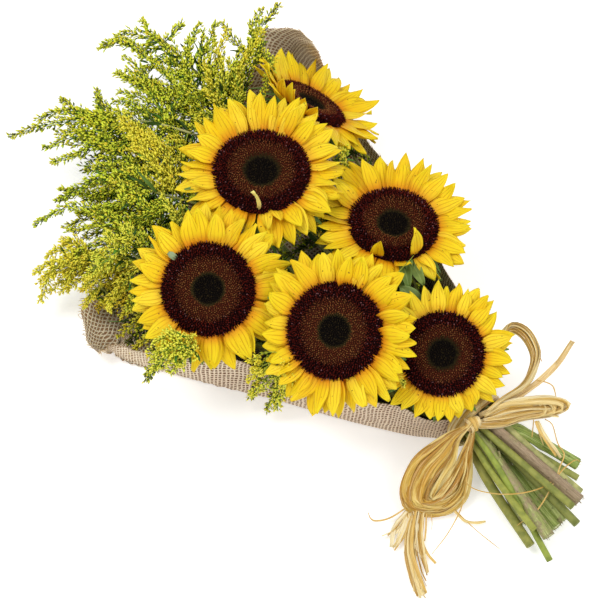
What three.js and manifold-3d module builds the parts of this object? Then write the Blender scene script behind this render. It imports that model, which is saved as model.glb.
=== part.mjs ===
// A tied bunch of six sunflowers with goldenrod, lying on its side in an open burlap wrap.
// Millimetres, +Z up. The layout below is measured from the point on the table under the tie:
// +X runs along the bunch towards the cut stem ends, -X towards the open mouth of the wrap.
// ORIGIN moves it so that the part's origin is the middle of the bottom of its bounding box.
import * as THREE from "three";
import { mergeVertices } from "three/addons/utils/BufferGeometryUtils.js";
import Module from "manifold-3d";

const wasm = await Module();
wasm.setup();

// ---- driving dimensions ----
const ORIGIN = [169.32, 14.6, 0];
const GAP = 0.35; // clear space between neighbouring pieces
const TIDY = 0.04; // edges shorter than this, left by a cut, are closed up
const STEM_SIDES = 6;
const DISC_RISE = 6.5; // height of the seed disc over the petal plane
const PETAL_THICK = 2.6; // the ray petals' layered band
const RAYS = 17; // points of the star outline that stands for a head's ray petals
const CALYX_DEPTH = 15.5; // green cup under the petals
const TIE_HEIGHT = 26; // middle of the tied neck over the table
const NECK_RADIUS = 22; // outside of the burlap at the neck
const CLOTH = 2; // folded burlap
const BAND_WIDTH = 18;
const BAND_THICK = 2.4;

// Six heads: disc centre, facing direction, disc radius and petal reach.
const HEADS = [
  { n: 1, centre: [-280.5, 88.5, 82.0], facing: [-0.01, 0.676, 0.737], disc: 32.5, reach: 60 },
  { n: 2, centre: [-242.6, -1.3, 116.0], facing: [0.036, -0.0096, 0.9993], disc: 39.5, reach: 66 },
  { n: 3, centre: [-198.5, -100.1, 104.0], facing: [0.3637, -0.2834, 0.8874], disc: 37.0, reach: 64 },
  { n: 4, centre: [-103.7, -55.2, 104.0], facing: [0.1708, -0.4781, 0.8616], disc: 38.0, reach: 63 },
  { n: 5, centre: [-146.2, 52.1, 88.0], facing: [-0.0048, 0.0989, 0.9951], disc: 36.4, reach: 62 },
  { n: 6, centre: [-39.0, -2.8, 86.0], facing: [0.3854, -0.2833, 0.8782], disc: 33.0, reach: 55 },
];
// Sunflower stems, from under the head to the cut end.
const STEMS = [
  { n: 1, radius: 4.6, path: [[-280.3, 77.3, 69.8], [-280.2, 65.5, 56.9], [-277, 64, 33], [-225, 56, 24], [-120, 36, 21], [-40, 16, 20.5], [0.0, 8.8, 20.9], [45, 2.2, 17], [103.7, -7.3, 9.0]] },
  { n: 2, radius: 4.4, path: [[-243.2, -1.1, 99.5], [-244.2, -0.9, 71.0], [-241, 1, 38], [-212, 0, 21], [-120, -2, 15], [-40, -1, 14.5], [0.0, -0.0, 15.8], [45, -6.5, 11.0], [103.2, -14.5, 7.0]] },
  { n: 3, radius: 3.9, path: [[-204.5, -95.4, 89.4], [-213.8, -88.2, 66.7], [-207, -89, 40], [-168, -76, 24], [-90, -42, 19], [-36, -18, 19.5], [0.0, -8.8, 20.9], [40, -16.5, 15.5], [84, -30.5, 9]] },
  { n: 4, radius: 4.5, path: [[-106.5, -47.3, 89.8], [-110.9, -35.1, 67.8], [-109, -33, 50], [-92, -29, 38], [-50, -19, 32], [0.0, -8.8, 31.1], [50, -17.5, 27], [106.7, -29.7, 19.0]] },
  { n: 5, radius: 4.4, path: [[-146.1, 50.5, 71.6], [-146.0, 48.7, 54.2], [-141, 47, 42], [-112, 39, 35], [-55, 22, 32], [0.0, 8.8, 31.1], [40, 20, 26], [80.5, 33.8, 15.0]] },
  { n: 6, radius: 4.2, path: [[-45.4, 1.9, 71.5], [-49.4, 4.8, 62.3], [-44, 5, 48], [-26, 2.5, 38.5], [0.0, 0.0, 36.2], [50, 3, 33], [104.6, 6.5, 26.0]] },
];
// Goldenrod: a stalk from its cut end to its growing end, and the plumes that branch from it.
const GOLDENROD = [
  { n: 1, radius: 1.8, path: [[87.1, 27.6, 9.0], [40, 16.5, 12], [0, 7.2, 13.6], [-28, 13, 13.5], [-65, 30, 11], [-150, 72, 14], [-240, 106, 27], [-300, 116, 36], [-334, 108, 64], [-355.9, 91.9, 88.0]],
    plumes: [
      { r: 6.5, path: [[-355.9, 91.9, 88.0], [-364.0, 115.9, 92.0], [-370.8, 137.7, 90.0]] },
      { r: 5.07, path: [[-350.7, 96.1, 82.1], [-326.1, 88.3, 100.0], [-303.5, 57.8, 106.0]] },
      { r: 5.14, path: [[-350.7, 96.1, 82.1], [-369.6, 106.9, 84.0], [-382.1, 128.2, 84.0]] },
      { r: 6.21, path: [[-345.7, 100.5, 76.2], [-355.7, 98.0, 66.0], [-371.6, 94.3, 74.0], [-396.2, 96.3, 80.0]] },
    ] },
  { n: 2, radius: 2.4, path: [[114.9, -6.8, 20.0], [50, -3, 23.5], [0, 0, 26], [-80, 10, 24], [-200, 26, 22], [-290, 52, 44], [-351.5, 57.6, 62.0], [-376.2, 47.5, 76.0], [-418.6, 48.2, 80.0]],
    plumes: [
      { r: 6.0, path: [[-415.9, 48.1, 79.8], [-442.2, 31.5, 80.0], [-457.4, 8.3, 70.0]] },
      { r: 3.87, path: [[-418.6, 48.2, 80.0], [-430.7, 44.3, 82.0], [-447.2, 49.7, 80.0]] },
      { r: 4.74, path: [[-415.9, 48.1, 79.8], [-415.5, 56.2, 84.0], [-419.4, 70.0, 82.0]] },
      { r: 6.41, path: [[-404.8, 47.6, 79.1], [-418.0, 41.8, 78.0], [-423.7, 27.8, 70.0]] },
      { r: 4.48, path: [[-388.1, 46.9, 78.0], [-404.2, 38.1, 72.0], [-416.2, 25.2, 64.0]] },
      { r: 5.6, path: [[-378.4, 47.2, 76.5], [-394.9, 55.9, 84.0], [-406.0, 80.0, 84.0]] },
      { r: 6.27, path: [[-367.3, 51.2, 71.7], [-381.7, 63.5, 84.0], [-396.7, 91.2, 84.0]] },
      { r: 6.64, path: [[-359.8, 55.9, 66.0], [-353.0, 26.9, 84.0], [-381.7, 23.2, 82.0]] },
      { r: 5.71, path: [[-358.2, 56.5, 65.0], [-358.2, 49.7, 80.0], [-367.4, 70.0, 86.0]] },
      { r: 6.28, path: [[-354.0, 57.4, 63.0], [-356.1, 22.2, 74.0], [-373.6, 24.2, 72.0]] },
      { r: 6.0, path: [[-367.3, 51.2, 71.7], [-375.4, 35.7, 82.0], [-400.2, 25.7, 76.0]] },
    ] },
  { n: 3, radius: 2.2, path: [[96.1, 21.6, 6.0], [62, 15.5, 17.5], [27, 10, 32], [4, 7.4, 38.2], [-40, 16, 43], [-100, 17, 48], [-180, 12, 54], [-243, 20, 60], [-300, 14, 74], [-361.0, -17.7, 82.0], [-381.5, -44.2, 80.0]],
    plumes: [
      { r: 4.6, path: [[-380.3, -42.6, 80.1], [-416.8, -69.3, 76.0], [-441.3, -103.1, 64.0]] },
      { r: 4.67, path: [[-381.5, -44.2, 80.0], [-420.9, -63.0, 80.0], [-435.1, -77.7, 70.0]] },
      { r: 4.34, path: [[-380.3, -42.6, 80.1], [-405.7, -51.4, 84.0], [-433.3, -55.3, 76.0]] },
      { r: 4.41, path: [[-377.3, -37.7, 80.7], [-397.1, -40.7, 88.0], [-416.6, -27.9, 82.0]] },
      { r: 6.28, path: [[-361.0, -17.7, 82.0], [-379.9, -17.1, 88.0], [-399.3, -24.3, 80.0]] },
      { r: 6.2, path: [[-348.5, -9.5, 80.8], [-381.7, 1.0, 86.0], [-421.9, -0.7, 74.0]] },
      { r: 6.27, path: [[-344.8, -7.3, 80.4], [-367.8, 8.6, 84.0], [-403.3, 1.2, 76.0]] },
      { r: 5.14, path: [[-381.5, -44.2, 80.0], [-399.1, -67.4, 72.0], [-416.3, -88.8, 58.0]] },
      { r: 5.21, path: [[-375.6, -34.5, 81.2], [-388.0, -73.3, 66.0], [-405.6, -90.3, 50.0]] },
      { r: 6.28, path: [[-344.8, -7.3, 80.4], [-349.3, -28.0, 84.0], [-371.5, -39.3, 84.0]] },
      { r: 6.0, path: [[-361.0, -17.7, 82.0], [-362.5, -52.1, 80.0], [-383.3, -65.7, 72.0]] },
      { r: 6.07, path: [[-372.8, -29.7, 81.8], [-387.1, -36.2, 88.0], [-400.4, -56.5, 80.0]] },
    ] },
  { n: 4, radius: 2.0, path: [[105.9, -3.8, 33.0], [50, -6, 36], [0, -7.2, 38.4], [-28, -4.8, 39.3], [-50, -4, 40.5], [-130, -12, 49], [-200, -24, 58], [-262, -34, 72], [-307.3, -65.1, 88.0], [-340.3, -68.4, 88.0]],
    plumes: [
      { r: 7.5, path: [[-297.2, -58.8, 85.1], [-323.6, -49.6, 98.0], [-373.1, -38.4, 90.0]] },
      { r: 6.57, path: [[-291.9, -54.5, 83.1], [-314.6, -38.3, 96.0], [-350.0, -29.0, 90.0]] },
      { r: 6.14, path: [[-307.3, -65.1, 88.0], [-341.4, -75.4, 94.0], [-360.4, -88.2, 84.0]] },
      { r: 5.81, path: [[-324.6, -68.5, 89.0], [-345.8, -93.8, 88.0], [-361.3, -119.5, 70.0]] },
      { r: 5.28, path: [[-304.8, -63.9, 87.4], [-308.1, -89.2, 98.0], [-323.9, -80.7, 98.0]] },
      { r: 5.0, path: [[-297.2, -58.8, 85.1], [-286.6, -73.1, 84.0], [-296.3, -82.5, 98.0], [-314.1, -77.5, 98.0]] },
      { r: 5.27, path: [[-289.2, -52.3, 82.0], [-304.0, -45.9, 92.0], [-329.4, -36.4, 90.0]] },
      { r: 4.74, path: [[-286.5, -50.0, 80.9], [-269.7, -66.7, 84.0], [-277.1, -68.0, 92.0], [-292.3, -65.0, 94.0]] },
      { r: 6.21, path: [[-289.2, -52.3, 82.0], [-290.7, -80.2, 84.0], [-313.8, -101.4, 78.0]] },
      { r: 6.28, path: [[-307.3, -65.1, 88.0], [-342.8, -57.7, 86.0], [-366.3, -61.8, 80.0]] },
      { r: 5.5, path: [[-304.8, -63.9, 87.4], [-322.5, -93.8, 78.0], [-342.5, -114.5, 66.0]] },
      { r: 6.07, path: [[-277.8, -43.1, 77.4], [-292.8, -29.3, 66.0], [-313.1, -21.0, 80.0], [-340.7, -7.2, 78.0]] },
    ] },
  { n: 5, radius: 2.6, path: [[100.0, -41.6, 9.0], [45, -29, 15], [20, -21, 18], [0, -15.2, 20], [-28, -20, 20], [-65, -42, 16], [-150, -88, 13], [-230, -122, 22], [-284, -140, 44], [-307.3, -130.7, 60.0]],
    plumes: [
      { r: 7.0, path: [[-307.3, -130.7, 60.0], [-321.1, -159.6, 58.0], [-320.7, -177.2, 28.0]] },
      { r: 6.57, path: [[-307.3, -130.7, 60.0], [-313.1, -147.8, 54.0], [-312.5, -155.1, 28.0]] },
      { r: 5.14, path: [[-307.3, -130.7, 60.0], [-323.2, -155.3, 60.0], [-335.9, -168.3, 44.0]] },
      { r: 5.21, path: [[-307.3, -130.7, 60.0], [-324.1, -143.4, 64.0], [-337.3, -152.0, 52.0]] },
      { r: 6.78, path: [[-303.4, -132.8, 57.1], [-317.0, -134.1, 68.0], [-333.4, -138.9, 62.0]] },
      { r: 5.5, path: [[-286.3, -140.2, 45.2], [-286.0, -147.9, 52.0], [-284.3, -159.2, 42.0]] },
    ] },
  { n: 6, radius: 2.0, path: [[96.5, -36.9, 27.0], [45, -26.5, 28.5], [0, -15.2, 30.4], [-28, -20, 33], [-60, -37, 37], [-140, -72, 41], [-192, -107, 50], [-232, -120, 60], [-262, -112, 74], [-281.8, -113.6, 86.0]],
    plumes: [
      { r: 10.0, path: [[-277.1, -113.0, 83.0], [-279.1, -123.7, 93.0], [-285.4, -147.0, 80.0]] },
      { r: 5.57, path: [[-280.6, -113.5, 85.3], [-286.0, -121.5, 96.0], [-296.7, -118.7, 94.0]] },
      { r: 5.64, path: [[-277.1, -113.0, 83.0], [-281.4, -108.7, 96.0], [-292.8, -105.2, 94.0]] },
      { r: 6.21, path: [[-278.2, -113.2, 83.8], [-281.7, -99.2, 82.0], [-338.3, -113.9, 82.0], [-360.5, -144.8, 62.0]] },
      { r: 6.28, path: [[-273.7, -112.4, 80.9], [-284.8, -140.4, 70.0], [-290.0, -154.3, 58.0]] },
      { r: 6.0, path: [[-263.5, -111.8, 74.8], [-265.0, -138.6, 70.0], [-259.2, -152.2, 60.0]] },
      { r: 6.07, path: [[-276.0, -112.8, 82.3], [-280.2, -98.5, 80.0], [-309.2, -109.4, 80.0], [-336.4, -128.6, 64.0]] },
      { r: 6.14, path: [[-268.9, -111.8, 77.9], [-285.5, -126.8, 72.0], [-307.7, -130.1, 62.0]] },
      { r: 6.21, path: [[-255.5, -113.8, 70.5], [-252.0, -127.1, 66.0], [-253.8, -139.3, 56.0]] },
      { r: 5.28, path: [[-189.1, -105.4, 49.4], [-192.9, -141.3, 72.0], [-209.9, -160.3, 20.0]] },
      { r: 4.5, path: [[-131.0, -67.5, 40.3], [-136.2, -91.7, 74.0], [-139.0, -113.1, 22.0]] },
      { r: 4.27, path: [[-131.0, -67.5, 40.3], [-123.0, -89.3, 72.0], [-123.9, -109.9, 18.0]] },
    ] },
  { n: 7, radius: 1.8, path: [[118.1, -38.9, 6.0], [45, -21.5, 33.5], [0, -12.6, 36.9], [-30, -12.5, 40], [-66, -12, 52], [-120, -2, 64], [-172, 8, 73], [-204, 40, 77], [-228.9, 67.1, 79.0]],
    plumes: [
      { r: 4.6, path: [[-228.9, 67.1, 79.0], [-222.4, 69.8, 86.0], [-224.2, 74.8, 92.0]] },
      { r: 5.57, path: [[-200.5, 36.1, 76.6], [-195.8, -3.8, 84.0], [-202.6, -21.7, 84.0]] },
      { r: 5.14, path: [[-181.6, 14.6, 74.4], [-169.6, 29.5, 68.0], [-129.1, 31.8, 76.0], [-120.2, 48.1, 74.0]] },
      { r: 4.71, path: [[-179.3, 12.7, 74.1], [-168.3, 28.1, 68.0], [-130.2, 19.1, 80.0], [-116.4, 16.5, 78.0]] },
    ] },
];
// Burlap wrap: the foot of its near and far sides from the tie to the mouth, and the rim heights.
const WRAP = {near: [[3, -21], [-15, -26], [-54, -54], [-139, -101], [-212, -142], [-250, -160.5], [-276, -173]], far: [[3, 21], [-15, 25], [-70, 52], [-150, 86], [-235, 118], [-300, 136], [-342, 146]], nearRim: [26, 40, 52, 58, 40, 24, 22], farRim: [26, 40, 56, 56, 38, 42, 86]};
// Raffia bow.
const RAFFIA = {
  knot: [8.7, -14.5, 50.0],
  loop_upper: [[4.2, -4.1, 50.0], [-7.2, 19.4, 50.0], [-21.2, 44.5, 52.0], [-28.7, 66.1, 56.0], [-16.8, 71.9, 56.0], [-0.3, 65.9, 54.0], [8.4, 53.2, 52.0], [13.7, 35.5, 54.0], [11.5, 14.5, 57.0], [10.8, -1.9, 58.0]],
  loop_right: [[9.9, -3.3, 50.0], [16.9, 14.6, 56.0], [30.2, 31.9, 58.0], [41.0, 47.6, 52.0], [48.2, 51.0, 47.0], [44.1, 42.2, 43.0], [30.5, 22.5, 42.0], [22.7, 7.1, 40.0], [17.1, -3.1, 41.0]],
  loop_lower: [[8.9, -20.6, 52.0], [0.8, -37.3, 46.0], [-6.0, -56.7, 28.0], [-3.6, -77.0, 12.0], [10.0, -84.9, 6.0], [24.5, -80.8, 6.0], [33.1, -69.5, 8.0], [31.5, -50.5, 14.0], [27.0, -34.8, 28.0], [21.1, -20.6, 38.0], [16.8, -15.4, 42.0]],
  tail_straight: [[7.7, -5.6, 50.0], [16.2, 19.3, 52.0], [19.5, 51.0, 48.0], [18.0, 74.1, 46.0], [14.6, 95.6, 44.0]],
  tail_long: [[9.9, -88.0, 3.0], [20.3, -99.7, 4.0], [39.6, -112.8, 3.0], [67.2, -126.1, 2.0]],
  tail_mid: [[30.2, -78.6, 4.0], [39.2, -94.6, 4.0], [49.9, -104.5, 3.0], [60.4, -112.0, 2.0]],
  tail_side: [[6.7, -92.5, 3.0], [12.0, -103.5, 4.0], [15.8, -112.8, 2.0]],
  strand_right: [[38.5, 27.5, 36.0], [45.6, 30.6, 26.0], [56.3, 29.6, 18.0], [63.9, 27.7, 14.0]],
};

// ---- helpers ----
const vec = (p) => new THREE.Vector3(...p);
const curveOf = (points) =>
  new THREE.CatmullRomCurve3(points.map(vec), false, "catmullrom", 0.5);

// Merges shared vertices and drops the triangles that collapse at a pole.
function weld(geometry) {
  geometry.deleteAttribute("normal");
  geometry.deleteAttribute("uv");
  const merged = mergeVertices(geometry, 1e-4);
  const from = merged.index.array,
    kept = [];
  for (let i = 0; i < from.length; i += 3) {
    const [a, b, c] = [from[i], from[i + 1], from[i + 2]];
    if (a !== b && b !== c && a !== c) kept.push(a, b, c);
  }
  merged.setIndex(kept);
  return merged;
}

function solidOf(geometry) {
  const merged = weld(geometry);
  return new wasm.Manifold(
    new wasm.Mesh({
      numProp: 3,
      vertProperties: new Float32Array(merged.attributes.position.array),
      triVerts: new Uint32Array(merged.index.array),
    }),
  );
}

// The biggest body of a solid, so that a piece that a neighbour cuts through stays in one.
function mainBody(solid) {
  return solid
    .decompose()
    .reduce((a, b) => (a.volume() >= b.volume() ? a : b));
}

function geometryOf(solid) {
  const mesh = solid.getMesh(),
    n = mesh.numProp,
    positions = new Float32Array(mesh.numVert * 3);
  for (let i = 0; i < mesh.numVert; i++)
    positions.set(mesh.vertProperties.subarray(i * n, i * n + 3), i * 3);
  const geometry = new THREE.BufferGeometry()
    .setAttribute("position", new THREE.BufferAttribute(positions, 3))
    .setIndex(new THREE.BufferAttribute(mesh.triVerts, 1));
  geometry.computeVertexNormals();
  return geometry;
}

// A tube with flat ends along a curve; a is its half width and b its half thickness.
function tube(points, a, b = a, sides = STEM_SIDES, perSpan = 3) {
  const outline = new THREE.Shape(
    Array.from({ length: sides }, (_, i) => {
      const t = (2 * Math.PI * i) / sides;
      return new THREE.Vector2(b * Math.cos(t), a * Math.sin(t));
    }),
  );
  return new THREE.ExtrudeGeometry(outline, {
    steps: (points.length - 1) * perSpan,
    bevelEnabled: false,
    extrudePath: curveOf(points),
  });
}

// A flower plume: a spindle turned about its own axis, then bent along its curve.
const PLUME = [
  [0, 0], [0.8, 0.16], [1, 0.5], [0.6, 0.86], [0, 1],
];
function plume(points, radius) {
  const geometry = new THREE.LatheGeometry(
    PLUME.map(([r, y]) => new THREE.Vector2(r * radius, y)),
    5,
  );
  const curve = curveOf(points),
    position = geometry.attributes.position,
    side = new THREE.Vector3(),
    up = new THREE.Vector3();
  for (let i = 0; i < position.count; i++) {
    const t = Math.min(1, Math.max(0, position.getY(i))),
      along = curve.getTangent(t);
    side.set(0, 0, 1).cross(along).normalize();
    up.crossVectors(along, side).normalize();
    const p = curve
      .getPoint(t)
      .addScaledVector(side, position.getX(i))
      .addScaledVector(up, position.getZ(i));
    position.setXYZ(i, p.x, p.y, p.z);
  }
  return outward(geometry);
}

// Turns a closed geometry's faces outwards when a bend has mirrored it.
function outward(geometry) {
  const merged = weld(geometry),
    index = merged.index.array,
    p = merged.attributes.position,
    [a, b, c] = [new THREE.Vector3(), new THREE.Vector3(), new THREE.Vector3()];
  let volume = 0;
  for (let i = 0; i < index.length; i += 3) {
    a.fromBufferAttribute(p, index[i]);
    b.fromBufferAttribute(p, index[i + 1]);
    c.fromBufferAttribute(p, index[i + 2]);
    volume += a.dot(b.cross(c));
  }
  if (volume < 0)
    for (let i = 0; i < index.length; i += 3)
      [index[i + 1], index[i + 2]] = [index[i + 2], index[i + 1]];
  return merged;
}

// ---- one flower head, in its own frame: petal plane at z = 0, facing +Z ----
function discGeometry(radius, grow = 0) {
  const r = radius + grow;
  const profile = [
    [0, 0.35 - grow], [r - 3, 0.35 - grow], [r, 2.2],
    [r - 2.5, 5 + grow], [r * 0.72, DISC_RISE + grow], [r * 0.5, DISC_RISE + grow],
    [r * 0.36, DISC_RISE - 1.6 + grow], [0, DISC_RISE - 2.2 + grow],
  ];
  return new THREE.LatheGeometry(profile.map(([x, y]) => new THREE.Vector2(x, y)), 20)
    .rotateX(Math.PI / 2);
}

function calyxGeometry(radius, grow = 0) {
  const r = radius - 4 + grow,
    top = -PETAL_THICK - GAP + grow;
  const profile = [
    [0, -CALYX_DEPTH - grow], [5.2 + grow, -CALYX_DEPTH - grow], [r * 0.62, -CALYX_DEPTH + 4 - grow],
    [r, top - 4.5], [r - 0.6, top], [0, top],
  ];
  return new THREE.LatheGeometry(profile.map(([x, y]) => new THREE.Vector2(x, y)), 16)
    .rotateX(Math.PI / 2);
}

// A star with a hole, its middle flat and its points cupped up and then drooping.
function petalsGeometry(disc, reach, grow = 0) {
  const outline = new THREE.Shape();
  for (let i = 0; i < RAYS; i++) {
    [[0, reach], [0.5, reach - 13]].forEach(([step, r], k) => {
      const t = (2 * Math.PI * (i + step)) / RAYS,
        x = (r + grow) * Math.cos(t),
        y = (r + grow) * Math.sin(t);
      i === 0 && k === 0 ? outline.moveTo(x, y) : outline.lineTo(x, y);
    });
  }
  outline.closePath();
  const hole = new THREE.Path();
  for (let i = 0; i <= 12; i++) {
    const t = (-2 * Math.PI * i) / 12,
      r = 12 - grow;
    i === 0 ? hole.moveTo(r * Math.cos(t), r * Math.sin(t)) : hole.lineTo(r * Math.cos(t), r * Math.sin(t));
  }
  outline.holes.push(hole);
  return new THREE.ExtrudeGeometry(outline, {
    depth: PETAL_THICK + 2 * grow,
    bevelEnabled: false,
  }).translate(0, 0, -PETAL_THICK - grow);
}

// Takes a shape from the head's own frame to its place and facing in the bunch.
function place(geometry, head) {
  const turn = new THREE.Quaternion().setFromUnitVectors(
    new THREE.Vector3(0, 0, 1),
    vec(head.facing).normalize(),
  );
  return geometry.applyQuaternion(turn).translate(...head.centre);
}

// ---- burlap: a flat strip, wrapped into a trough that closes round the neck ----
const lerp = (a, b, t) => a + (b - a) * t;
function station(list, t) {
  const i = Math.min(list.length - 2, Math.floor(t)),
    f = t - i;
  return Array.isArray(list[i])
    ? list[i].map((v, k) => lerp(v, list[i + 1][k], f))
    : lerp(list[i], list[i + 1], f);
}

// Outside of the wrap at station t, u = 0 at the near rim and 1 at the far rim.
const FOOT = 14; // how far the wall's foot is rounded
function wrapOutside(t, u) {
  const [xn, yn] = station(WRAP.near, t),
    [xf, yf] = station(WRAP.far, t),
    zn = station(WRAP.nearRim, t),
    zf = station(WRAP.farRim, t),
    angle = THREE.MathUtils.degToRad(96 + u * 348),
    ring = [NECK_RADIUS * Math.cos(angle), TIE_HEIGHT + NECK_RADIUS * Math.sin(angle)];
  // the trough: wall, rounded foot, flat bottom, rounded foot, wall
  const keys = [0, 0.16, 0.26, 0.3, 0.7, 0.74, 0.84, 1];
  const ys = [yn - 2, yn, yn + 3, yn + FOOT, yf - FOOT, yf - 3, yf, yf + 2],
    zs = [zn, FOOT, 4, 0, 0, 4, FOOT, zf];
  let k = 0;
  while (k < keys.length - 2 && u > keys[k + 1]) k++;
  const f = (u - keys[k]) / (keys[k + 1] - keys[k]),
    y = lerp(ys[k], ys[k + 1], f),
    z = lerp(zs[k], zs[k + 1], f),
    open = THREE.MathUtils.smoothstep(t, 0.4, 2.3);
  const yy = lerp(ring[0], y, open),
    zz = lerp(ring[1], z, open),
    across = (y - yn) / (yf - yn);
  return [lerp(xn, xf, across), yy, zz];
}

// A flat strip of many squares, bent square by square: x runs across it, y through the cloth
// and z from the tie to the mouth.
const ACROSS = [0, 0.08, 0.16, 0.21, 0.26, 0.3, 0.38, 0.46, 0.54, 0.62, 0.7, 0.74, 0.79, 0.84, 0.92, 1];
function wrapGeometry(grow = 0) {
  const last = WRAP.near.length - 1,
    columns = ACROSS.length - 1,
    geometry = new THREE.BoxGeometry(columns, 1, 1, columns, 1, 14),
    position = geometry.attributes.position;
  for (let i = 0; i < position.count; i++) {
    const u = ACROSS[Math.round(position.getX(i) + columns / 2)],
      inside = position.getY(i) > 0,
      t = THREE.MathUtils.clamp(position.getZ(i) + 0.5, 0, 1) * last,
      p = wrapOutside(t, u),
      e = 0.004,
      a = wrapOutside(t, Math.max(0, u - e)),
      b = wrapOutside(t, Math.min(1, u + e)),
      dy = b[1] - a[1],
      dz = b[2] - a[2],
      l = Math.hypot(dy, dz) || 1,
      d = inside ? CLOTH + grow : -grow;
    position.setXYZ(i, p[0], p[1] - (dz / l) * d, p[2] + (dy / l) * d);
  }
  return outward(geometry);
}

// ---- building ----
const bunch = new THREE.Group();
const COLOURS = {
  petal: [0xf6c619, 0.55], disc: [0x35130f, 0.9], calyx: [0x5f7d35, 0.75], stem: [0x7c9150, 0.6],
  goldenrod: [0xb4bb2c, 0.85], burlap: [0xb39470, 0.95], raffia: [0xdcb86c, 0.6],
};
const keepOut = []; // every piece so far, grown by the gap

function add(name, finish, build, options = {}) {
  let solid = build(0);
  if (options.trim) {
    const box = solid.boundingBox();
    for (const other of keepOut) {
      const o = other.boundingBox();
      if ([0, 1, 2].every((k) => box.min[k] < o.max[k] && o.min[k] < box.max[k]))
        solid = solid.subtract(other);
    }
    solid = mainBody(solid.simplify(TIDY));
  }
  keepOut.push(options.trim ? build(GAP) : build(GAP));
  const [color, roughness] = COLOURS[finish];
  const mesh = new THREE.Mesh(
    geometryOf(solid),
    new THREE.MeshStandardMaterial({ color, roughness, metalness: 0 }),
  );
  mesh.name = name;
  bunch.add(mesh);
}

for (const head of HEADS) {
  const of = (make) => (grow) => solidOf(place(make(grow), head));
  add(`sunflower_${head.n}_disc`, "disc", of((g) => discGeometry(head.disc, g)));
  add(`sunflower_${head.n}_ray_petals`, "petal", of((g) => petalsGeometry(head.disc, head.reach, g)), { trim: true });
  add(`sunflower_${head.n}_calyx`, "calyx", of((g) => calyxGeometry(head.disc, g)), { trim: true });
}

for (const stem of STEMS)
  add(`sunflower_${stem.n}_stem`, "stem", (g) => solidOf(tube(stem.path, stem.radius + g)), { trim: true });

add("burlap_wrap", "burlap", (g) => solidOf(wrapGeometry(g)), { trim: true });

const ring = (g) =>
  solidOf(
    new THREE.LatheGeometry(
      [
        [NECK_RADIUS + GAP - g, -BAND_WIDTH / 2 - g], [NECK_RADIUS + GAP + BAND_THICK + g, -BAND_WIDTH / 2 - g],
        [NECK_RADIUS + GAP + BAND_THICK + g, BAND_WIDTH / 2 + g], [NECK_RADIUS + GAP - g, BAND_WIDTH / 2 + g],
        [NECK_RADIUS + GAP - g, -BAND_WIDTH / 2 - g],
      ].map(([x, y]) => new THREE.Vector2(x, y)),
      28,
    ).rotateZ(-Math.PI / 2).translate(0, 0, TIE_HEIGHT),
  );
add("raffia_band", "raffia", ring);
add("raffia_knot", "raffia", (g) =>
  solidOf(new THREE.SphereGeometry(1, 10, 8).scale(7 + g, 8 + g, 6 + g).translate(...RAFFIA.knot)), { trim: true });

const RAFFIA_PIECES = {
  raffia_loop_upper: ["loop_upper", 5, 2.2],
  raffia_loop_right: ["loop_right", 5, 2.2],
  raffia_loop_lower: ["loop_lower", 6, 2.4],
  raffia_tail_straight: ["tail_straight", 2.6, 1.2],
  raffia_tail_long: ["tail_long", 4.5, 1.4],
  raffia_tail_mid: ["tail_mid", 3, 1.4],
  raffia_tail_side: ["tail_side", 3.4, 1.4],
  raffia_strand_right: ["strand_right", 2.6, 1.2],
};
for (const [name, [key, a, b]] of Object.entries(RAFFIA_PIECES))
  add(name, "raffia", (g) => solidOf(tube(RAFFIA[key], a + g, b + g, 6, 3)), { trim: true });

for (const spray of GOLDENROD)
  add(
    `goldenrod_spray_${spray.n}`,
    "goldenrod",
    (g) =>
      spray.plumes.reduce(
        (whole, p) => whole.add(solidOf(plume(p.path, p.r + g))),
        solidOf(tube(spray.path, spray.radius + g, spray.radius + g, 5)),
      ),
    { trim: true },
  );

bunch.position.set(...ORIGIN);
export default bunch;
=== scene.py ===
"""The looks of a bunch of six cut sunflowers with goldenrod, wrapped in burlap and tied with raffia.

The bunch lies on its wrap. Lengths in this file are in millimetres until a mesh is made, in the
frame of the tie: x runs from the heads to the cut ends, z is up and the tie is at x = 0.
"""

import math

import bpy
import numpy as np
from mathutils import Matrix


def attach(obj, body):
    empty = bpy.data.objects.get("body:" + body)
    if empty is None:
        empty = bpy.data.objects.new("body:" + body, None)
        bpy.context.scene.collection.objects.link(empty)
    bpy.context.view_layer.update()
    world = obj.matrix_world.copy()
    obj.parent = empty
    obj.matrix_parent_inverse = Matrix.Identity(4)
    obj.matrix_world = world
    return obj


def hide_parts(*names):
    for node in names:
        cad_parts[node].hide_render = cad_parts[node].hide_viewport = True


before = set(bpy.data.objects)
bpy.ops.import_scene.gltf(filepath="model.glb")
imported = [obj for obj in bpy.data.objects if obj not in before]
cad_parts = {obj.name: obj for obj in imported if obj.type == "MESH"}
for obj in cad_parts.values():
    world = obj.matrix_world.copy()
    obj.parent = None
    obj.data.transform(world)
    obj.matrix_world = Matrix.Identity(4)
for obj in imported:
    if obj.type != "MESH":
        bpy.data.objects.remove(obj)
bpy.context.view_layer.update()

ORIGIN = np.array([169.32, 14.6, 0.0])  # the tie, in the frame of the whole bunch

# ---- the camera comes first: its own axes are used to say which way a petal points ----
ELEVATION, AZIMUTH, DISTANCE, LENS = math.radians(60), math.radians(46), 1500.0, 112.5
BACK = np.array([
    math.sin(AZIMUTH) * math.cos(ELEVATION), -math.cos(AZIMUTH) * math.cos(ELEVATION), math.sin(ELEVATION)])
RIGHT = np.array([math.cos(AZIMUTH), math.sin(AZIMUTH), 0.0])
UP = np.cross(BACK, RIGHT)
LOOK_AT = np.array([-160.464, -37.931, 60.0])


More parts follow.
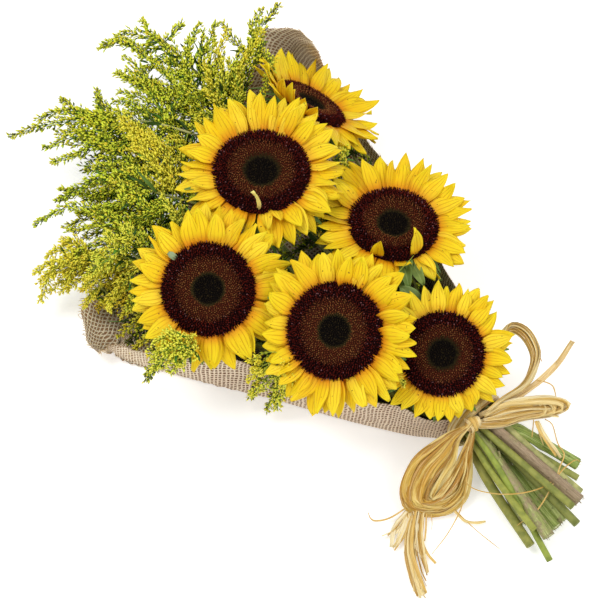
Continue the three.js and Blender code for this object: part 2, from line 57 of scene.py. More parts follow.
# ---- the bunch: where its heads, stems, sprays, wrap and bow lie ----
# number, disc centre, facing direction, disc radius, petal reach
HEADS = [
    (1, [-280.5, 88.5, 82.0], [-0.01, 0.676, 0.737], 32.5, 60),
    (2, [-242.6, -1.3, 116.0], [0.036, -0.0096, 0.9993], 39.5, 66),
    (3, [-198.5, -100.1, 104.0], [0.3637, -0.2834, 0.8874], 37.0, 64),
    (4, [-103.7, -55.2, 104.0], [0.1708, -0.4781, 0.8616], 38.0, 63),
    (5, [-146.2, 52.1, 88.0], [-0.0048, 0.0989, 0.9951], 36.4, 62),
    (6, [-39.0, -2.8, 86.0], [0.3854, -0.2833, 0.8782], 33.0, 55),
]
# number, radius, path from under the head to the cut end
STEMS = [
    (1, 4.6, [[-280.3, 77.3, 69.8], [-280.2, 65.5, 56.9], [-277.0, 64.0, 33.0], [-225.0, 56.0, 24.0], [-120.0, 36.0, 21.0], [-40.0, 16.0, 20.5], [0.0, 8.8, 20.9], [45.0, 2.2, 17.0], [103.7, -7.3, 9.0]]),
    (2, 4.4, [[-243.2, -1.1, 99.5], [-244.2, -0.9, 71.0], [-241.0, 1.0, 38.0], [-212.0, 0.0, 21.0], [-120.0, -2.0, 15.0], [-40.0, -1.0, 14.5], [0.0, -0.0, 15.8], [45.0, -6.5, 11.0], [103.2, -14.5, 7.0]]),
    (3, 3.9, [[-204.5, -95.4, 89.4], [-213.8, -88.2, 66.7], [-207.0, -89.0, 40.0], [-168.0, -76.0, 24.0], [-90.0, -42.0, 19.0], [-36.0, -18.0, 19.5], [0.0, -8.8, 20.9], [40.0, -16.5, 15.5], [84.0, -30.5, 9.0]]),
    (4, 4.5, [[-106.5, -47.3, 89.8], [-110.9, -35.1, 67.8], [-109.0, -33.0, 50.0], [-92.0, -29.0, 38.0], [-50.0, -19.0, 32.0], [0.0, -8.8, 31.1], [50.0, -17.5, 27.0], [106.7, -29.7, 19.0]]),
    (5, 4.4, [[-146.1, 50.5, 71.6], [-146.0, 48.7, 54.2], [-141.0, 47.0, 42.0], [-112.0, 39.0, 35.0], [-55.0, 22.0, 32.0], [0.0, 8.8, 31.1], [40.0, 20.0, 26.0], [80.5, 33.8, 15.0]]),
    (6, 4.2, [[-45.4, 1.9, 71.5], [-49.4, 4.8, 62.3], [-44.0, 5.0, 48.0], [-26.0, 2.5, 38.5], [0.0, 0.0, 36.2], [50.0, 3.0, 33.0], [104.6, 6.5, 26.0]]),
]
# number, stalk radius, stalk path from the cut end, plumes as (radius, kind, path)
GOLDENROD = [
    (1, 1.8, [[87.1, 27.6, 9.0], [40.0, 16.5, 12.0], [0.0, 7.2, 13.6], [-28.0, 13.0, 13.5], [-65.0, 30.0, 11.0], [-150.0, 72.0, 14.0], [-240.0, 106.0, 27.0], [-300.0, 116.0, 36.0], [-334.0, 108.0, 64.0], [-355.9, 91.9, 88.0]], [
        (6.5, 'g', [[-355.9, 91.9, 88.0], [-364.0, 115.9, 92.0], [-370.8, 137.7, 90.0]]),
        (5.07, 'g', [[-350.7, 96.1, 82.1], [-326.1, 88.3, 100.0], [-303.5, 57.8, 106.0]]),
        (5.14, 'g', [[-350.7, 96.1, 82.1], [-369.6, 106.9, 84.0], [-382.1, 128.2, 84.0]]),
        (6.21, 'g', [[-345.7, 100.5, 76.2], [-355.7, 98.0, 66.0], [-371.6, 94.3, 74.0], [-396.2, 96.3, 80.0]]),
    ]),
    (2, 2.4, [[114.9, -6.8, 20.0], [50.0, -3.0, 23.5], [0.0, 0.0, 26.0], [-80.0, 10.0, 24.0], [-200.0, 26.0, 22.0], [-290.0, 52.0, 44.0], [-351.5, 57.6, 62.0], [-376.2, 47.5, 76.0], [-418.6, 48.2, 80.0]], [
        (6.0, 'g', [[-415.9, 48.1, 79.8], [-442.2, 31.5, 80.0], [-457.4, 8.3, 70.0]]),
        (3.87, 'g', [[-418.6, 48.2, 80.0], [-430.7, 44.3, 82.0], [-447.2, 49.7, 80.0]]),
        (4.74, 'g', [[-415.9, 48.1, 79.8], [-415.5, 56.2, 84.0], [-419.4, 70.0, 82.0]]),
        (6.41, 'g', [[-404.8, 47.6, 79.1], [-418.0, 41.8, 78.0], [-423.7, 27.8, 70.0]]),
        (4.48, 'g', [[-388.1, 46.9, 78.0], [-404.2, 38.1, 72.0], [-416.2, 25.2, 64.0]]),
        (5.6, 'g', [[-378.4, 47.2, 76.5], [-394.9, 55.9, 84.0], [-406.0, 80.0, 84.0]]),
        (6.27, 'g', [[-367.3, 51.2, 71.7], [-381.7, 63.5, 84.0], [-396.7, 91.2, 84.0]]),
        (6.64, 'g', [[-359.8, 55.9, 66.0], [-353.0, 26.9, 84.0], [-381.7, 23.2, 82.0]]),
        (5.71, 'g', [[-358.2, 56.5, 65.0], [-358.2, 49.7, 80.0], [-367.4, 70.0, 86.0]]),
        (6.28, 'g', [[-354.0, 57.4, 63.0], [-356.1, 22.2, 74.0], [-373.6, 24.2, 72.0]]),
        (6.0, 'g', [[-367.3, 51.2, 71.7], [-375.4, 35.7, 82.0], [-400.2, 25.7, 76.0]]),
    ]),
    (3, 2.2, [[96.1, 21.6, 6.0], [62.0, 15.5, 17.5], [27.0, 10.0, 32.0], [4.0, 7.4, 38.2], [-40.0, 16.0, 43.0], [-100.0, 17.0, 48.0], [-180.0, 12.0, 54.0], [-243.0, 20.0, 60.0], [-300.0, 14.0, 74.0], [-361.0, -17.7, 82.0], [-381.5, -44.2, 80.0]], [
        (4.6, 'g', [[-380.3, -42.6, 80.1], [-416.8, -69.3, 76.0], [-441.3, -103.1, 64.0]]),
        (4.67, 'g', [[-381.5, -44.2, 80.0], [-420.9, -63.0, 80.0], [-435.1, -77.7, 70.0]]),
        (4.34, 'g', [[-380.3, -42.6, 80.1], [-405.7, -51.4, 84.0], [-433.3, -55.3, 76.0]]),
        (4.41, 'g', [[-377.3, -37.7, 80.7], [-397.1, -40.7, 88.0], [-416.6, -27.9, 82.0]]),
        (6.28, 'g', [[-361.0, -17.7, 82.0], [-379.9, -17.1, 88.0], [-399.3, -24.3, 80.0]]),
        (6.2, 'g', [[-348.5, -9.5, 80.8], [-381.7, 1.0, 86.0], [-421.9, -0.7, 74.0]]),
        (6.27, 'g', [[-344.8, -7.3, 80.4], [-367.8, 8.6, 84.0], [-403.3, 1.2, 76.0]]),
        (5.14, 'g', [[-381.5, -44.2, 80.0], [-399.1, -67.4, 72.0], [-416.3, -88.8, 58.0]]),
        (5.21, 'g', [[-375.6, -34.5, 81.2], [-388.0, -73.3, 66.0], [-405.6, -90.3, 50.0]]),
        (6.28, 'g', [[-344.8, -7.3, 80.4], [-349.3, -28.0, 84.0], [-371.5, -39.3, 84.0]]),
        (6.0, 'g', [[-361.0, -17.7, 82.0], [-362.5, -52.1, 80.0], [-383.3, -65.7, 72.0]]),
        (6.07, 'g', [[-372.8, -29.7, 81.8], [-387.1, -36.2, 88.0], [-400.4, -56.5, 80.0]]),
    ]),
    (4, 2.0, [[105.9, -3.8, 33.0], [50.0, -6.0, 36.0], [0.0, -7.2, 38.4], [-28.0, -4.8, 39.3], [-50.0, -4.0, 40.5], [-130.0, -12.0, 49.0], [-200.0, -24.0, 58.0], [-262.0, -34.0, 72.0], [-307.3, -65.1, 88.0], [-340.3, -68.4, 88.0]], [
        (7.5, 'y', [[-297.2, -58.8, 85.1], [-323.6, -49.6, 98.0], [-373.1, -38.4, 90.0]]),
        (6.57, 'y', [[-291.9, -54.5, 83.1], [-314.6, -38.3, 96.0], [-350.0, -29.0, 90.0]]),
        (6.14, 'g', [[-307.3, -65.1, 88.0], [-341.4, -75.4, 94.0], [-360.4, -88.2, 84.0]]),
        (5.81, 'g', [[-324.6, -68.5, 89.0], [-345.8, -93.8, 88.0], [-361.3, -119.5, 70.0]]),
        (5.28, 'g', [[-304.8, -63.9, 87.4], [-308.1, -89.2, 98.0], [-323.9, -80.7, 98.0]]),
        (5.0, 'g', [[-297.2, -58.8, 85.1], [-286.6, -73.1, 84.0], [-296.3, -82.5, 98.0], [-314.1, -77.5, 98.0]]),
        (5.27, 'y', [[-289.2, -52.3, 82.0], [-304.0, -45.9, 92.0], [-329.4, -36.4, 90.0]]),
        (4.74, 'p', [[-286.5, -50.0, 80.9], [-269.7, -66.7, 84.0], [-277.1, -68.0, 92.0], [-292.3, -65.0, 94.0]]),
        (6.21, 'g', [[-289.2, -52.3, 82.0], [-290.7, -80.2, 84.0], [-313.8, -101.4, 78.0]]),
        (6.28, 'g', [[-307.3, -65.1, 88.0], [-342.8, -57.7, 86.0], [-366.3, -61.8, 80.0]]),
        (5.5, 'g', [[-304.8, -63.9, 87.4], [-322.5, -93.8, 78.0], [-342.5, -114.5, 66.0]]),
        (6.07, 'g', [[-277.8, -43.1, 77.4], [-292.8, -29.3, 66.0], [-313.1, -21.0, 80.0], [-340.7, -7.2, 78.0]]),
    ]),
    (5, 2.6, [[100.0, -41.6, 9.0], [45.0, -29.0, 15.0], [20.0, -21.0, 18.0], [0.0, -15.2, 20.0], [-28.0, -20.0, 20.0], [-65.0, -42.0, 16.0], [-150.0, -88.0, 13.0], [-230.0, -122.0, 22.0], [-284.0, -140.0, 44.0], [-307.3, -130.7, 60.0]], [
        (7.0, 'y', [[-307.3, -130.7, 60.0], [-321.1, -159.6, 58.0], [-320.7, -177.2, 28.0]]),
        (6.57, 'y', [[-307.3, -130.7, 60.0], [-313.1, -147.8, 54.0], [-312.5, -155.1, 28.0]]),
        (5.14, 'y', [[-307.3, -130.7, 60.0], [-323.2, -155.3, 60.0], [-335.9, -168.3, 44.0]]),
        (5.21, 'y', [[-307.3, -130.7, 60.0], [-324.1, -143.4, 64.0], [-337.3, -152.0, 52.0]]),
        (6.78, 'y', [[-303.4, -132.8, 57.1], [-317.0, -134.1, 68.0], [-333.4, -138.9, 62.0]]),
        (5.5, 'y', [[-286.3, -140.2, 45.2], [-286.0, -147.9, 52.0], [-284.3, -159.2, 42.0]]),
    ]),
    (6, 2.0, [[96.5, -36.9, 27.0], [45.0, -26.5, 28.5], [0.0, -15.2, 30.4], [-28.0, -20.0, 33.0], [-60.0, -37.0, 37.0], [-140.0, -72.0, 41.0], [-192.0, -107.0, 50.0], [-232.0, -120.0, 60.0], [-262.0, -112.0, 74.0], [-281.8, -113.6, 86.0]], [
        (10.0, 'p', [[-277.1, -113.0, 83.0], [-279.1, -123.7, 93.0], [-285.4, -147.0, 80.0]]),
        (5.57, 'p', [[-280.6, -113.5, 85.3], [-286.0, -121.5, 96.0], [-296.7, -118.7, 94.0]]),
        (5.64, 'p', [[-277.1, -113.0, 83.0], [-281.4, -108.7, 96.0], [-292.8, -105.2, 94.0]]),
        (6.21, 'g', [[-278.2, -113.2, 83.8], [-281.7, -99.2, 82.0], [-338.3, -113.9, 82.0], [-360.5, -144.8, 62.0]]),
        (6.28, 'y', [[-273.7, -112.4, 80.9], [-284.8, -140.4, 70.0], [-290.0, -154.3, 58.0]]),
        (6.0, 'y', [[-263.5, -111.8, 74.8], [-265.0, -138.6, 70.0], [-259.2, -152.2, 60.0]]),
        (6.07, 'g', [[-276.0, -112.8, 82.3], [-280.2, -98.5, 80.0], [-309.2, -109.4, 80.0], [-336.4, -128.6, 64.0]]),
        (6.14, 'g', [[-268.9, -111.8, 77.9], [-285.5, -126.8, 72.0], [-307.7, -130.1, 62.0]]),
        (6.21, 'g', [[-255.5, -113.8, 70.5], [-252.0, -127.1, 66.0], [-253.8, -139.3, 56.0]]),
        (5.28, 'g', [[-189.1, -105.4, 49.4], [-192.9, -141.3, 72.0], [-209.9, -160.3, 20.0]]),
        (4.5, 'g', [[-131.0, -67.5, 40.3], [-136.2, -91.7, 74.0], [-139.0, -113.1, 22.0]]),
        (4.27, 'g', [[-131.0, -67.5, 40.3], [-123.0, -89.3, 72.0], [-123.9, -109.9, 18.0]]),
    ]),
    (7, 1.8, [[118.1, -38.9, 6.0], [45.0, -21.5, 33.5], [0.0, -12.6, 36.9], [-30.0, -12.5, 40.0], [-66.0, -12.0, 52.0], [-120.0, -2.0, 64.0], [-172.0, 8.0, 73.0], [-204.0, 40.0, 77.0], [-228.9, 67.1, 79.0]], [
        (4.6, 'g', [[-228.9, 67.1, 79.0], [-222.4, 69.8, 86.0], [-224.2, 74.8, 92.0]]),
        (5.57, 'g', [[-200.5, 36.1, 76.6], [-195.8, -3.8, 84.0], [-202.6, -21.7, 84.0]]),
        (5.14, 'g', [[-181.6, 14.6, 74.4], [-169.6, 29.5, 68.0], [-129.1, 31.8, 76.0], [-120.2, 48.1, 74.0]]),
        (4.71, 'g', [[-179.3, 12.7, 74.1], [-168.3, 28.1, 68.0], [-130.2, 19.1, 80.0], [-116.4, 16.5, 78.0]]),
    ]),
]
WRAP_NEAR = [[3.0, -21.0], [-15.0, -26.0], [-54.0, -54.0], [-139.0, -101.0], [-212.0, -142.0], [-250.0, -160.5], [-276.0, -173.0]]
WRAP_FAR = [[3.0, 21.0], [-15.0, 25.0], [-70.0, 52.0], [-150.0, 86.0], [-235.0, 118.0], [-300.0, 136.0], [-342.0, 146.0]]
WRAP_NEAR_RIM = [26.0, 40.0, 52.0, 58.0, 40.0, 24.0, 22.0]
WRAP_FAR_RIM = [26.0, 40.0, 56.0, 56.0, 38.0, 42.0, 86.0]
RAFFIA = {
    'knot': [8.7, -14.5, 50.0],
    'loop_upper': [[4.2, -4.1, 50.0], [-7.2, 19.4, 50.0], [-21.2, 44.5, 52.0], [-28.7, 66.1, 56.0], [-16.8, 71.9, 56.0], [-0.3, 65.9, 54.0], [8.4, 53.2, 52.0], [13.7, 35.5, 54.0], [11.5, 14.5, 57.0], [10.8, -1.9, 58.0]],
    'loop_right': [[9.9, -3.3, 50.0], [16.9, 14.6, 56.0], [30.2, 31.9, 58.0], [41.0, 47.6, 52.0], [48.2, 51.0, 47.0], [44.1, 42.2, 43.0], [30.5, 22.5, 42.0], [22.7, 7.1, 40.0], [17.1, -3.1, 41.0]],
    'loop_lower': [[8.9, -20.6, 52.0], [0.8, -37.3, 46.0], [-6.0, -56.7, 28.0], [-3.6, -77.0, 12.0], [10.0, -84.9, 6.0], [24.5, -80.8, 6.0], [33.1, -69.5, 8.0], [31.5, -50.5, 14.0], [27.0, -34.8, 28.0], [21.1, -20.6, 38.0], [16.8, -15.4, 42.0]],
    'tail_straight': [[7.7, -5.6, 50.0], [16.2, 19.3, 52.0], [19.5, 51.0, 48.0], [18.0, 74.1, 46.0], [14.6, 95.6, 44.0]],
    'tail_long': [[9.9, -88.0, 3.0], [20.3, -99.7, 4.0], [39.6, -112.8, 3.0], [67.2, -126.1, 2.0]],
    'tail_mid': [[30.2, -78.6, 4.0], [39.2, -94.6, 4.0], [49.9, -104.5, 3.0], [60.4, -112.0, 2.0]],
    'tail_side': [[6.7, -92.5, 3.0], [12.0, -103.5, 4.0], [15.8, -112.8, 2.0]],
    'strand_right': [[38.5, 27.5, 36.0], [45.6, 30.6, 26.0], [56.3, 29.6, 18.0], [63.9, 27.7, 14.0]],
}

# ---- helpers for curves and meshes ----
def unit(v):
    v = np.asarray(v, float)
    return v / np.maximum(np.linalg.norm(v, axis=-1, keepdims=True), 1e-9)


def smooth(a, b, x):
    t = np.clip((np.asarray(x, float) - a) / (b - a), 0, 1)
    return t * t * (3 - 2 * t)


def curve(points, n, even=True):
    """n points on a smooth curve through the given ones."""
    p = np.asarray(points, float)
    m = len(p)
    if m == 2:
        p = np.array([p[0], (p[0] + p[1]) / 2, p[1]])
        m = 3
    ends = np.vstack([2 * p[0] - p[1], p, 2 * p[-1] - p[-2]])
    fine = max(n, 12 * m)
    t = np.linspace(0, m - 1, fine)
    i = np.minimum(t.astype(int), m - 2)
    f = (t - i)[:, None]
    a, b, c, d = (ends[i + k] for k in range(4))
    q = 0.5 * (2 * b + (c - a) * f + (2 * a - 5 * b + 4 * c - d) * f ** 2 + (3 * b - a - 3 * c + d) * f ** 3)
    if not even:
        return q
    along = np.concatenate([[0], np.cumsum(np.linalg.norm(np.diff(q, axis=0), axis=1))])
    want = np.linspace(0, along[-1], n)
    return np.stack([np.interp(want, along, q[:, k]) for k in range(3)], 1)


def length_of(path):
    return float(np.linalg.norm(np.diff(path, axis=0), axis=1).sum())


def frames(path, start=None):
    """Tangent and two cross directions at each point, carried along without twist."""
    t = unit(np.gradient(path, axis=0))
    first = np.array(start if start is not None else [0.0, 0.0, 1.0])
    if abs(first @ t[0]) > 0.95:
        first = np.array([0.0, 1.0, 0.0])
    u = unit(first - (first @ t[0]) * t[0])
    us = [u]
    for k in range(1, len(path)):
        u = us[-1] - (us[-1] @ t[k]) * t[k]
        us.append(u / max(np.linalg.norm(u), 1e-9))
    us = np.array(us)
    return t, us, np.cross(t, us)


class Soup:
    """Points and faces of one piece, gathered from many small shapes.
    place holds what a material reads along a shape, and tone what it reads of the whole shape."""

    def __init__(self):
        self.v, self.q, self.t, self.place, self.tone, self.n = [], [], [], [], [], 0

    def add(self, v, quads=None, tris=None, place=None, tone=None):
        v = np.asarray(v, float).reshape(-1, 3)
        n = len(v)
        self.v.append(v)
        for store, faces in ((self.q, quads), (self.t, tris)):
            if faces is not None and len(faces):
                store.append(np.asarray(faces, np.int64) + self.n)
        for store, given in ((self.place, place), (self.tone, tone)):
            given = np.zeros(4) if given is None else np.asarray(given, float)
            store.append(np.broadcast_to(given, (n, 4)) if given.ndim == 1 else given.reshape(-1, 4))
        self.n += n

    def mesh(self, name, material, slot=None, nodes=(), flat=False):
        v = np.vstack(self.v)
        v[:, 2] = np.maximum(v[:, 2], 0.25)  # nothing reaches below what it lies on
        v = ((v + ORIGIN) / 1000).astype(np.float32)
        quads = np.vstack(self.q) if self.q else np.zeros((0, 4), np.int64)
        tris = np.vstack(self.t) if self.t else np.zeros((0, 3), np.int64)
        me = bpy.data.meshes.new(name)
        me.vertices.add(len(v))
        me.vertices.foreach_set("co", v.ravel())
        loops = np.concatenate([quads.ravel(), tris.ravel()]).astype(np.int32)
        me.loops.add(len(loops))
        me.loops.foreach_set("vertex_index", loops)
        starts = np.concatenate([np.arange(len(quads)) * 4, 4 * len(quads) + np.arange(len(tris)) * 3])
        me.polygons.add(len(starts))
        me.polygons.foreach_set("loop_start", starts.astype(np.int32))
        me.polygons.foreach_set("use_smooth", np.full(len(starts), not flat))
        for key, rows in (("place", self.place), ("tone", self.tone)):
            layer = me.color_attributes.new(key, "FLOAT_COLOR", "POINT")
            layer.data.foreach_set("color", np.vstack(rows).astype(np.float32).ravel())
        me.update(calc_edges=True)
        me.materials.append(material)
        ob = bpy.data.objects.new(name, me)
        bpy.context.scene.collection.objects.link(ob)
        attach(ob, "root")
        if nodes:
            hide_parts(*nodes)
        return ob


_plates = {}


def plate(nu, nv):
    """Faces of a thin closed plate: a grid of (nu + 1) x (nv + 1) points on top and the same below."""
    if (nu, nv) not in _plates:
        i, j = np.meshgrid(np.arange(nu), np.arange(nv), indexing="ij")
        a = (i * (nv + 1) + j).ravel()
        b, m = a + nv + 1, (nu + 1) * (nv + 1)
        top = np.stack([a, b, b + 1, a + 1], 1)
        low = np.stack([a, a + 1, b + 1, b], 1) + m
        k = np.arange(nu) * (nv + 1)
        near = np.stack([k, k + m, k + nv + 1 + m, k + nv + 1], 1)
        k = k + nv
        far = np.stack([k, k + nv + 1, k + nv + 1 + m, k + m], 1)
        k = np.arange(nv)
        start = np.stack([k, k + 1, k + 1 + m, k + m], 1)
        k = k + nu * (nv + 1)
        end = np.stack([k, k + m, k + 1 + m, k + 1], 1)
        _plates[nu, nv] = np.vstack([top, low, near, far, start, end])
    return _plates[nu, nv]


def thin(soup, top, thick, place=None, tone=None):
    """Adds a thin closed plate below a grid of points (rows along it, columns across)."""
    nu, nv = top.shape[0] - 1, top.shape[1] - 1
    n = unit(np.cross(np.gradient(top, axis=0), np.gradient(top, axis=1)))
    v = np.vstack([top.reshape(-1, 3), (top - n * thick).reshape(-1, 3)])
    if place is not None:
        place = np.vstack([place.reshape(-1, 4)] * 2)
    soup.add(v, quads=plate(nu, nv), place=place, tone=tone)


def blade(soup, nu, nv, size, base, axes, slope, yaw, roll, profile, section, thick, tone, kind=0.0, chance=0.5):
    """One petal, bract or leaf: a narrow plate that starts at base and follows its slope, yaw and roll.
    axes are forward, side and up; the functions take the share along it, 0 to 1."""
    length, width = size
    forward, side, up = axes
    s = np.linspace(0, 1, nu + 1)
    phi, psi, rl = slope(s), yaw(s), roll(s)
    d = (np.cos(phi) * np.cos(psi))[:, None] * forward + (np.cos(phi) * np.sin(psi))[:, None] * side \
        + np.sin(phi)[:, None] * up
    steps = (d[1:] + d[:-1]) / 2 * (length / nu)
    c = base + np.vstack([np.zeros(3), np.cumsum(steps, axis=0)])
    h = -np.sin(psi)[:, None] * forward + np.cos(psi)[:, None] * side
    n = np.cross(d, h)
    across = np.cos(rl)[:, None] * h + np.sin(rl)[:, None] * n
    n = np.cross(d, across)
    v = np.linspace(-1, 1, nv + 1)
    half = width / 2 * profile(s)
    rise = section(s[:, None], v[None, :])
    top = c[:, None] + across[:, None] * (half[:, None] * v)[..., None] + n[:, None] * rise[..., None]
    place = np.zeros((nu + 1, nv + 1, 4))
    place[..., 0], place[..., 1], place[..., 2], place[..., 3] = s[:, None], v, chance, kind
    thin(soup, top, thick, place, tone)
    return c


def tube(soup, path, radius, sides, rng, tone, ribs=0, depth=0.0, rough=0.0, flat=0.0, dish=0.0, kind=0.0):
    """A stem or stalk: a closed tube on a path, ribbed along, a little lumpy, with its two ends capped."""
    n = len(path)
    s = np.linspace(0, 1, n)
    t, u, w = frames(path)
    radius = np.broadcast_to(np.asarray(radius, float), (n,))
    angle = np.arange(sides) * 2 * np.pi / sides
    r = radius[:, None] * (1 + depth * np.cos(ribs * angle + rng.uniform(0, 6)) if ribs else np.ones(sides))
    if rough:
        lumps = rng.normal(0, 1, (max(4, n // 5), sides // 2 + 1))
        at = np.linspace(0, len(lumps) - 1, n)
        k = np.minimum(at.astype(int), len(lumps) - 2)
        rows = lumps[k] + (lumps[k + 1] - lumps[k]) * (at - k)[:, None]
        around = np.arange(sides) / 2
        j = around.astype(int)
        r = r * (1 + rough * (rows[:, j] + (rows[:, (j + 1) % rows.shape[1]] - rows[:, j]) * (around - j)))
    turn = rng.uniform(0, np.pi)
    r = r * (1 + flat * np.cos(2 * (angle - turn)))
    ring = path[:, None] + (r * np.cos(angle))[..., None] * u[:, None] + (r * np.sin(angle))[..., None] * w[:, None]
    v = ring.reshape(-1, 3)
    i, j = np.meshgrid(np.arange(n - 1), np.arange(sides), indexing="ij")
    a, b = (i * sides + j).ravel(), (i * sides + (j + 1) % sides).ravel()
    quads = np.stack([a, b, b + sides, a + sides], 1)
    place = np.zeros((n, sides, 4))
    place[..., 0], place[..., 1], place[..., 2], place[..., 3] = s[:, None], angle / (2 * np.pi), rng.uniform(), kind
    last = (n - 1) * sides
    # the cut ends: an inner ring, a little dished, and a middle
    extra, tris = [], []
    count = len(v)
    places = [place.reshape(-1, 4)]
    for end, at in ((0, 0), (1, last)):
        k = 0 if end == 0 else n - 1
        inner = path[k] + (ring[k] - path[k]) * 0.72 + t[k] * (dish if end == 0 else -dish)
        middle = path[k] + t[k] * (dish if end == 0 else -dish) * 1.4
        extra += [inner, middle[None]]
        o = count
        count += sides + 1
        j = np.arange(sides)
        e, f = at + j, at + (j + 1) % sides
        g, h = o + j, o + (j + 1) % sides
        if end == 0:
            quads = np.vstack([quads, np.stack([e, g, h, f], 1)])
            tris.append(np.stack([g, np.full(sides, o + sides), h], 1))
        else:
            quads = np.vstack([quads, np.stack([e, f, h, g], 1)])
            tris.append(np.stack([g, h, np.full(sides, o + sides)], 1))
        cap = np.zeros((sides + 1, 4))
        cap[:, 0], cap[:, 1], cap[:, 2], cap[:, 3] = float(end), 0.5, 0.5, 2.0
        places.append(cap)
    soup.add(np.vstack([v] + extra), quads=quads, tris=np.vstack(tris), place=np.vstack(places), tone=tone)


def scatter(soup, template, faces, at, forward, up, size, place, tone, quads=None):
    """Many copies of one small shape, as real points. template is in (forward, side, up)."""
    forward = unit(forward)
    side = unit(np.cross(up, forward))
    top = np.cross(forward, side)
    size = np.asarray(size, float)
    if size.ndim == 1:
        size = np.stack([size] * 3, 1)
    local = template[None] * size[:, None]
    v = at[:, None] + local[..., :1] * forward[:, None] + local[..., 1:2] * side[:, None] + local[..., 2:] * top[:, None]
    n, m = len(at), len(template)
    off = (np.arange(n) * m)[:, None, None]
    soup.add(
        v.reshape(-1, 3),
        tris=(faces[None] + off).reshape(-1, 3) if faces is not None and len(faces) else None,
        quads=(quads[None] + off).reshape(-1, 4) if quads is not None else None,
        place=place.reshape(-1, 4), tone=np.repeat(tone, m, axis=0))


def spindle(sides, levels):
    """A closed pointed bud along +x from 0 to 1: levels are (share along, radius)."""
    v, tris = [[0.0, 0.0, 0.0]], []
    for k, (x, r) in enumerate(levels):
        turn = k * math.pi / sides
        v += [[x, r * math.cos(2 * math.pi * j / sides + turn), r * math.sin(2 * math.pi * j / sides + turn)] for j in range(sides)]
    v.append([1.0, 0.0, 0.0])
    last = len(v) - 1
    for j in range(sides):
        k = (j + 1) % sides
        tris.append([0, 1 + k, 1 + j])
        for m in range(len(levels) - 1):
            a, b = 1 + m * sides, 1 + (m + 1) * sides
            tris += [[a + j, a + k, b + j], [a + k, b + k, b + j]]
        a = 1 + (len(levels) - 1) * sides
        tris.append([a + j, a + k, last])
    return np.array(v), np.array(tris)


# ---- helpers for materials ----
def srgb(text, strength=1.0):
    c = [int(text[k:k + 2], 16) / 255 for k in (1, 3, 5)]
    c = [x / 12.92 if x <= 0.04045 else ((x + 0.055) / 1.055) ** 2.4 for x in c]
    return (*[min(1.0, x * strength) for x in c], 1.0)


class Finish:
    """A procedural material, built node by node around one Principled shader."""

    def __init__(self, name, roughness=0.6, specular=0.5):
        self.m = bpy.data.materials.new(name)
        self.m.use_nodes = True
        self.t = self.m.node_tree
        self.p = self.t.nodes["Principled BSDF"]
        self.p.inputs["Roughness"].default_value = roughness
        self.p.inputs["Specular IOR Level"].default_value = specular

    def node(self, kind, **given):
        n = self.t.nodes.new(kind)
        for k, v in given.items():
            setattr(n, k, v)
        return n

    def put(self, socket, value):
        if hasattr(value, "is_output"):
            self.t.links.new(value, socket)
        else:
            socket.default_value = value

    def math(self, op, a, b=0.0, c=0.0, clamp=False):
        n = self.node("ShaderNodeMath", operation=op, use_clamp=clamp)
        for k, v in enumerate((a, b, c)):
            self.put(n.inputs[k], v)
        return n.outputs[0]

    def ramp(self, value, low, high, to=(0.0, 1.0), smooth=True):
        n = self.node("ShaderNodeMapRange", interpolation_type="SMOOTHSTEP" if smooth else "LINEAR")
        for k, v in zip(("Value", "From Min", "From Max", "To Min", "To Max"), (value, low, high, *to)):
            self.put(n.inputs[k], v)
        return n.outputs[0]

    def mix(self, share, a, b, blend="MIX"):
        n = self.node("ShaderNodeMix", data_type="RGBA", blend_type=blend)
        self.put(n.inputs["Factor"], share)
        self.put([s for s in n.inputs if s.name == "A" and s.type == "RGBA"][0], a)
        self.put([s for s in n.inputs if s.name == "B" and s.type == "RGBA"][0], b)
        return [s for s in n.outputs if s.type == "RGBA"][0]

    def read(self, name):
        n = self.node("ShaderNodeAttribute", attribute_name=name)
        s = self.node("ShaderNodeSeparateColor")
        self.t.links.new(n.outputs["Color"], s.inputs[0])
        return s.outputs[0], s.outputs[1], s.outputs[2], n.outputs["Alpha"]

    def vector(self, x, y, z=0.0):
        n = self.node("ShaderNodeCombineXYZ")
        for k, v in enumerate((x, y, z)):
            self.put(n.inputs[k], v)
        return n.outputs[0]

    def here(self):
        return self.node("ShaderNodeNewGeometry").outputs["Position"]

    def noise(self, vector, scale, detail=3.0, rough=0.55):
        n = self.node("ShaderNodeTexNoise")
        self.put(n.inputs["Vector"], vector)
        n.inputs["Scale"].default_value = scale
        n.inputs["Detail"].default_value = detail
        n.inputs["Roughness"].default_value = rough
        return n.outputs["Fac"] if "Fac" in n.outputs else n.outputs[0]

    def cells(self, vector, scale):
        n = self.node("ShaderNodeTexVoronoi")
        self.put(n.inputs["Vector"], vector)
        n.inputs["Scale"].default_value = scale
        return n.outputs["Distance"]

    def bump(self, height, strength, distance, after=None):
        n = self.node("ShaderNodeBump")
        self.put(n.inputs["Height"], height)
        n.inputs["Strength"].default_value = strength
        n.inputs["Distance"].default_value = distance
        if after is not None:
            self.t.links.new(after, n.inputs["Normal"])
        return n.outputs[0]

    def finish(self, colour, normal=None, roughness=None):
        self.put(self.p.inputs["Base Color"], colour)
        if normal is not None:
            self.put(self.p.inputs["Normal"], normal)
        if roughness is not None:
            self.put(self.p.inputs["Roughness"], roughness)
        return self.m

# ---- sunflowers ----
def head_axes(normal):
    n = unit(normal)
    x = unit(RIGHT - (RIGHT @ n) * n)
    return x, np.cross(n, x), n


def petal_profile(point, base):
    def f(s):
        wide = base + (1 - base) * smooth(0, 0.4, s)
        t = np.clip((s - 0.42) / 0.58, 0, 1)
        return np.maximum(wide * (1 - t ** point) ** 0.9, 0.03)
    return f


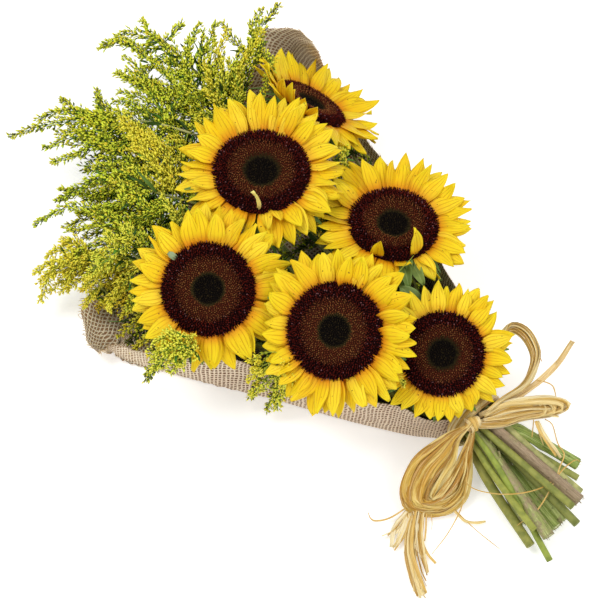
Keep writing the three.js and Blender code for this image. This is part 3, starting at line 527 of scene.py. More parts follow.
def petal_section(camber, rib, wave, phase, curl):
    """Height across a petal: channelled at its base, arched further out, with two long grooves."""
    def f(s, v):
        arch = -camber * (v ** 2 - 0.35) * smooth(0.1, 0.6, s) + 0.9 * camber * v ** 2 * (1 - smooth(0.0, 0.35, s))
        groove = rib * np.cos(2 * math.pi * v + phase) * smooth(0.03, 0.25, s) * (1 - smooth(0.72, 1.0, s))
        edge = wave * np.abs(v) ** 3 * np.sin(2 * math.pi * (1.6 * s + phase) + v) * smooth(0.15, 0.5, s)
        return arch + groove + edge + curl * v * np.abs(v) * smooth(0.3, 1.0, s)
    return f


# How petals lie where two heads meet: (head, neighbour, degrees that the petals between them are lifted).
CROSSINGS = [
    (3, 2, 14), (2, 3, -15), (4, 3, 9), (3, 4, -10), (4, 6, 10), (6, 4, -12), (2, 1, 6), (1, 2, 10),
    (5, 2, 4), (2, 5, -3), (4, 5, 8), (5, 4, 6), (5, 1, -8), (1, 5, -6), (6, 5, -4), (5, 6, 2),
]
# Petals that stand out of the ring: (head, degrees round it, {what differs}); how much more orange each is painted is
# painted shade on these curled petals.
ODD_PETALS = [
    (2, 268, dict(size=(23, 4.4), slope=(100, 126), base=1.5, roll=10, yaw=96, painted_orange_shade=0.0, pale=0.9)),
    (2, 275, dict(size=(19, 12), slope=(40, -34), base=0.2, roll=34, painted_orange_shade=0.45)),
    (2, 288, dict(size=(19, 11.5), slope=(52, 10), base=0.0, roll=-30, painted_orange_shade=0.75)),
    (2, 299, dict(size=(23, 13), slope=(30, -20), base=0.0, roll=24, painted_orange_shade=0.35)),
    (2, 248, dict(size=(24, 12.5), slope=(24, -46), base=0.0, roll=-18, painted_orange_shade=0.4)),
    (5, 246, dict(size=(21, 11), slope=(62, 128), base=-1.0, roll=20, painted_orange_shade=0.6)),
    (5, 300, dict(size=(31, 13), slope=(84, 128), base=-0.5, yaw=0, roll=6, painted_orange_shade=0.2)),
    (5, 276, dict(size=(22, 12), slope=(28, 66), base=-0.5, yaw=52, roll=-12, painted_orange_shade=0.5)),
    (1, 216, dict(size=(25, 12), slope=(46, 64), base=-0.5, roll=18, painted_orange_shade=0.5)),
    (1, 233, dict(size=(21, 12), slope=(50, 78), base=-0.5, roll=-24, painted_orange_shade=0.6)),
    (1, 250, dict(size=(19, 11), slope=(52, 80), base=-0.5, roll=20, painted_orange_shade=0.45)),
    (1, 268, dict(size=(20, 11), slope=(44, 74), base=-0.5, roll=-16, painted_orange_shade=0.5)),
    (1, 286, dict(size=(21, 11), slope=(20, 10), base=-0.8, roll=10, painted_orange_shade=0.3)),
]
# Parts of the ring where the odd petals stand before the back row alone: (head, from, to) in degrees.
BARE = [(2, 244, 300), (5, 240, 276), (1, 210, 292)]
# A head that is seen from its side holds its petals up: (degrees round it, degrees that they are lifted).
CUPPED = {
    1: ([0, 30, 76, 120, 166, 200, 230, 256, 292, 312, 346, 360], [18, 30, 36, 36, 34, 36, 38, 30, 6, 2, 12, 18]),
    2: ([0, 50, 90, 130, 180, 360], [0, 14, 24, 16, 0, 0]), 5: ([0, 50, 90, 140, 190, 360], [0, 18, 26, 20, 0, 0]),
}
# How far out the unopened buds at the heart of each disc reach, as a share of its radius.
HEART = {1: 0.42, 2: 0.43, 3: 0.38, 4: 0.37, 5: 0.42, 6: 0.45}
# Where a head's petals are longer than elsewhere, as a share of their length.
LONGER = {
    1: ([0, 40, 80, 120, 170, 330, 360], [0.12, 0.22, 0.20, 0.10, 0, 0, 0.08]),
    3: ([0, 130, 155, 200, 230, 300, 330, 360], [0, 0, -0.15, -0.15, -0.06, -0.08, 0, 0]),
    4: ([0, 135, 162, 200, 228, 245, 300, 340, 360], [0.04, 0, -0.22, -0.22, 0, 0.10, 0.10, 0, 0.04]),
    6: ([0, 200, 240, 300, 340, 360], [0, 0, -0.13, -0.13, 0, 0]),
    2: ([0, 50, 90, 130, 180, 360], [0, 0.08, 0.12, 0.08, 0, 0]), 5: ([0, 50, 90, 140, 190, 360], [0, 0.10, 0.12, 0.10, 0, 0]),
}


def make_petals(head):
    number, centre, normal, disc, reach = head
    rng = np.random.default_rng(100 + number)
    x, y, n = head_axes(normal)
    centre = np.array(centre)
    soup = Soup()
    others = {h[0]: np.array(h[1]) for h in HEADS}
    count = int(round(52 * disc / 37))
    golden = math.degrees(math.pi * (3 - math.sqrt(5)))
    start = rng.uniform(0, 360)

    def lift_at(az):
        total = float(np.interp(az, *CUPPED[number])) if number in CUPPED else 0.0
        for a, b, degrees in CROSSINGS:
            if a == number:
                d = others[b] - centre
                to = math.degrees(math.atan2(d @ y, d @ x))
                off = abs((az - to + 180) % 360 - 180)
                total += degrees * (1 - float(smooth(18, 52, off)))
        return total

    def one(az, size, slope, base_r, z0, yaw, roll, twist, camber, rib, wave, curl, point, tone, chance):
        a = math.radians(az)
        f = math.cos(a) * x + math.sin(a) * y
        s = -math.sin(a) * x + math.cos(a) * y
        start_at = centre + f * base_r + n * z0
        p0, p1, p2 = (math.radians(k) for k in slope)
        blade(
            soup, 12, 6, size, start_at, (f, s, n),
            lambda t: p0 + (p1 - p0) * smooth(0.0, 0.55, t) + (p2 - p1) * smooth(0.5, 1.0, t),
            lambda t: math.radians(yaw) * t, lambda t: math.radians(roll) + math.radians(twist) * t,
            petal_profile(point, rng.uniform(0.55, 0.7)), petal_section(camber, rib, wave, rng.uniform(), curl),
            0.3, tone, 0.0, chance)

    for i in range(count):
        az = (start + i * golden + rng.normal(0, 2.2)) % 360
        level = i / count  # 0 in front, 1 at the back
        if level < 0.5 and any(number == h and a <= az <= b for h, a, b in BARE):
            continue
        if number == 5 and 268 <= az <= 302:
            continue
        length = (reach - disc + 5) * min(rng.normal(1.0, 0.085), 1.12) * (0.95 + 0.1 * level)
        lift = lift_at(az)
        if number in LONGER:
            length *= 1 + float(np.interp(az, *LONGER[number]))
        first = 24 - 18 * level + rng.normal(0, 5) + 0.6 * lift
        second = 2 - 12 * level + rng.normal(0, 8) + lift
        third = second + rng.normal(-4, 22)
        # painted shade: petals further back in the ring, under the front row, are painted more orange
        shaded = np.clip(0.05 + 0.4 * level + rng.normal(0, 0.12), 0, 1)
        one(az, (length, rng.uniform(12.2, 16.4) * reach / 63), (first, second, third), disc - 4.4 + 0.5 * level,
            1.0 - 3.2 * level, rng.normal(0, 10), rng.normal(6, 9), rng.normal(0, 24), rng.uniform(0.1, 1.3),
            rng.uniform(0.08, 0.24), rng.uniform(0.1, 1.0), rng.normal(0, 0.9), rng.uniform(1.4, 2.3),
            (shaded, rng.uniform(), 0.0, rng.uniform()), rng.uniform())
    for h, az, odd in ODD_PETALS:
        if h != number:
            continue
        a, b = odd["slope"]
        one(az, odd["size"], (a, (a + b) / 2, b), disc - 3.4, odd["base"], odd.get("yaw", rng.normal(0, 6)), odd["roll"] * 0.5,
            odd["roll"] * 0.8, 1.6, 0.3, 0.7, rng.normal(0, 1.0), 2.0,
            (odd["painted_orange_shade"], rng.uniform(), odd.get("pale", 0.0), rng.uniform()), rng.uniform())
    return soup


DOME_Q = [0, 0.16, 0.3, 0.38, 0.46, 0.6, 0.76, 0.9, 1.0]
DOME_Z = [3.0, 3.2, 3.9, 4.9, 5.9, 6.6, 6.4, 4.9, 2.4]


def dome(q):
    return np.interp(q, DOME_Q, DOME_Z)


def lathe(soup, centre, axes, profile, sides, place=None, tone=None):
    """A turned shape whose profile starts and ends on its axis."""
    x, y, n = axes
    profile = np.asarray(profile, float)
    a = np.arange(sides) * 2 * np.pi / sides
    rim = profile[1:-1]
    v = centre + (rim[:, None, :1] * np.cos(a)[None, :, None]) * x + (rim[:, None, :1] * np.sin(a)[None, :, None]) * y \
        + rim[:, None, 1:] * n
    m = len(rim)
    i, j = np.meshgrid(np.arange(m - 1), np.arange(sides), indexing="ij")
    p, q = (i * sides + j).ravel(), (i * sides + (j + 1) % sides).ravel()
    quads = np.stack([p, q, q + sides, p + sides], 1)
    v = np.vstack([v.reshape(-1, 3), centre + profile[0, 1] * n, centre + profile[-1, 1] * n])
    j = np.arange(sides)
    k = (j + 1) % sides
    first = np.stack([j, np.full(sides, m * sides), k], 1)
    last = (m - 1) * sides
    final = np.stack([last + j, last + k, np.full(sides, m * sides + 1)], 1)
    values = np.zeros((len(v), 4))
    radii = np.concatenate([np.repeat(rim[:, 0], sides), [0, 0]])
    values[:, 0] = radii / max(radii.max(), 1e-6)
    values[:, 1:] = (place if place is not None else (0.5, 0.0, 0.0))
    soup.add(v, quads=quads, tris=np.vstack([first, final]), place=values, tone=tone)


def make_disc(head):
    number, centre, normal, disc, reach = head
    rng = np.random.default_rng(200 + number)
    x, y, n = head_axes(normal)
    centre = np.array(centre)
    soup = Soup()
    q = np.array([1.0, 0.97, 0.9, 0.8, 0.7, 0.6, 0.5, 0.42, 0.36, 0.28, 0.18, 0.08])
    profile = [[0, 0.4]] + [[disc - 4.5, 0.4], [disc - 1.5, 0.8]] + [[disc * k * 0.985, dome(k) - 0.9] for k in q] + [[0, dome(0) - 0.9]]
    lathe(soup, centre, (x, y, n), profile, 48, (0.0, 0.5, 0.0), (0, 0, 0, 0))
    count = int((disc / 0.9) ** 2)
    i = np.arange(count) + 0.5
    q = 0.975 * np.sqrt(i / count)
    a = i * math.pi * (3 - math.sqrt(5)) + rng.normal(0, 0.012, count) / np.maximum(q, 0.1)
    r = q * disc
    radial = np.cos(a)[:, None] * x + np.sin(a)[:, None] * y
    z = dome(q)
    tilt = np.arctan((dome(np.clip(q + 0.02, 0, 1)) - dome(np.clip(q - 0.02, 0, 1))) / (0.04 * disc))
    at = centre + radial * (r * 0.985)[:, None] + n * (z - 1.2)[:, None]
    # leaning: buds at the heart lean in, those at the rim lean far out over the petals
    lean = -tilt + np.interp(q, [0, 0.3, 0.42, 0.62, 0.86, 1.0], [0, -0.35, -0.15, 0.05, 0.18, 0.42]) + rng.normal(0, 0.09, count)
    axis = unit(np.cos(lean)[:, None] * n + np.sin(lean)[:, None] * radial)
    chance = rng.uniform(0, 1, count)

    def zone(low, high, template, faces, length, kind):
        pick = (q >= low) & (q < high)
        m = pick.sum()
        size = np.stack([length(q[pick]) * rng.uniform(0.85, 1.15, m), np.full(m, 1.1), np.full(m, 1.1)], 1)
        size[:, 1:] *= rng.uniform(0.9, 1.12, (m, 1))
        place = np.zeros((m, len(template), 4))
        place[..., 0] = np.interp(q[pick], [0, HEART[number], 0.62, 1], [0, 0.37, 0.62, 1])[:, None]
        place[..., 1] = template[None, :, 0]
        place[..., 2] = chance[pick][:, None]
        place[..., 3] = kind
        tone = np.stack([chance[pick], rng.uniform(0, 1, m), np.zeros(m), np.ones(m)], 1)
        scatter(soup, template, faces, at[pick], axis[pick], radial[pick], size, place, tone)

    bud, bud_faces = spindle(4, [(0.62, 0.62)])
    zone(0.0, 0.41, bud, bud_faces, lambda t: np.full(len(t), 1.9), 1.0)
    bud, bud_faces = spindle(4, [(0.3, 0.62), (0.78, 0.34)])
    zone(0.41, 0.64, bud, bud_faces, lambda t: np.full(len(t), 2.3), 2.0)
    bud, bud_faces = spindle(3, [(0.35, 0.6), (0.8, 0.54)])
    bud = bud.copy()
    bud[:, 2] += 0.25 * bud[:, 0] ** 2
    zone(0.64, 1.01, bud, bud_faces, lambda t: 2.7 + 0.2 * smooth(0.8, 1.0, t), 3.0)
    # the two curled branches that stand out of each open floret
    hook, hook_faces = spindle(3, [(0.5, 0.2)])
    for turn in (-1, 1):
        pick = (q > 0.66) & (chance < (0.86 if turn > 0 else 0.7))
        m = pick.sum()
        curled = hook.copy()
        curled[:, 2] += 0.5 * curled[:, 0] ** 2
        spin = rng.uniform(0, 2 * np.pi, m) + (0 if turn < 0 else np.pi)
        side = np.cross(axis[pick], radial[pick])
        out = np.cos(spin)[:, None] * radial[pick] + np.sin(spin)[:, None] * side
        tip = at[pick] + axis[pick] * 2.3
        ahead = unit(axis[pick] + 0.5 * out + 0.25 * smooth(0.88, 1.0, q[pick])[:, None] * radial[pick])
        size = np.stack([rng.uniform(0.9, 1.9, m), np.ones(m), rng.uniform(0.6, 1.2, m)], 1)
        place = np.zeros((m, len(hook), 4))
        place[..., 0] = q[pick][:, None]
        place[..., 1] = 0.75 + 0.25 * hook[None, :, 0]
        place[..., 2] = rng.uniform(0, 1, m)[:, None]
        place[..., 3] = 4.0
        tone = np.stack([rng.uniform(0, 1, m), rng.uniform(0, 1, m), np.zeros(m), np.ones(m)], 1)
        scatter(soup, curled, hook_faces, tip, ahead, out, size, place, tone)
    return soup


def make_calyx(head):
    """The green cup under a head, with its three rows of long pointed bracts."""
    number, centre, normal, disc, reach = head
    rng = np.random.default_rng(300 + number)
    x, y, n = head_axes(normal)
    centre = np.array(centre)
    soup = Soup()
    r = disc - 4
    if number == 3:
        # a scrap of pale leaf caught between the petals and the disc
        at = math.radians(137)
        f = math.cos(at) * x + math.sin(at) * y
        s = -math.sin(at) * x + math.cos(at) * y
        blade(soup, 6, 4, (8, 5.2), centre + f * (disc - 3.0) + n * 3.4, (f, s, n), lambda t: 0.45 - 0.7 * t, lambda t: 0.2 * t,
              lambda t: 0.25 + 0 * t, lambda t: 0.8 + 0.2 * np.sin(3 * t) - 0.5 * smooth(0.7, 1.0, t), lambda t, v: 0.8 * v ** 2, 0.25, (*srgb("#93a37c")[:3], 0.4), 0.0, 0.3)
    if number == 5:
        # the petals have curled away at one side and the broad green bracts show
        for az, out, drop, size in ((270, -1, -3.5, (19, 12)), (281, 0, -2.4, (22, 13)), (292, -1, -3.0, (23, 13)), (303, 0, -4.2, (20, 12)), (287, -7, -1.2, (15, 11)), (276, -8, -1.6, (14, 11)), (298, -8, -1.8, (14, 11))):
            at = math.radians(az)
            f = math.cos(at) * x + math.sin(at) * y
            s = -math.sin(at) * x + math.cos(at) * y
            bend, ripe = rng.uniform(-0.2, 0.2), rng.uniform()
            green = [p * (1 - ripe) + q * ripe for p, q in zip(srgb("#647e34")[:3], srgb("#94a552")[:3])]
            blade(soup, 8, 6, size, centre + f * (disc + out) + n * drop, (f, s, n), lambda t: 0.35 - 0.9 * t, lambda t: bend * t, lambda t: bend + 0.3 * t,
                  lambda t: np.maximum(np.clip(1.02 - t, 0, 1) ** 0.55 * smooth(-0.25, 0.3, t), 0.04), lambda t, v: 1.3 * v ** 2 - 0.4 * np.exp(-(v * 4) ** 2),
                  0.35, (*green, 0.4), 0.0, rng.uniform())
    if number == 6:
        # two broad leaves stand out from behind the neck of this head
        for start, way, size in (([-16, 34, -9], [-0.55, 0.84, 0.02], (24, 15)), ([-30, 26, -10], [-0.86, 0.45, 0.10], (22, 13))):
            f = unit(way[0] * x + way[1] * y + way[2] * n)
            s = unit(np.cross(n, f))
            at = centre + start[0] * x + start[1] * y + start[2] * n
            blade(soup, 10, 6, size, at, (f, s, np.cross(f, s)), lambda t: 0.35 - 0.7 * t, lambda t: 0.25 * t, lambda t: 0.2 - 0.3 * t,
                  lambda t: np.maximum(np.sin(np.pi * np.clip(0.08 + 0.92 * t, 0, 1)) ** 0.7, 0.05), lambda t, v: 0.9 * v ** 2 - 0.3 * np.exp(-(v * 4) ** 2),
                  0.3, (*srgb("#6f8446")[:3], 0.4), 0.0, 0.5)
    profile = [[0, -16.4], [4.6, -16.2], [5.6, -15.4], [7.2, -14.2], [r * 0.45, -12.6], [r * 0.72, -10.2],
               [r * 0.9, -7.2], [r, -4.4], [r - 0.8, -3.0], [0, -3.0]]
    green = srgb("#5d7c33")
    lathe(soup, centre, (x, y, n), profile, 40, (0.5, 0.3, 1.0), (*green[:3], 0.5))
    shades = [srgb(c) for c in ("#6d8f3a", "#5b7f34", "#7a9a45", "#51722f")]
    for row, (how_many, base_r, z0, long, wide, first, last) in enumerate([
            (13, r - 0.5, -3.6, 27, 10.5, 4, -26), (12, r - 3.0, -6.6, 29, 10.5, -14, -44), (11, r * 0.74, -9.8, 27, 10, -26, -66)]):
        turn = rng.uniform(0, 360)
        for k in range(how_many):
            az = math.radians(turn + 360 * k / how_many + rng.normal(0, 5))
            f = math.cos(az) * x + math.sin(az) * y
            s = -math.sin(az) * x + math.cos(az) * y
            a, b = math.radians(first + rng.normal(0, 7)), math.radians(last + rng.normal(0, 14))
            yaw, roll, twist = rng.normal(0, 0.15), rng.normal(0, 0.12), rng.normal(0, 0.35)
            camber = rng.uniform(0.5, 1.4)
            blade(soup, 10, 4, (long * rng.uniform(0.85, 1.15), wide * rng.uniform(0.85, 1.12)),
                  centre + f * (base_r - 3) + n * z0, (f, s, n),
                  lambda t: a + (b - a) * t ** 1.3, lambda t: yaw * t, lambda t: roll + twist * t,
                  lambda t: np.maximum((0.82 + 0.18 * smooth(0, 0.22, t)) * (1 - t ** 1.25) ** 0.9, 0.03),
                  lambda t, v: camber * (v ** 2 - 0.4) * (1 - 0.5 * t) - 0.25 * np.exp(-(v * 5) ** 2), 0.45,
                  (*shades[rng.integers(4)][:3], rng.uniform()), 0.0, rng.uniform())
    return soup


# ---- stems ----
STEM_LOOK = {  # colour, how brown and fibrous, how ribbed, how flattened
    1: ("#a9b468", 0.35, 0.09, 0.14), 2: ("#94a352", 0.3, 0.09, 0.10), 3: ("#b3b874", 0.45, 0.08, 0.16),
    4: ("#a2a862", 0.55, 0.10, 0.18), 5: ("#93a750", 0.25, 0.10, 0.10), 6: ("#967f62", 0.9, 0.09, 0.14),
}


def make_stem(stem):
    number, radius, path = stem
    rng = np.random.default_rng(400 + number)
    soup = Soup()
    colour, woody, ribbed, flat = STEM_LOOK[number]
    line = curve(path, 84)
    s = np.linspace(0, 1, len(line))
    # a little wander, a thicker neck under the head and a swelling at each leaf scar
    t, u, w = frames(line)
    wander = 0.35 * np.sin(2 * np.pi * (2.3 * s + rng.uniform())) * np.sin(np.pi * s)
    line = line + u * wander[:, None]
    r = radius * (0.86 + 0.14 * smooth(0.0, 0.4, s) + 0.10 * smooth(0.72, 1.0, s) + 0.12 * np.exp(-(s / 0.03) ** 2))
    scars = rng.uniform(0.5, 0.93, 3)
    for at in scars:
        r = r * (1 + 0.13 * np.exp(-((s - at) / 0.012) ** 2))
    tone = (*srgb(colour)[:3], woody)
    tube(soup, line, r, 22, rng, tone, ribs=9, depth=ribbed, rough=0.035, flat=flat, dish=0.5)
    # stubs of cut leaf stalks at the scars, and fibres torn at the cut end
    for at in scars:
        k = int(at * (len(line) - 1))
        a = rng.uniform(0, 2 * np.pi)
        out = math.cos(a) * u[k] + math.sin(a) * w[k]
        stub = np.array([line[k] + out * radius * 0.6, line[k] + out * radius * 1.15 - t[k] * 1.5,
                         line[k] + out * radius * 1.5 - t[k] * 4.5])
        tube(soup, curve(stub, 6), [1.5, 1.4, 1.2, 1.0, 0.9, 0.8], 7, rng, (*srgb("#8f8a52")[:3], 0.5), rough=0.06)
    for k in range(9):
        a = rng.uniform(0, 2 * np.pi)
        out = math.cos(a) * u[-1] + math.sin(a) * w[-1]
        start = line[-1] + out * radius * rng.uniform(0.45, 0.95) - t[-1] * 2.5
        end = start + t[-1] * rng.uniform(2.8, 5.2) + out * rng.uniform(-0.2, 0.9)
        tube(soup, curve([start, (start + end) / 2, end], 4), [0.32, 0.3, 0.22, 0.1], 4, rng, (*srgb("#b9b98a")[:3], 0.7))
    return soup

# ---- goldenrod ----
BUD, BUD_FACES = spindle(3, [(0.58, 0.2)])
TWIG, TWIG_FACES = spindle(3, [(0.25, 0.03)])
# how yellow, how bright and how orange the buds of each kind of plume are, and its stalk's colour; kind d is painted
# near-black green, as painted shade deep in the mass
PLUME_LOOK = {
    "g": (0.32, 0.40, 0.0, "#56852a"), "y": (1.0, 1.0, 0.03, "#a2ae34"), "p": (0.50, 0.96, 0.0, "#86b03c"),
    "d": (0.10, 0.02, 0.0, "#223812"), "o": (0.85, 0.45, 0.30, "#66701f"),
}


def under_heads(points):
    """Which points lie in or under the petals of a head."""
    hidden = np.zeros(len(points), bool)
    for _, centre, normal, disc, reach in HEADS:
        d = points - np.array(centre)
        up = d @ unit(normal)
        out = np.linalg.norm(d - up[:, None] * unit(normal), axis=1)
        hidden |= (out < reach - 1) & (up > -7) & (up < 26)
    return hidden


def sprig(soup, points, radius, kind, rng, dense=1.0, bare=0.0, behind=False, leaves=2):
    """One plume: a thin arching axis with short twigs all round it, each crowded with narrow buds."""
    rough_path = np.array(points, float)
    n = max(8, int(np.linalg.norm(np.diff(rough_path, axis=0), axis=1).sum() / 4))
    line = curve(rough_path, n)
    t, u, w = frames(line)
    bend = rng.normal(0, 0.7, 2)
    s_line = np.linspace(0, 1, n)
    line = line + (u * bend[0] + w * bend[1]) * (np.sin(2 * np.pi * s_line * 1.4)[:, None])
    long = length_of(line) * (1 - bare)
    yellow, bright, orange, stalk = PLUME_LOOK[kind]
    # no two plumes are quite as ripe as each other
    yellow += 0.10 * math.sin(line[0].sum() * 1.7)
    bright += 0.10 * math.sin(line[0].sum() * 2.9)
    stalk = srgb(stalk)
    tube(soup, line, np.interp(s_line, [0, 1], [0.6, 0.25]), 5, rng, (*stalk[:3], 0.3), kind=5.0)
    count = max(8, int(long * 0.72 * dense))
    s = np.sort(np.clip((np.arange(count) + rng.uniform(0, 1, count)) / count, 0.03, 1.0))
    k = (bare + (1 - bare) * s) * (n - 1)
    i = np.minimum(k.astype(int), n - 2)
    f = (k - i)[:, None]
    at, tt, uu, ww = (m[i] + (m[i + 1] - m[i]) * f for m in (line, t, u, w))
    a = np.arange(count) * 2.39996 + rng.normal(0, 0.45, count)
    out = np.cos(a)[:, None] * uu + np.sin(a)[:, None] * ww
    # twigs are held a little above the axis, as on the real plant
    out = unit(out + np.array([0, 0, 0.3]))
    reach = 1.12 * radius * (0.5 + 0.5 * smooth(0.0, 0.22, s)) * (1 - 0.6 * smooth(0.35, 1.0, s)) * rng.uniform(0.6, 1.25, count)
    ahead = unit(tt * (0.8 + 0.5 * s)[:, None] + out * 0.85)
    m = len(TWIG)
    seen = ~under_heads(at) if behind else np.ones(count, bool)
    place = np.zeros((seen.sum(), m, 4))
    place[..., 0], place[..., 3] = TWIG[None, :, 0], 5.0
    tone = np.tile([*stalk[:3], 0.4], (seen.sum(), 1))
    scatter(soup, TWIG, TWIG_FACES, at[seen], ahead[seen], out[seen], np.stack([reach * 1.1, np.full(count, 3.6), np.full(count, 3.6)], 1)[seen], place, tone)
    each = 6
    which = np.repeat(np.arange(count), each)
    total = len(which)
    share = np.tile(np.linspace(0.22, 1.0, each), count) + rng.normal(0, 0.05, total)
    spread = rng.normal(0, 1, (total, 3))
    d = unit(ahead[which] * 0.9 + 0.55 * unit(spread) + tt[which] * 0.35 + np.array([0, 0, 0.15]))
    size = rng.uniform(3.4, 6.0, total) * (1 - 0.22 * s[which])
    start = at[which] + ahead[which] * (reach[which] * share)[:, None] + spread * 0.3
    keep = rng.uniform(0, 1, total) < 0.95
    if behind:
        keep &= ~under_heads(start)
    which, d, size, start, share = which[keep], d[keep], size[keep], start[keep], share[keep]
    # painted light and shade: buds on the upper side of the axis are painted yellower and brighter, those below darker
    painted_top_light = np.clip((start[:, 2] - at[which][:, 2]) / (reach[which] + 0.5), -1, 1)
    total = len(which)
    m = len(BUD)
    place = np.zeros((total, m, 4))
    place[..., 0] = BUD[None, :, 0]
    place[..., 1] = share[:, None]
    place[..., 2] = rng.uniform(0, 1, total)[:, None]
    place[..., 3] = 6.0
    tone = np.stack([np.clip(yellow + rng.normal(0, 0.2, total) + 0.2 * (s[which] - 0.5) + 0.12 * painted_top_light, 0, 1),
                     np.clip(bright + rng.normal(0, 0.13, total) + 0.25 * (share - 0.6) + 0.34 * (painted_top_light - 0.25), 0, 1),
                     np.full(total, orange), rng.uniform(0, 1, total)], 1)
    fat = rng.uniform(0.7, 1.1, total)
    scatter(soup, BUD, BUD_FACES, start, d, np.roll(d, 1, axis=1) + 0.01, np.stack([size, size * fat, size * fat], 1), place, tone)
    # narrow dark leaves on the under side of the axis
    for _ in range(leaves):
        k = int((bare + (1 - bare) * rng.uniform(0, 0.5)) * (n - 1))
        side = u[k] * rng.normal(0, 0.7) + w[k] * rng.normal(0, 0.7)
        way = unit(t[k] + side - np.array([0, 0, 0.25]))
        long = rng.uniform(8, 17)
        base = line[k] - np.array([0, 0, rng.uniform(1.0, 4.0)])
        tips = base + way * np.array([[0.4], [0.8], [1.05]]) * long
        if behind and under_heads(tips).any() or tips[:, 2].min() < 6:
            continue
        leaf(soup, base, way, np.array([0, 0, 1.0]) + 0.5 * unit(rng.normal(0, 1, 3)), (long, rng.uniform(1.6, 2.8)), rng,
             ("#2c4a16", "#3d6320", "#233a12", "#4c7a28", "#5c9430")[rng.integers(5)], 0.5, (5, 2))


def leaf(soup, at, direction, up, size, rng, colour, droop=0.6, grid=(8, 4)):
    """A narrow leaf with a sunk midrib."""
    f = unit(direction)
    s = unit(np.cross(up, f))
    n = np.cross(f, s)
    a, b = rng.uniform(0.1, 0.5), -rng.uniform(0.2, 1.0) * droop
    yaw, twist = rng.normal(0, 0.3), rng.normal(0, 0.6)
    blade(soup, *grid, size, np.asarray(at, float), (f, s, n), lambda t: a + (b - a) * t, lambda t: yaw * t,
          lambda t: twist * t, lambda t: np.maximum(np.sin(np.pi * np.clip(0.06 + 0.94 * t, 0, 1)) ** 0.8, 0.04),
          lambda t, v: 0.09 * size[1] * (v ** 2 - 0.3) - 0.02 * size[1] * np.exp(-(v * 4) ** 2), 0.25,
          (*srgb(colour)[:3], rng.uniform()), 0.0, rng.uniform())
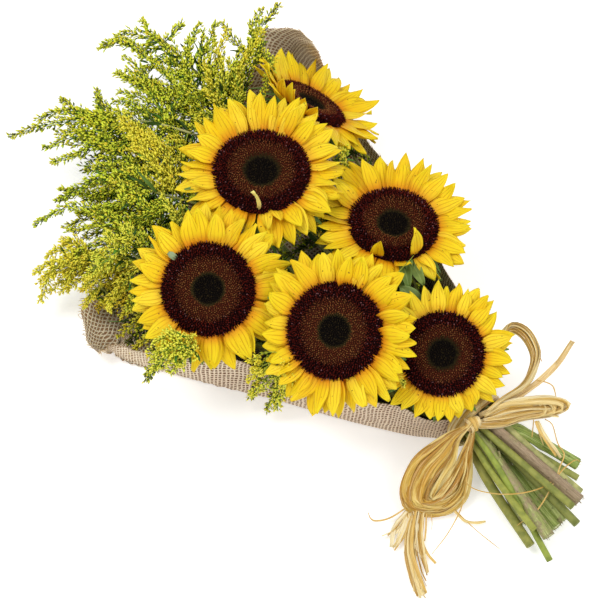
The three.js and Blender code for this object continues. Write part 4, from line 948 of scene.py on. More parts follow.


# Sprigs that fill the mass behind and between: spray, radius, kind, share of the axis left bare, path. Kind d ones lie
# low in the mass and are painted near-black green, as painted shade.
FILL = [
    (2, 6, 'g', 0.28, [[-378.4, 47.2, 76.5], [-377.2, 31.0, 71.3], [-376.0, 14.8, 70.0], [-394.4, 9.3, 82.0], [-412.9, 3.8, 84.0]]),
    (2, 6, 'g', 0.22, [[-372.5, 48.4, 74.8], [-368.8, 34.7, 71.4], [-365.0, 21.1, 72.0], [-386.6, 22.9, 84.0], [-408.2, 24.7, 86.0]]),
    (2, 6, 'g', 0.09, [[-371.0, 48.9, 74.1], [-368.2, 40.9, 71.0], [-365.3, 32.8, 72.0], [-383.2, 40.4, 85.0], [-401.1, 48.1, 88.0]]),
    (2, 6, 'g', 0.07, [[-365.0, 52.9, 69.9], [-360.1, 46.1, 67.9], [-355.2, 39.4, 70.0], [-367.3, 55.8, 86.0], [-379.5, 72.2, 92.0]]),
    (2, 6, 'g', 0.26, [[-365.0, 52.9, 69.9], [-356.9, 39.6, 65.9], [-348.7, 26.3, 66.0], [-367.7, 20.2, 78.0], [-386.8, 14.1, 80.0]]),
    (2, 6, 'g', 0.13, [[-342.7, 57.8, 58.9], [-341.3, 48.5, 61.5], [-340.0, 39.2, 68.0], [-346.5, 56.1, 86.0], [-353.0, 73.1, 94.0]]),
    (2, 6, 'y', 0.00, [[-345.8, 57.8, 60.0], [-344.3, 57.9, 63.0], [-342.9, 58.1, 70.0], [-348.4, 81.1, 89.0], [-353.9, 104.2, 98.0]]),
    (2, 6, 'g', 0.00, [[-328.7, 57.3, 54.6], [-328.1, 53.9, 57.3], [-327.5, 50.4, 64.0], [-336.2, 61.2, 80.0], [-344.9, 72.1, 86.0]]),
    (3, 6, 'g', 0.14, [[-348.5, -9.5, 80.8], [-351.1, -5.5, 69.4], [-353.6, -1.4, 62.0], [-372.4, -8.8, 74.0], [-391.2, -16.2, 76.0]]),
    (3, 6, 'g', 0.23, [[-340.9, -5.1, 80.0], [-346.6, 2.9, 68.0], [-352.3, 10.9, 60.0], [-366.3, -0.9, 71.0], [-380.4, -12.7, 72.0]]),
    (3, 6, 'g', 0.23, [[-358.3, -15.8, 81.8], [-364.6, -6.3, 71.9], [-371.0, 3.2, 66.0], [-386.9, -5.6, 78.0], [-402.8, -14.5, 80.0]]),
    (2, 6, 'd', 0.22, [[-342.7, 57.8, 58.9], [-344.1, 45.9, 52.5], [-345.6, 34.1, 50.0], [-359.2, 23.8, 60.0], [-372.8, 13.5, 60.0]]),
    (2, 6, 'd', 0.05, [[-336.0, 57.7, 56.8], [-337.1, 51.2, 51.4], [-338.2, 44.7, 50.0], [-354.2, 45.4, 63.0], [-370.3, 46.1, 66.0]]),
    (2, 5, 'y', 0.16, [[-356.2, 57.0, 64.0], [-352.2, 49.7, 67.0], [-348.2, 42.4, 74.0], [-357.1, 46.0, 88.0], [-366.1, 49.6, 92.0]]),
    (2, 6, 'g', 0.00, [[-345.8, 57.8, 60.0], [-344.5, 53.9, 61.0], [-343.1, 50.0, 66.0], [-346.6, 69.5, 86.0], [-350.1, 89.0, 96.0]]),
    (3, 6, 'g', 0.38, [[-365.5, -21.3, 82.2], [-377.8, -7.0, 75.1], [-390.0, 7.2, 72.0], [-402.8, 1.1, 83.0], [-415.6, -5.1, 84.0]]),
    (2, 5, 'g', 0.05, [[-376.2, 47.5, 76.0], [-374.5, 40.2, 74.0], [-372.7, 32.9, 76.0], [-384.6, 46.4, 88.0], [-396.4, 60.0, 90.0]]),
    (2, 5, 'g', 0.02, [[-385.6, 46.9, 77.7], [-384.8, 40.5, 75.9], [-384.0, 34.1, 78.0], [-399.7, 38.4, 88.0], [-415.3, 42.6, 88.0]]),
    (2, 5, 'g', 0.19, [[-407.6, 47.8, 79.2], [-407.6, 35.7, 78.6], [-407.5, 23.7, 82.0], [-425.9, 21.9, 88.0], [-444.4, 20.1, 84.0]]),
    (2, 5, 'g', 0.17, [[-418.6, 48.2, 80.0], [-421.6, 37.8, 79.0], [-424.6, 27.5, 82.0], [-438.8, 19.2, 84.0], [-453.0, 10.9, 76.0]]),
    (2, 5, 'g', 0.00, [[-370.7, 47.1, 76.0], [-382.6, 60.7, 88.0], [-394.4, 74.3, 90.0]]),
    (2, 5, 'y', 0.00, [[-360.5, 51.6, 76.0], [-369.6, 68.5, 89.0], [-378.6, 85.3, 92.0]]),
    (2, 6, 'g', 0.00, [[-351.5, 57.6, 62.0], [-349.7, 60.2, 65.0], [-347.9, 62.8, 72.0], [-354.8, 84.8, 88.0], [-361.7, 106.8, 94.0]]),
    (2, 6, 'd', 0.18, [[-365.0, 52.9, 69.9], [-366.1, 45.3, 59.9], [-367.1, 37.8, 54.0], [-377.6, 26.8, 62.0], [-388.1, 15.8, 60.0]]),
    (2, 6, 'd', 0.12, [[-380.7, 47.1, 77.0], [-381.8, 46.3, 66.5], [-382.8, 45.6, 60.0], [-394.7, 46.3, 70.0], [-406.6, 47.0, 70.0]]),
    (2, 6, 'd', 0.00, [[-342.7, 57.8, 58.9], [-343.7, 58.4, 52.5], [-344.8, 59.0, 50.0], [-353.3, 70.7, 63.0], [-361.7, 82.5, 66.0]]),
    (2, 5, 'p', 0.12, [[-336.0, 57.7, 56.8], [-332.9, 56.5, 63.4], [-329.9, 55.3, 74.0], [-343.0, 62.2, 88.0], [-356.1, 69.0, 92.0]]),
    (3, 6, 'g', 0.28, [[-332.8, -0.6, 79.0], [-339.0, 8.8, 67.5], [-345.2, 18.2, 60.0], [-359.2, 15.4, 71.0], [-373.2, 12.6, 72.0]]),
    (2, 6, 'y', 0.26, [[-332.4, 57.5, 55.7], [-330.9, 46.9, 60.9], [-329.4, 36.3, 70.0], [-339.8, 36.0, 82.0], [-350.2, 35.7, 84.0]]),
    (2, 7, 'g', 0.13, [[-336.0, 57.7, 56.8], [-334.5, 51.0, 61.4], [-333.1, 44.3, 70.0], [-347.7, 50.2, 82.0], [-362.4, 56.1, 84.0]]),
    (2, 7, 'g', 0.13, [[-324.8, 57.1, 53.5], [-323.9, 50.5, 57.8], [-323.0, 44.0, 66.0], [-332.0, 52.7, 78.0], [-341.1, 61.4, 80.0]]),
    (2, 7, 'd', 0.15, [[-345.8, 57.8, 60.0], [-347.6, 50.0, 53.0], [-349.4, 42.2, 50.0], [-362.0, 40.1, 59.0], [-374.6, 38.0, 58.0]]),
    (2, 7, 'g', 0.15, [[-345.8, 57.8, 60.0], [-345.2, 48.2, 60.0], [-344.6, 38.6, 64.0], [-358.1, 35.3, 76.0], [-371.5, 32.0, 78.0]]),
    (2, 7, 'd', 0.00, [[-339.4, 57.8, 57.9], [-339.7, 60.9, 51.9], [-340.0, 63.9, 50.0], [-347.3, 76.9, 63.0], [-354.6, 89.9, 66.0]]),
    (2, 7, 'y', 0.05, [[-339.4, 57.8, 57.9], [-337.9, 57.2, 62.9], [-336.4, 56.7, 72.0], [-344.1, 70.1, 88.0], [-351.7, 83.5, 94.0]]),
    (2, 7, 'g', 0.03, [[-339.4, 57.8, 57.9], [-338.2, 61.0, 61.9], [-337.0, 64.2, 70.0], [-342.2, 81.1, 88.0], [-347.4, 97.9, 96.0]]),
    (2, 7, 'd', 0.13, [[-336.0, 57.7, 56.8], [-338.9, 50.9, 48.4], [-341.8, 44.2, 44.0], [-353.3, 56.3, 55.0], [-364.9, 68.5, 56.0]]),
    (3, 7, 'g', 0.33, [[-324.4, 3.8, 77.9], [-331.3, 13.6, 67.9], [-338.2, 23.4, 62.0], [-346.6, 23.4, 73.0], [-354.9, 23.4, 74.0]]),
    (2, 6, 'p', 0.25, [[-345.8, 57.8, 60.0], [-342.2, 50.4, 68.0], [-338.6, 43.0, 80.0], [-347.6, 51.7, 92.0], [-356.5, 60.3, 94.0]]),
    (2, 7, 'g', 0.33, [[-378.4, 47.2, 76.5], [-378.1, 32.7, 67.3], [-377.9, 18.2, 62.0], [-388.2, 12.2, 74.0], [-398.6, 6.1, 76.0]]),
    (2, 7, 'd', 0.38, [[-369.6, 49.6, 73.3], [-368.6, 34.5, 58.6], [-367.6, 19.3, 48.0], [-380.8, 14.5, 59.0], [-394.1, 9.6, 60.0]]),
    (2, 7, 'g', 0.31, [[-367.3, 51.2, 71.7], [-361.2, 39.4, 65.8], [-355.2, 27.6, 64.0], [-363.8, 24.4, 75.0], [-372.4, 21.2, 76.0]]),
    (2, 7, 'g', 0.34, [[-396.3, 47.2, 78.6], [-396.9, 30.4, 72.3], [-397.5, 13.6, 70.0], [-411.2, 12.7, 81.0], [-424.9, 11.8, 82.0]]),
    (2, 7, 'd', 0.38, [[-388.1, 46.9, 78.0], [-389.9, 32.7, 64.0], [-391.7, 18.4, 54.0], [-404.3, 18.8, 65.0], [-416.9, 19.1, 66.0]]),
    (3, 7, 'g', 0.14, [[-303.8, 12.7, 74.7], [-304.8, 20.7, 77.3], [-305.8, 28.7, 84.0], [-317.8, 21.9, 92.0], [-329.9, 15.1, 90.0]]),
    (3, 6, 'y', 0.03, [[-303.8, 12.7, 74.7], [-305.6, 16.9, 77.3], [-307.5, 21.1, 84.0], [-318.1, 15.3, 91.0], [-328.8, 9.5, 88.0]]),
    (3, 6, 'g', 0.00, [[-307.2, 13.9, 80.0], [-318.6, 7.7, 88.0], [-330.0, 1.5, 86.0]]),
    (2, 7, 'd', 0.32, [[-332.4, 57.5, 55.7], [-332.3, 42.2, 53.9], [-332.3, 26.8, 56.0], [-345.1, 23.8, 64.0], [-358.0, 20.8, 62.0]]),
    (3, 7, 'd', 0.32, [[-320.1, 5.8, 77.3], [-325.3, 11.9, 62.6], [-330.4, 17.9, 52.0], [-341.9, 14.8, 60.0], [-353.4, 11.8, 58.0]]),
    (3, 6, 'g', 0.02, [[-315.9, 7.8, 76.7], [-319.4, 12.1, 71.3], [-322.8, 16.5, 70.0], [-335.1, 15.4, 78.0], [-347.4, 14.4, 76.0]]),
    (4, 7, 'd', 0.45, [[-283.6, -47.6, 79.7], [-283.6, -56.8, 60.9], [-283.5, -65.9, 46.0], [-291.9, -70.3, 54.0], [-300.2, -74.7, 52.0]]),
    (4, 6, 'g', 0.33, [[-289.2, -52.3, 82.0], [-283.8, -61.8, 71.0], [-278.4, -71.3, 64.0], [-280.9, -80.7, 72.0], [-283.4, -90.2, 70.0]]),
    (3, 7, 'd', 0.39, [[-328.6, 1.6, 78.5], [-336.8, 12.0, 65.2], [-345.1, 22.4, 56.0], [-355.8, 19.7, 63.0], [-366.6, 17.0, 60.0]]),
    (3, 6, 'd', 0.45, [[-344.8, -7.3, 80.4], [-337.0, -21.3, 65.2], [-329.1, -35.4, 54.0], [-340.4, -37.4, 61.0], [-351.7, -39.5, 58.0]]),
    (3, 7, 'g', 0.19, [[-336.9, -2.8, 79.5], [-339.6, 1.8, 67.8], [-342.3, 6.4, 60.0], [-355.5, 2.9, 71.0], [-368.7, -0.6, 72.0]]),
    (3, 7, 'd', 0.32, [[-336.9, -2.8, 79.5], [-339.5, 0.1, 60.8], [-342.1, 2.9, 46.0], [-356.0, -4.6, 56.0], [-369.9, -12.2, 56.0]]),
    (3, 7, 'g', 0.14, [[-328.6, 1.6, 78.5], [-330.3, 3.9, 68.2], [-332.0, 6.2, 62.0], [-341.6, 4.0, 71.0], [-351.3, 1.7, 70.0]]),
    (3, 7, 'y', 0.04, [[-328.6, 1.6, 78.5], [-326.1, -3.0, 72.2], [-323.6, -7.7, 70.0], [-330.9, -13.0, 80.0], [-338.2, -18.3, 80.0]]),
    (3, 7, 'g', 0.33, [[-320.1, 5.8, 77.3], [-315.5, -6.8, 69.6], [-310.9, -19.5, 66.0], [-320.8, -20.2, 76.0], [-330.7, -21.0, 76.0]]),
    (4, 7, 'y', 0.16, [[-283.6, -47.6, 79.7], [-290.4, -41.7, 74.9], [-297.3, -35.8, 74.0], [-306.7, -39.0, 84.0], [-316.1, -42.3, 84.0]]),
    (4, 7, 'd', 0.47, [[-280.8, -45.3, 78.6], [-292.7, -35.8, 62.3], [-304.6, -26.3, 50.0], [-313.5, -29.2, 59.0], [-322.3, -32.2, 58.0]]),
    (4, 7, 'g', 0.12, [[-280.8, -45.3, 78.6], [-285.4, -43.0, 70.3], [-290.1, -40.6, 66.0], [-297.4, -44.8, 75.0], [-304.6, -49.0, 74.0]]),
    (4, 7, 'g', 0.19, [[-283.6, -47.6, 79.7], [-281.8, -53.3, 69.9], [-279.9, -58.9, 64.0], [-288.7, -61.6, 74.0], [-297.5, -64.2, 74.0]]),
    (4, 7, 'd', 0.40, [[-277.8, -43.1, 77.4], [-285.0, -44.0, 58.7], [-292.1, -44.9, 44.0], [-294.6, -55.8, 52.0], [-297.0, -66.7, 50.0]]),
    (3, 6, 'g', 0.18, [[-381.5, -44.2, 80.0], [-382.2, -44.8, 67.0], [-383.0, -45.5, 58.0], [-391.3, -59.1, 65.0], [-399.7, -72.7, 62.0]]),
    (3, 6, 'd', 0.36, [[-381.5, -44.2, 80.0], [-383.8, -45.4, 60.0], [-386.1, -46.6, 44.0], [-392.6, -59.8, 51.0], [-399.1, -72.9, 48.0]]),
    (4, 7, 'g', 0.36, [[-340.3, -68.4, 88.0], [-342.6, -56.7, 73.0], [-345.0, -45.1, 62.0], [-356.1, -51.4, 72.0], [-367.2, -57.7, 72.0]]),
    (4, 7, 'g', 0.34, [[-340.3, -68.4, 88.0], [-343.5, -62.9, 71.0], [-346.6, -57.3, 58.0], [-356.6, -65.8, 67.0], [-366.6, -74.3, 66.0]]),
    (3, 6, 'g', 0.12, [[-355.3, -13.8, 81.5], [-352.3, -20.6, 71.8], [-349.3, -27.4, 66.0], [-373.8, -36.9, 77.0], [-398.3, -46.4, 78.0]]),
    (3, 6, 'g', 0.23, [[-363.4, -19.5, 82.1], [-355.9, -29.7, 70.1], [-348.3, -39.9, 62.0], [-371.6, -51.0, 73.0], [-394.8, -62.1, 74.0]]),
    (3, 6, 'g', 0.06, [[-358.3, -15.8, 81.8], [-355.7, -19.7, 73.9], [-353.1, -23.7, 70.0], [-366.9, -35.3, 81.0], [-380.7, -46.9, 82.0]]),
    (3, 6, 'y', 0.18, [[-340.9, -5.1, 80.0], [-335.1, -15.7, 78.0], [-329.3, -26.3, 80.0], [-348.0, -33.5, 90.0], [-366.8, -40.6, 90.0]]),
    (4, 6, 'y', 0.27, [[-297.2, -58.8, 85.1], [-306.4, -46.4, 81.5], [-315.6, -34.1, 82.0], [-330.6, -43.2, 92.0], [-345.7, -52.4, 92.0]]),
    (3, 6, 'y', 0.28, [[-332.8, -0.6, 79.0], [-324.1, -14.0, 79.5], [-315.5, -27.4, 84.0], [-333.1, -32.1, 94.0], [-350.8, -36.7, 94.0]]),
    (3, 6, 'y', 0.23, [[-355.3, -13.8, 81.5], [-348.6, -24.2, 80.8], [-341.8, -34.7, 84.0], [-356.8, -35.4, 93.0], [-371.7, -36.1, 92.0]]),
    (4, 6, 'y', 0.14, [[-297.2, -58.8, 85.1], [-303.3, -51.3, 82.5], [-309.4, -43.9, 84.0], [-324.2, -45.6, 94.0], [-338.9, -47.3, 94.0]]),
    (4, 6, 'y', 0.33, [[-328.5, -68.4, 88.7], [-328.0, -52.3, 85.4], [-327.6, -36.2, 86.0], [-339.4, -40.6, 96.0], [-351.2, -44.9, 96.0]]),
    (4, 6, 'g', 0.26, [[-332.3, -68.2, 88.4], [-331.7, -57.1, 75.2], [-331.0, -46.0, 66.0], [-347.8, -58.2, 76.0], [-364.6, -70.4, 76.0]]),
    (4, 6, 'g', 0.24, [[-334.3, -68.2, 88.2], [-333.8, -60.7, 73.1], [-333.3, -53.2, 62.0], [-346.0, -71.1, 72.0], [-358.7, -89.0, 72.0]]),
    (3, 5, 'g', 0.16, [[-379.2, -40.9, 80.3], [-374.5, -43.3, 68.2], [-369.8, -45.6, 60.0], [-389.3, -54.7, 70.0], [-408.8, -63.8, 70.0]]),
    (3, 6, 'd', 0.31, [[-352.0, -11.7, 81.2], [-349.4, -17.1, 61.6], [-346.7, -22.5, 46.0], [-364.7, -31.4, 56.0], [-382.8, -40.3, 56.0]]),
    (3, 6, 'd', 0.36, [[-355.3, -13.8, 81.5], [-350.7, -24.2, 60.8], [-346.1, -34.6, 44.0], [-358.5, -51.2, 53.0], [-370.8, -67.9, 52.0]]),
    (3, 6, 'g', 0.10, [[-374.7, -32.9, 81.4], [-372.0, -33.7, 70.7], [-369.4, -34.5, 64.0], [-390.0, -41.3, 75.0], [-410.6, -48.2, 76.0]]),
    (3, 6, 'd', 0.30, [[-370.4, -26.4, 82.1], [-367.7, -27.5, 63.1], [-365.0, -28.7, 48.0], [-383.7, -31.9, 59.0], [-402.4, -35.1, 60.0]]),
    (3, 6, 'd', 0.38, [[-378.2, -39.3, 80.5], [-368.0, -43.0, 60.3], [-357.8, -46.7, 44.0], [-371.7, -57.6, 53.0], [-385.5, -68.5, 52.0]]),
    (3, 5, 'd', 0.36, [[-381.5, -44.2, 80.0], [-382.7, -45.2, 61.0], [-383.8, -46.2, 46.0], [-394.1, -53.5, 55.0], [-404.5, -60.8, 54.0]]),
    (3, 5, 'g', 0.02, [[-381.5, -44.2, 80.0], [-385.8, -44.3, 73.0], [-390.2, -44.5, 70.0], [-406.4, -51.1, 78.0], [-422.7, -57.7, 76.0]]),
    (3, 5, 'g', 0.14, [[-381.5, -44.2, 80.0], [-385.5, -48.3, 70.0], [-389.5, -52.4, 64.0], [-402.3, -63.3, 71.0], [-415.1, -74.1, 68.0]]),
    (3, 6, 'g', 0.05, [[-340.9, -5.1, 80.0], [-341.2, -6.3, 71.0], [-341.4, -7.6, 66.0], [-353.7, -10.7, 76.0], [-366.1, -13.8, 76.0]]),
    (3, 5, 'g', 0.02, [[-380.3, -42.6, 80.1], [-384.8, -39.2, 75.1], [-389.3, -35.9, 74.0], [-400.1, -33.9, 82.0], [-410.9, -31.9, 80.0]]),
    (3, 5, 'p', 0.00, [[-369.0, -24.7, 82.2], [-365.6, -27.2, 81.1], [-362.3, -29.8, 84.0], [-371.7, -32.0, 93.0], [-381.2, -34.3, 92.0]]),
    (4, 6, 'g', 0.16, [[-332.3, -68.2, 88.4], [-330.9, -67.7, 75.2], [-329.5, -67.2, 66.0], [-338.0, -85.4, 75.0], [-346.5, -103.6, 74.0]]),
    (4, 6, 'g', 0.10, [[-304.8, -63.9, 87.4], [-306.7, -63.7, 76.7], [-308.6, -63.4, 70.0], [-322.8, -75.9, 80.0], [-337.1, -88.4, 80.0]]),
    (4, 6, 'g', 0.14, [[-302.3, -62.4, 86.8], [-304.3, -64.1, 74.4], [-306.3, -65.8, 66.0], [-316.0, -85.1, 75.0], [-325.7, -104.4, 74.0]]),
    (4, 6, 'g', 0.22, [[-307.3, -65.1, 88.0], [-307.6, -70.5, 72.0], [-307.9, -75.9, 60.0], [-324.1, -95.0, 69.0], [-340.3, -114.0, 68.0]]),
    (4, 6, 'g', 0.31, [[-307.3, -65.1, 88.0], [-307.3, -74.4, 69.0], [-307.2, -83.7, 54.0], [-316.2, -103.6, 63.0], [-325.2, -123.5, 62.0]]),
    (4, 6, 'g', 0.24, [[-299.8, -60.7, 86.0], [-300.1, -67.2, 71.0], [-300.4, -73.8, 60.0], [-304.6, -92.4, 70.0], [-308.8, -111.0, 70.0]]),
    (4, 6, 'g', 0.10, [[-297.2, -58.8, 85.1], [-295.0, -63.7, 76.5], [-292.8, -68.6, 72.0], [-303.4, -78.1, 83.0], [-313.9, -87.7, 84.0]]),
    (4, 6, 'y', 0.00, [[-298.2, -56.5, 80.0], [-309.4, -60.2, 90.0], [-320.5, -64.0, 90.0]]),
    (4, 5, 'g', 0.31, [[-326.5, -68.5, 88.9], [-325.5, -77.3, 69.4], [-324.4, -86.1, 54.0], [-334.1, -106.6, 62.0], [-343.9, -127.1, 60.0]]),
    (4, 6, 'd', 0.43, [[-302.3, -62.4, 86.8], [-310.3, -61.1, 61.4], [-318.3, -59.7, 40.0], [-324.5, -76.1, 48.0], [-330.8, -92.4, 46.0]]),
    (4, 6, 'd', 0.46, [[-304.8, -63.9, 87.4], [-308.1, -70.6, 59.7], [-311.4, -77.4, 36.0], [-318.2, -93.3, 43.0], [-325.0, -109.1, 40.0]]),
    (4, 5, 'g', 0.26, [[-338.3, -68.2, 88.0], [-337.6, -76.8, 73.0], [-336.9, -85.3, 62.0], [-352.0, -97.7, 71.0], [-367.2, -110.1, 70.0]]),
    (4, 6, 'g', 0.26, [[-286.5, -50.0, 80.9], [-295.5, -39.6, 75.4], [-304.6, -29.2, 74.0], [-318.0, -36.6, 84.0], [-331.4, -43.9, 84.0]]),
    (4, 6, 'y', 0.03, [[-286.5, -50.0, 80.9], [-291.6, -46.4, 76.4], [-296.7, -42.8, 76.0], [-302.5, -53.6, 86.0], [-308.4, -64.3, 86.0]]),
    (4, 6, 'g', 0.00, [[-289.2, -52.3, 82.0], [-289.4, -53.1, 75.0], [-289.5, -54.0, 72.0], [-295.6, -67.7, 82.0], [-301.7, -81.5, 82.0]]),
    (4, 6, 'g', 0.15, [[-289.2, -52.3, 82.0], [-287.6, -58.3, 72.0], [-285.9, -64.3, 66.0], [-290.6, -79.2, 76.0], [-295.3, -94.2, 76.0]]),
    (4, 6, 'd', 0.42, [[-286.5, -50.0, 80.9], [-299.0, -41.7, 63.4], [-311.6, -33.5, 50.0], [-312.5, -48.0, 58.0], [-313.5, -62.5, 56.0]]),
    (3, 6, 'g', 0.25, [[-328.6, 1.6, 78.5], [-322.8, -9.3, 73.2], [-317.1, -20.2, 72.0], [-328.8, -22.5, 83.0], [-340.6, -24.7, 84.0]]),
    (3, 6, 'g', 0.09, [[-332.8, -0.6, 79.0], [-331.1, -6.1, 71.5], [-329.3, -11.6, 68.0], [-340.4, -10.1, 79.0], [-351.4, -8.7, 80.0]]),
    (4, 5, 'y', 0.09, [[-294.6, -56.7, 84.1], [-300.0, -51.0, 82.1], [-305.4, -45.3, 84.0], [-314.6, -49.8, 94.0], [-323.7, -54.2, 94.0]]),
    (4, 6, 'd', 0.43, [[-294.6, -56.7, 84.1], [-306.2, -52.7, 62.1], [-317.8, -48.6, 44.0], [-328.7, -60.8, 53.0], [-339.6, -73.0, 52.0]]),
    (3, 6, 'd', 0.34, [[-340.9, -5.1, 80.0], [-336.6, -14.6, 62.0], [-332.2, -24.1, 48.0], [-337.9, -41.0, 57.0], [-343.6, -58.0, 56.0]]),
    (4, 6, 'd', 0.43, [[-291.9, -54.5, 83.1], [-295.6, -60.1, 59.5], [-299.2, -65.6, 40.0], [-308.8, -76.8, 48.0], [-318.3, -88.0, 46.0]]),
    (4, 6, 'p', 0.07, [[-328.5, -68.4, 88.7], [-327.9, -70.5, 79.4], [-327.4, -72.6, 74.0], [-337.4, -83.0, 82.0], [-347.4, -93.4, 80.0]]),
    (4, 5, 'g', 0.31, [[-340.3, -68.4, 88.0], [-342.9, -78.5, 73.0], [-345.6, -88.6, 62.0], [-354.4, -102.4, 69.0], [-363.2, -116.3, 66.0]]),
    (4, 6, 'p', 0.00, [[-314.2, -67.4, 89.0], [-315.5, -62.2, 84.5], [-316.7, -57.1, 84.0], [-326.5, -65.4, 93.0], [-336.2, -73.7, 92.0]]),
    (4, 5, 'p', 0.00, [[-309.6, -72.1, 84.0], [-321.5, -77.5, 92.0], [-333.4, -82.9, 90.0]]),
    (4, 6, 'g', 0.33, [[-289.2, -52.3, 82.0], [-285.4, -62.6, 70.0], [-281.7, -72.9, 62.0], [-290.5, -78.8, 71.0], [-299.4, -84.7, 70.0]]),
    (4, 5, 'y', 0.30, [[-326.5, -68.5, 88.9], [-325.5, -76.6, 75.4], [-324.5, -84.7, 66.0], [-325.5, -96.9, 71.0], [-326.5, -109.0, 66.0]]),
    (6, 7, 'p', 0.13, [[-272.5, -112.2, 80.1], [-274.7, -102.7, 77.1], [-276.8, -93.2, 78.0], [-282.9, -109.8, 87.0], [-288.9, -126.4, 86.0]]),
    (6, 7, 'p', 0.05, [[-270.2, -111.9, 78.6], [-272.6, -105.8, 73.3], [-275.0, -99.6, 72.0], [-280.0, -117.7, 81.0], [-285.0, -135.8, 80.0]]),
    (4, 6, 'g', 0.25, [[-302.3, -62.4, 86.8], [-299.3, -74.3, 71.4], [-296.3, -86.2, 60.0], [-305.4, -113.5, 68.0], [-314.5, -140.7, 66.0]]),
    (6, 6, 'p', 0.00, [[-273.7, -106.1, 84.0], [-281.2, -110.7, 93.0], [-288.7, -115.3, 92.0]]),
    (6, 6, 'p', 0.00, [[-275.6, -115.4, 80.0], [-284.7, -125.2, 87.0], [-293.8, -135.1, 84.0]]),
    (6, 6, 'p', 0.00, [[-280.8, -106.4, 82.0], [-289.0, -114.8, 90.0], [-297.2, -123.2, 88.0]]),
    (5, 6, 'y', 0.28, [[-299.9, -135.4, 54.3], [-293.5, -121.1, 47.1], [-287.2, -106.8, 44.0], [-294.0, -125.7, 50.0], [-300.7, -144.5, 46.0]]),
    (5, 6, 'y', 0.17, [[-276.1, -138.5, 40.1], [-279.6, -128.2, 36.0], [-283.1, -117.8, 36.0], [-286.8, -135.2, 41.0], [-290.4, -152.6, 36.0]]),
    (5, 6, 'y', 0.20, [[-263.9, -134.9, 34.1], [-266.6, -123.5, 35.0], [-269.2, -112.2, 40.0], [-273.6, -128.9, 45.0], [-278.0, -145.7, 40.0]]),
    (6, 6, 'y', 0.33, [[-262.0, -112.0, 74.0], [-268.3, -105.1, 58.0], [-274.5, -98.2, 46.0], [-276.7, -113.6, 52.0], [-278.8, -128.9, 48.0]]),
    (5, 6, 'y', 0.11, [[-249.8, -129.7, 28.1], [-252.5, -122.1, 29.1], [-255.2, -114.4, 34.0], [-258.5, -127.8, 38.0], [-261.8, -141.3, 32.0]]),
    (5, 6, 'g', 0.00, [[-238.2, -125.2, 24.2], [-239.8, -121.8, 25.1], [-241.3, -118.4, 30.0], [-243.1, -128.8, 34.0], [-244.9, -139.3, 28.0]]),
    (5, 6, 'y', 0.19, [[-302.2, -133.7, 56.1], [-298.8, -123.2, 48.1], [-295.4, -112.6, 44.0], [-305.0, -131.1, 51.0], [-314.5, -149.6, 48.0]]),
    (5, 6, 'y', 0.16, [[-297.6, -137.1, 52.4], [-298.5, -129.0, 42.2], [-299.5, -120.9, 36.0], [-305.9, -142.2, 42.0], [-312.4, -163.4, 38.0]]),
    (5, 6, 'd', 0.31, [[-260.5, -133.7, 32.6], [-268.2, -122.1, 24.3], [-275.9, -110.5, 20.0], [-275.4, -124.5, 26.0], [-274.9, -138.5, 22.0]]),
    (5, 6, 'd', 0.14, [[-249.8, -129.7, 28.1], [-253.3, -123.1, 21.1], [-256.9, -116.5, 18.0], [-258.3, -128.9, 23.0], [-259.8, -141.3, 18.0]]),
    (5, 6, 'y', 0.00, [[-246.8, -122.4, 28.0], [-249.9, -136.1, 31.0], [-253.0, -149.9, 24.0]]),
    (5, 6, 'd', 0.00, [[-242.2, -123.0, 18.0], [-244.4, -135.3, 22.0], [-246.7, -147.6, 16.0]]),
    (5, 5, 'y', 0.00, [[-230.7, -124.0, 24.0], [-233.8, -137.7, 27.0], [-237.0, -151.4, 20.0]]),
    (5, 5, 'd', 0.00, [[-221.7, -126.0, 18.0], [-224.8, -136.5, 22.0], [-227.9, -146.9, 16.0]]),
    (5, 6, 'y', 0.08, [[-302.2, -133.7, 56.1], [-303.1, -127.6, 48.1], [-304.0, -121.5, 44.0], [-314.0, -144.1, 52.0], [-324.1, -166.7, 50.0]]),
    (5, 6, 'o', 0.24, [[-276.1, -138.5, 40.1], [-279.4, -126.1, 37.0], [-282.7, -113.6, 38.0], [-286.5, -128.9, 42.0], [-290.2, -144.2, 36.0]]),
    (5, 6, 'o', 0.08, [[-263.9, -134.9, 34.1], [-265.1, -127.2, 33.0], [-266.4, -119.5, 36.0], [-270.4, -132.3, 40.0], [-274.4, -145.2, 34.0]]),
    (5, 6, 'o', 0.22, [[-292.0, -139.6, 48.4], [-294.2, -130.6, 39.2], [-296.5, -121.6, 34.0], [-298.7, -134.9, 39.0], [-300.9, -148.1, 34.0]]),
    (5, 6, 'o', 0.17, [[-273.3, -137.8, 38.6], [-277.2, -130.2, 31.3], [-281.1, -122.6, 28.0], [-283.3, -135.0, 32.0], [-285.5, -147.3, 26.0]]),
    (5, 5, 'y', 0.14, [[-303.4, -132.8, 57.1], [-309.0, -130.9, 46.5], [-314.6, -129.0, 40.0], [-317.4, -148.6, 42.0], [-320.2, -168.1, 34.0]]),
    (5, 5, 'y', 0.16, [[-303.4, -132.8, 57.1], [-310.6, -134.8, 47.5], [-317.8, -136.8, 42.0], [-323.7, -153.6, 45.0], [-329.6, -170.3, 38.0]]),
    (5, 6, 'y', 0.14, [[-299.9, -135.4, 54.3], [-302.8, -130.8, 44.1], [-305.6, -126.2, 38.0], [-311.9, -141.5, 42.0], [-318.1, -156.7, 36.0]]),
    (5, 5, 'o', 0.00, [[-307.3, -130.7, 60.0], [-312.8, -130.5, 56.0], [-318.3, -130.3, 56.0], [-326.1, -133.4, 60.0], [-333.9, -136.4, 54.0]]),
    (5, 6, 'o', 0.00, [[-253.5, -131.1, 29.6], [-254.6, -125.8, 29.8], [-255.7, -120.4, 34.0], [-263.0, -129.2, 39.0], [-270.2, -138.1, 34.0]]),
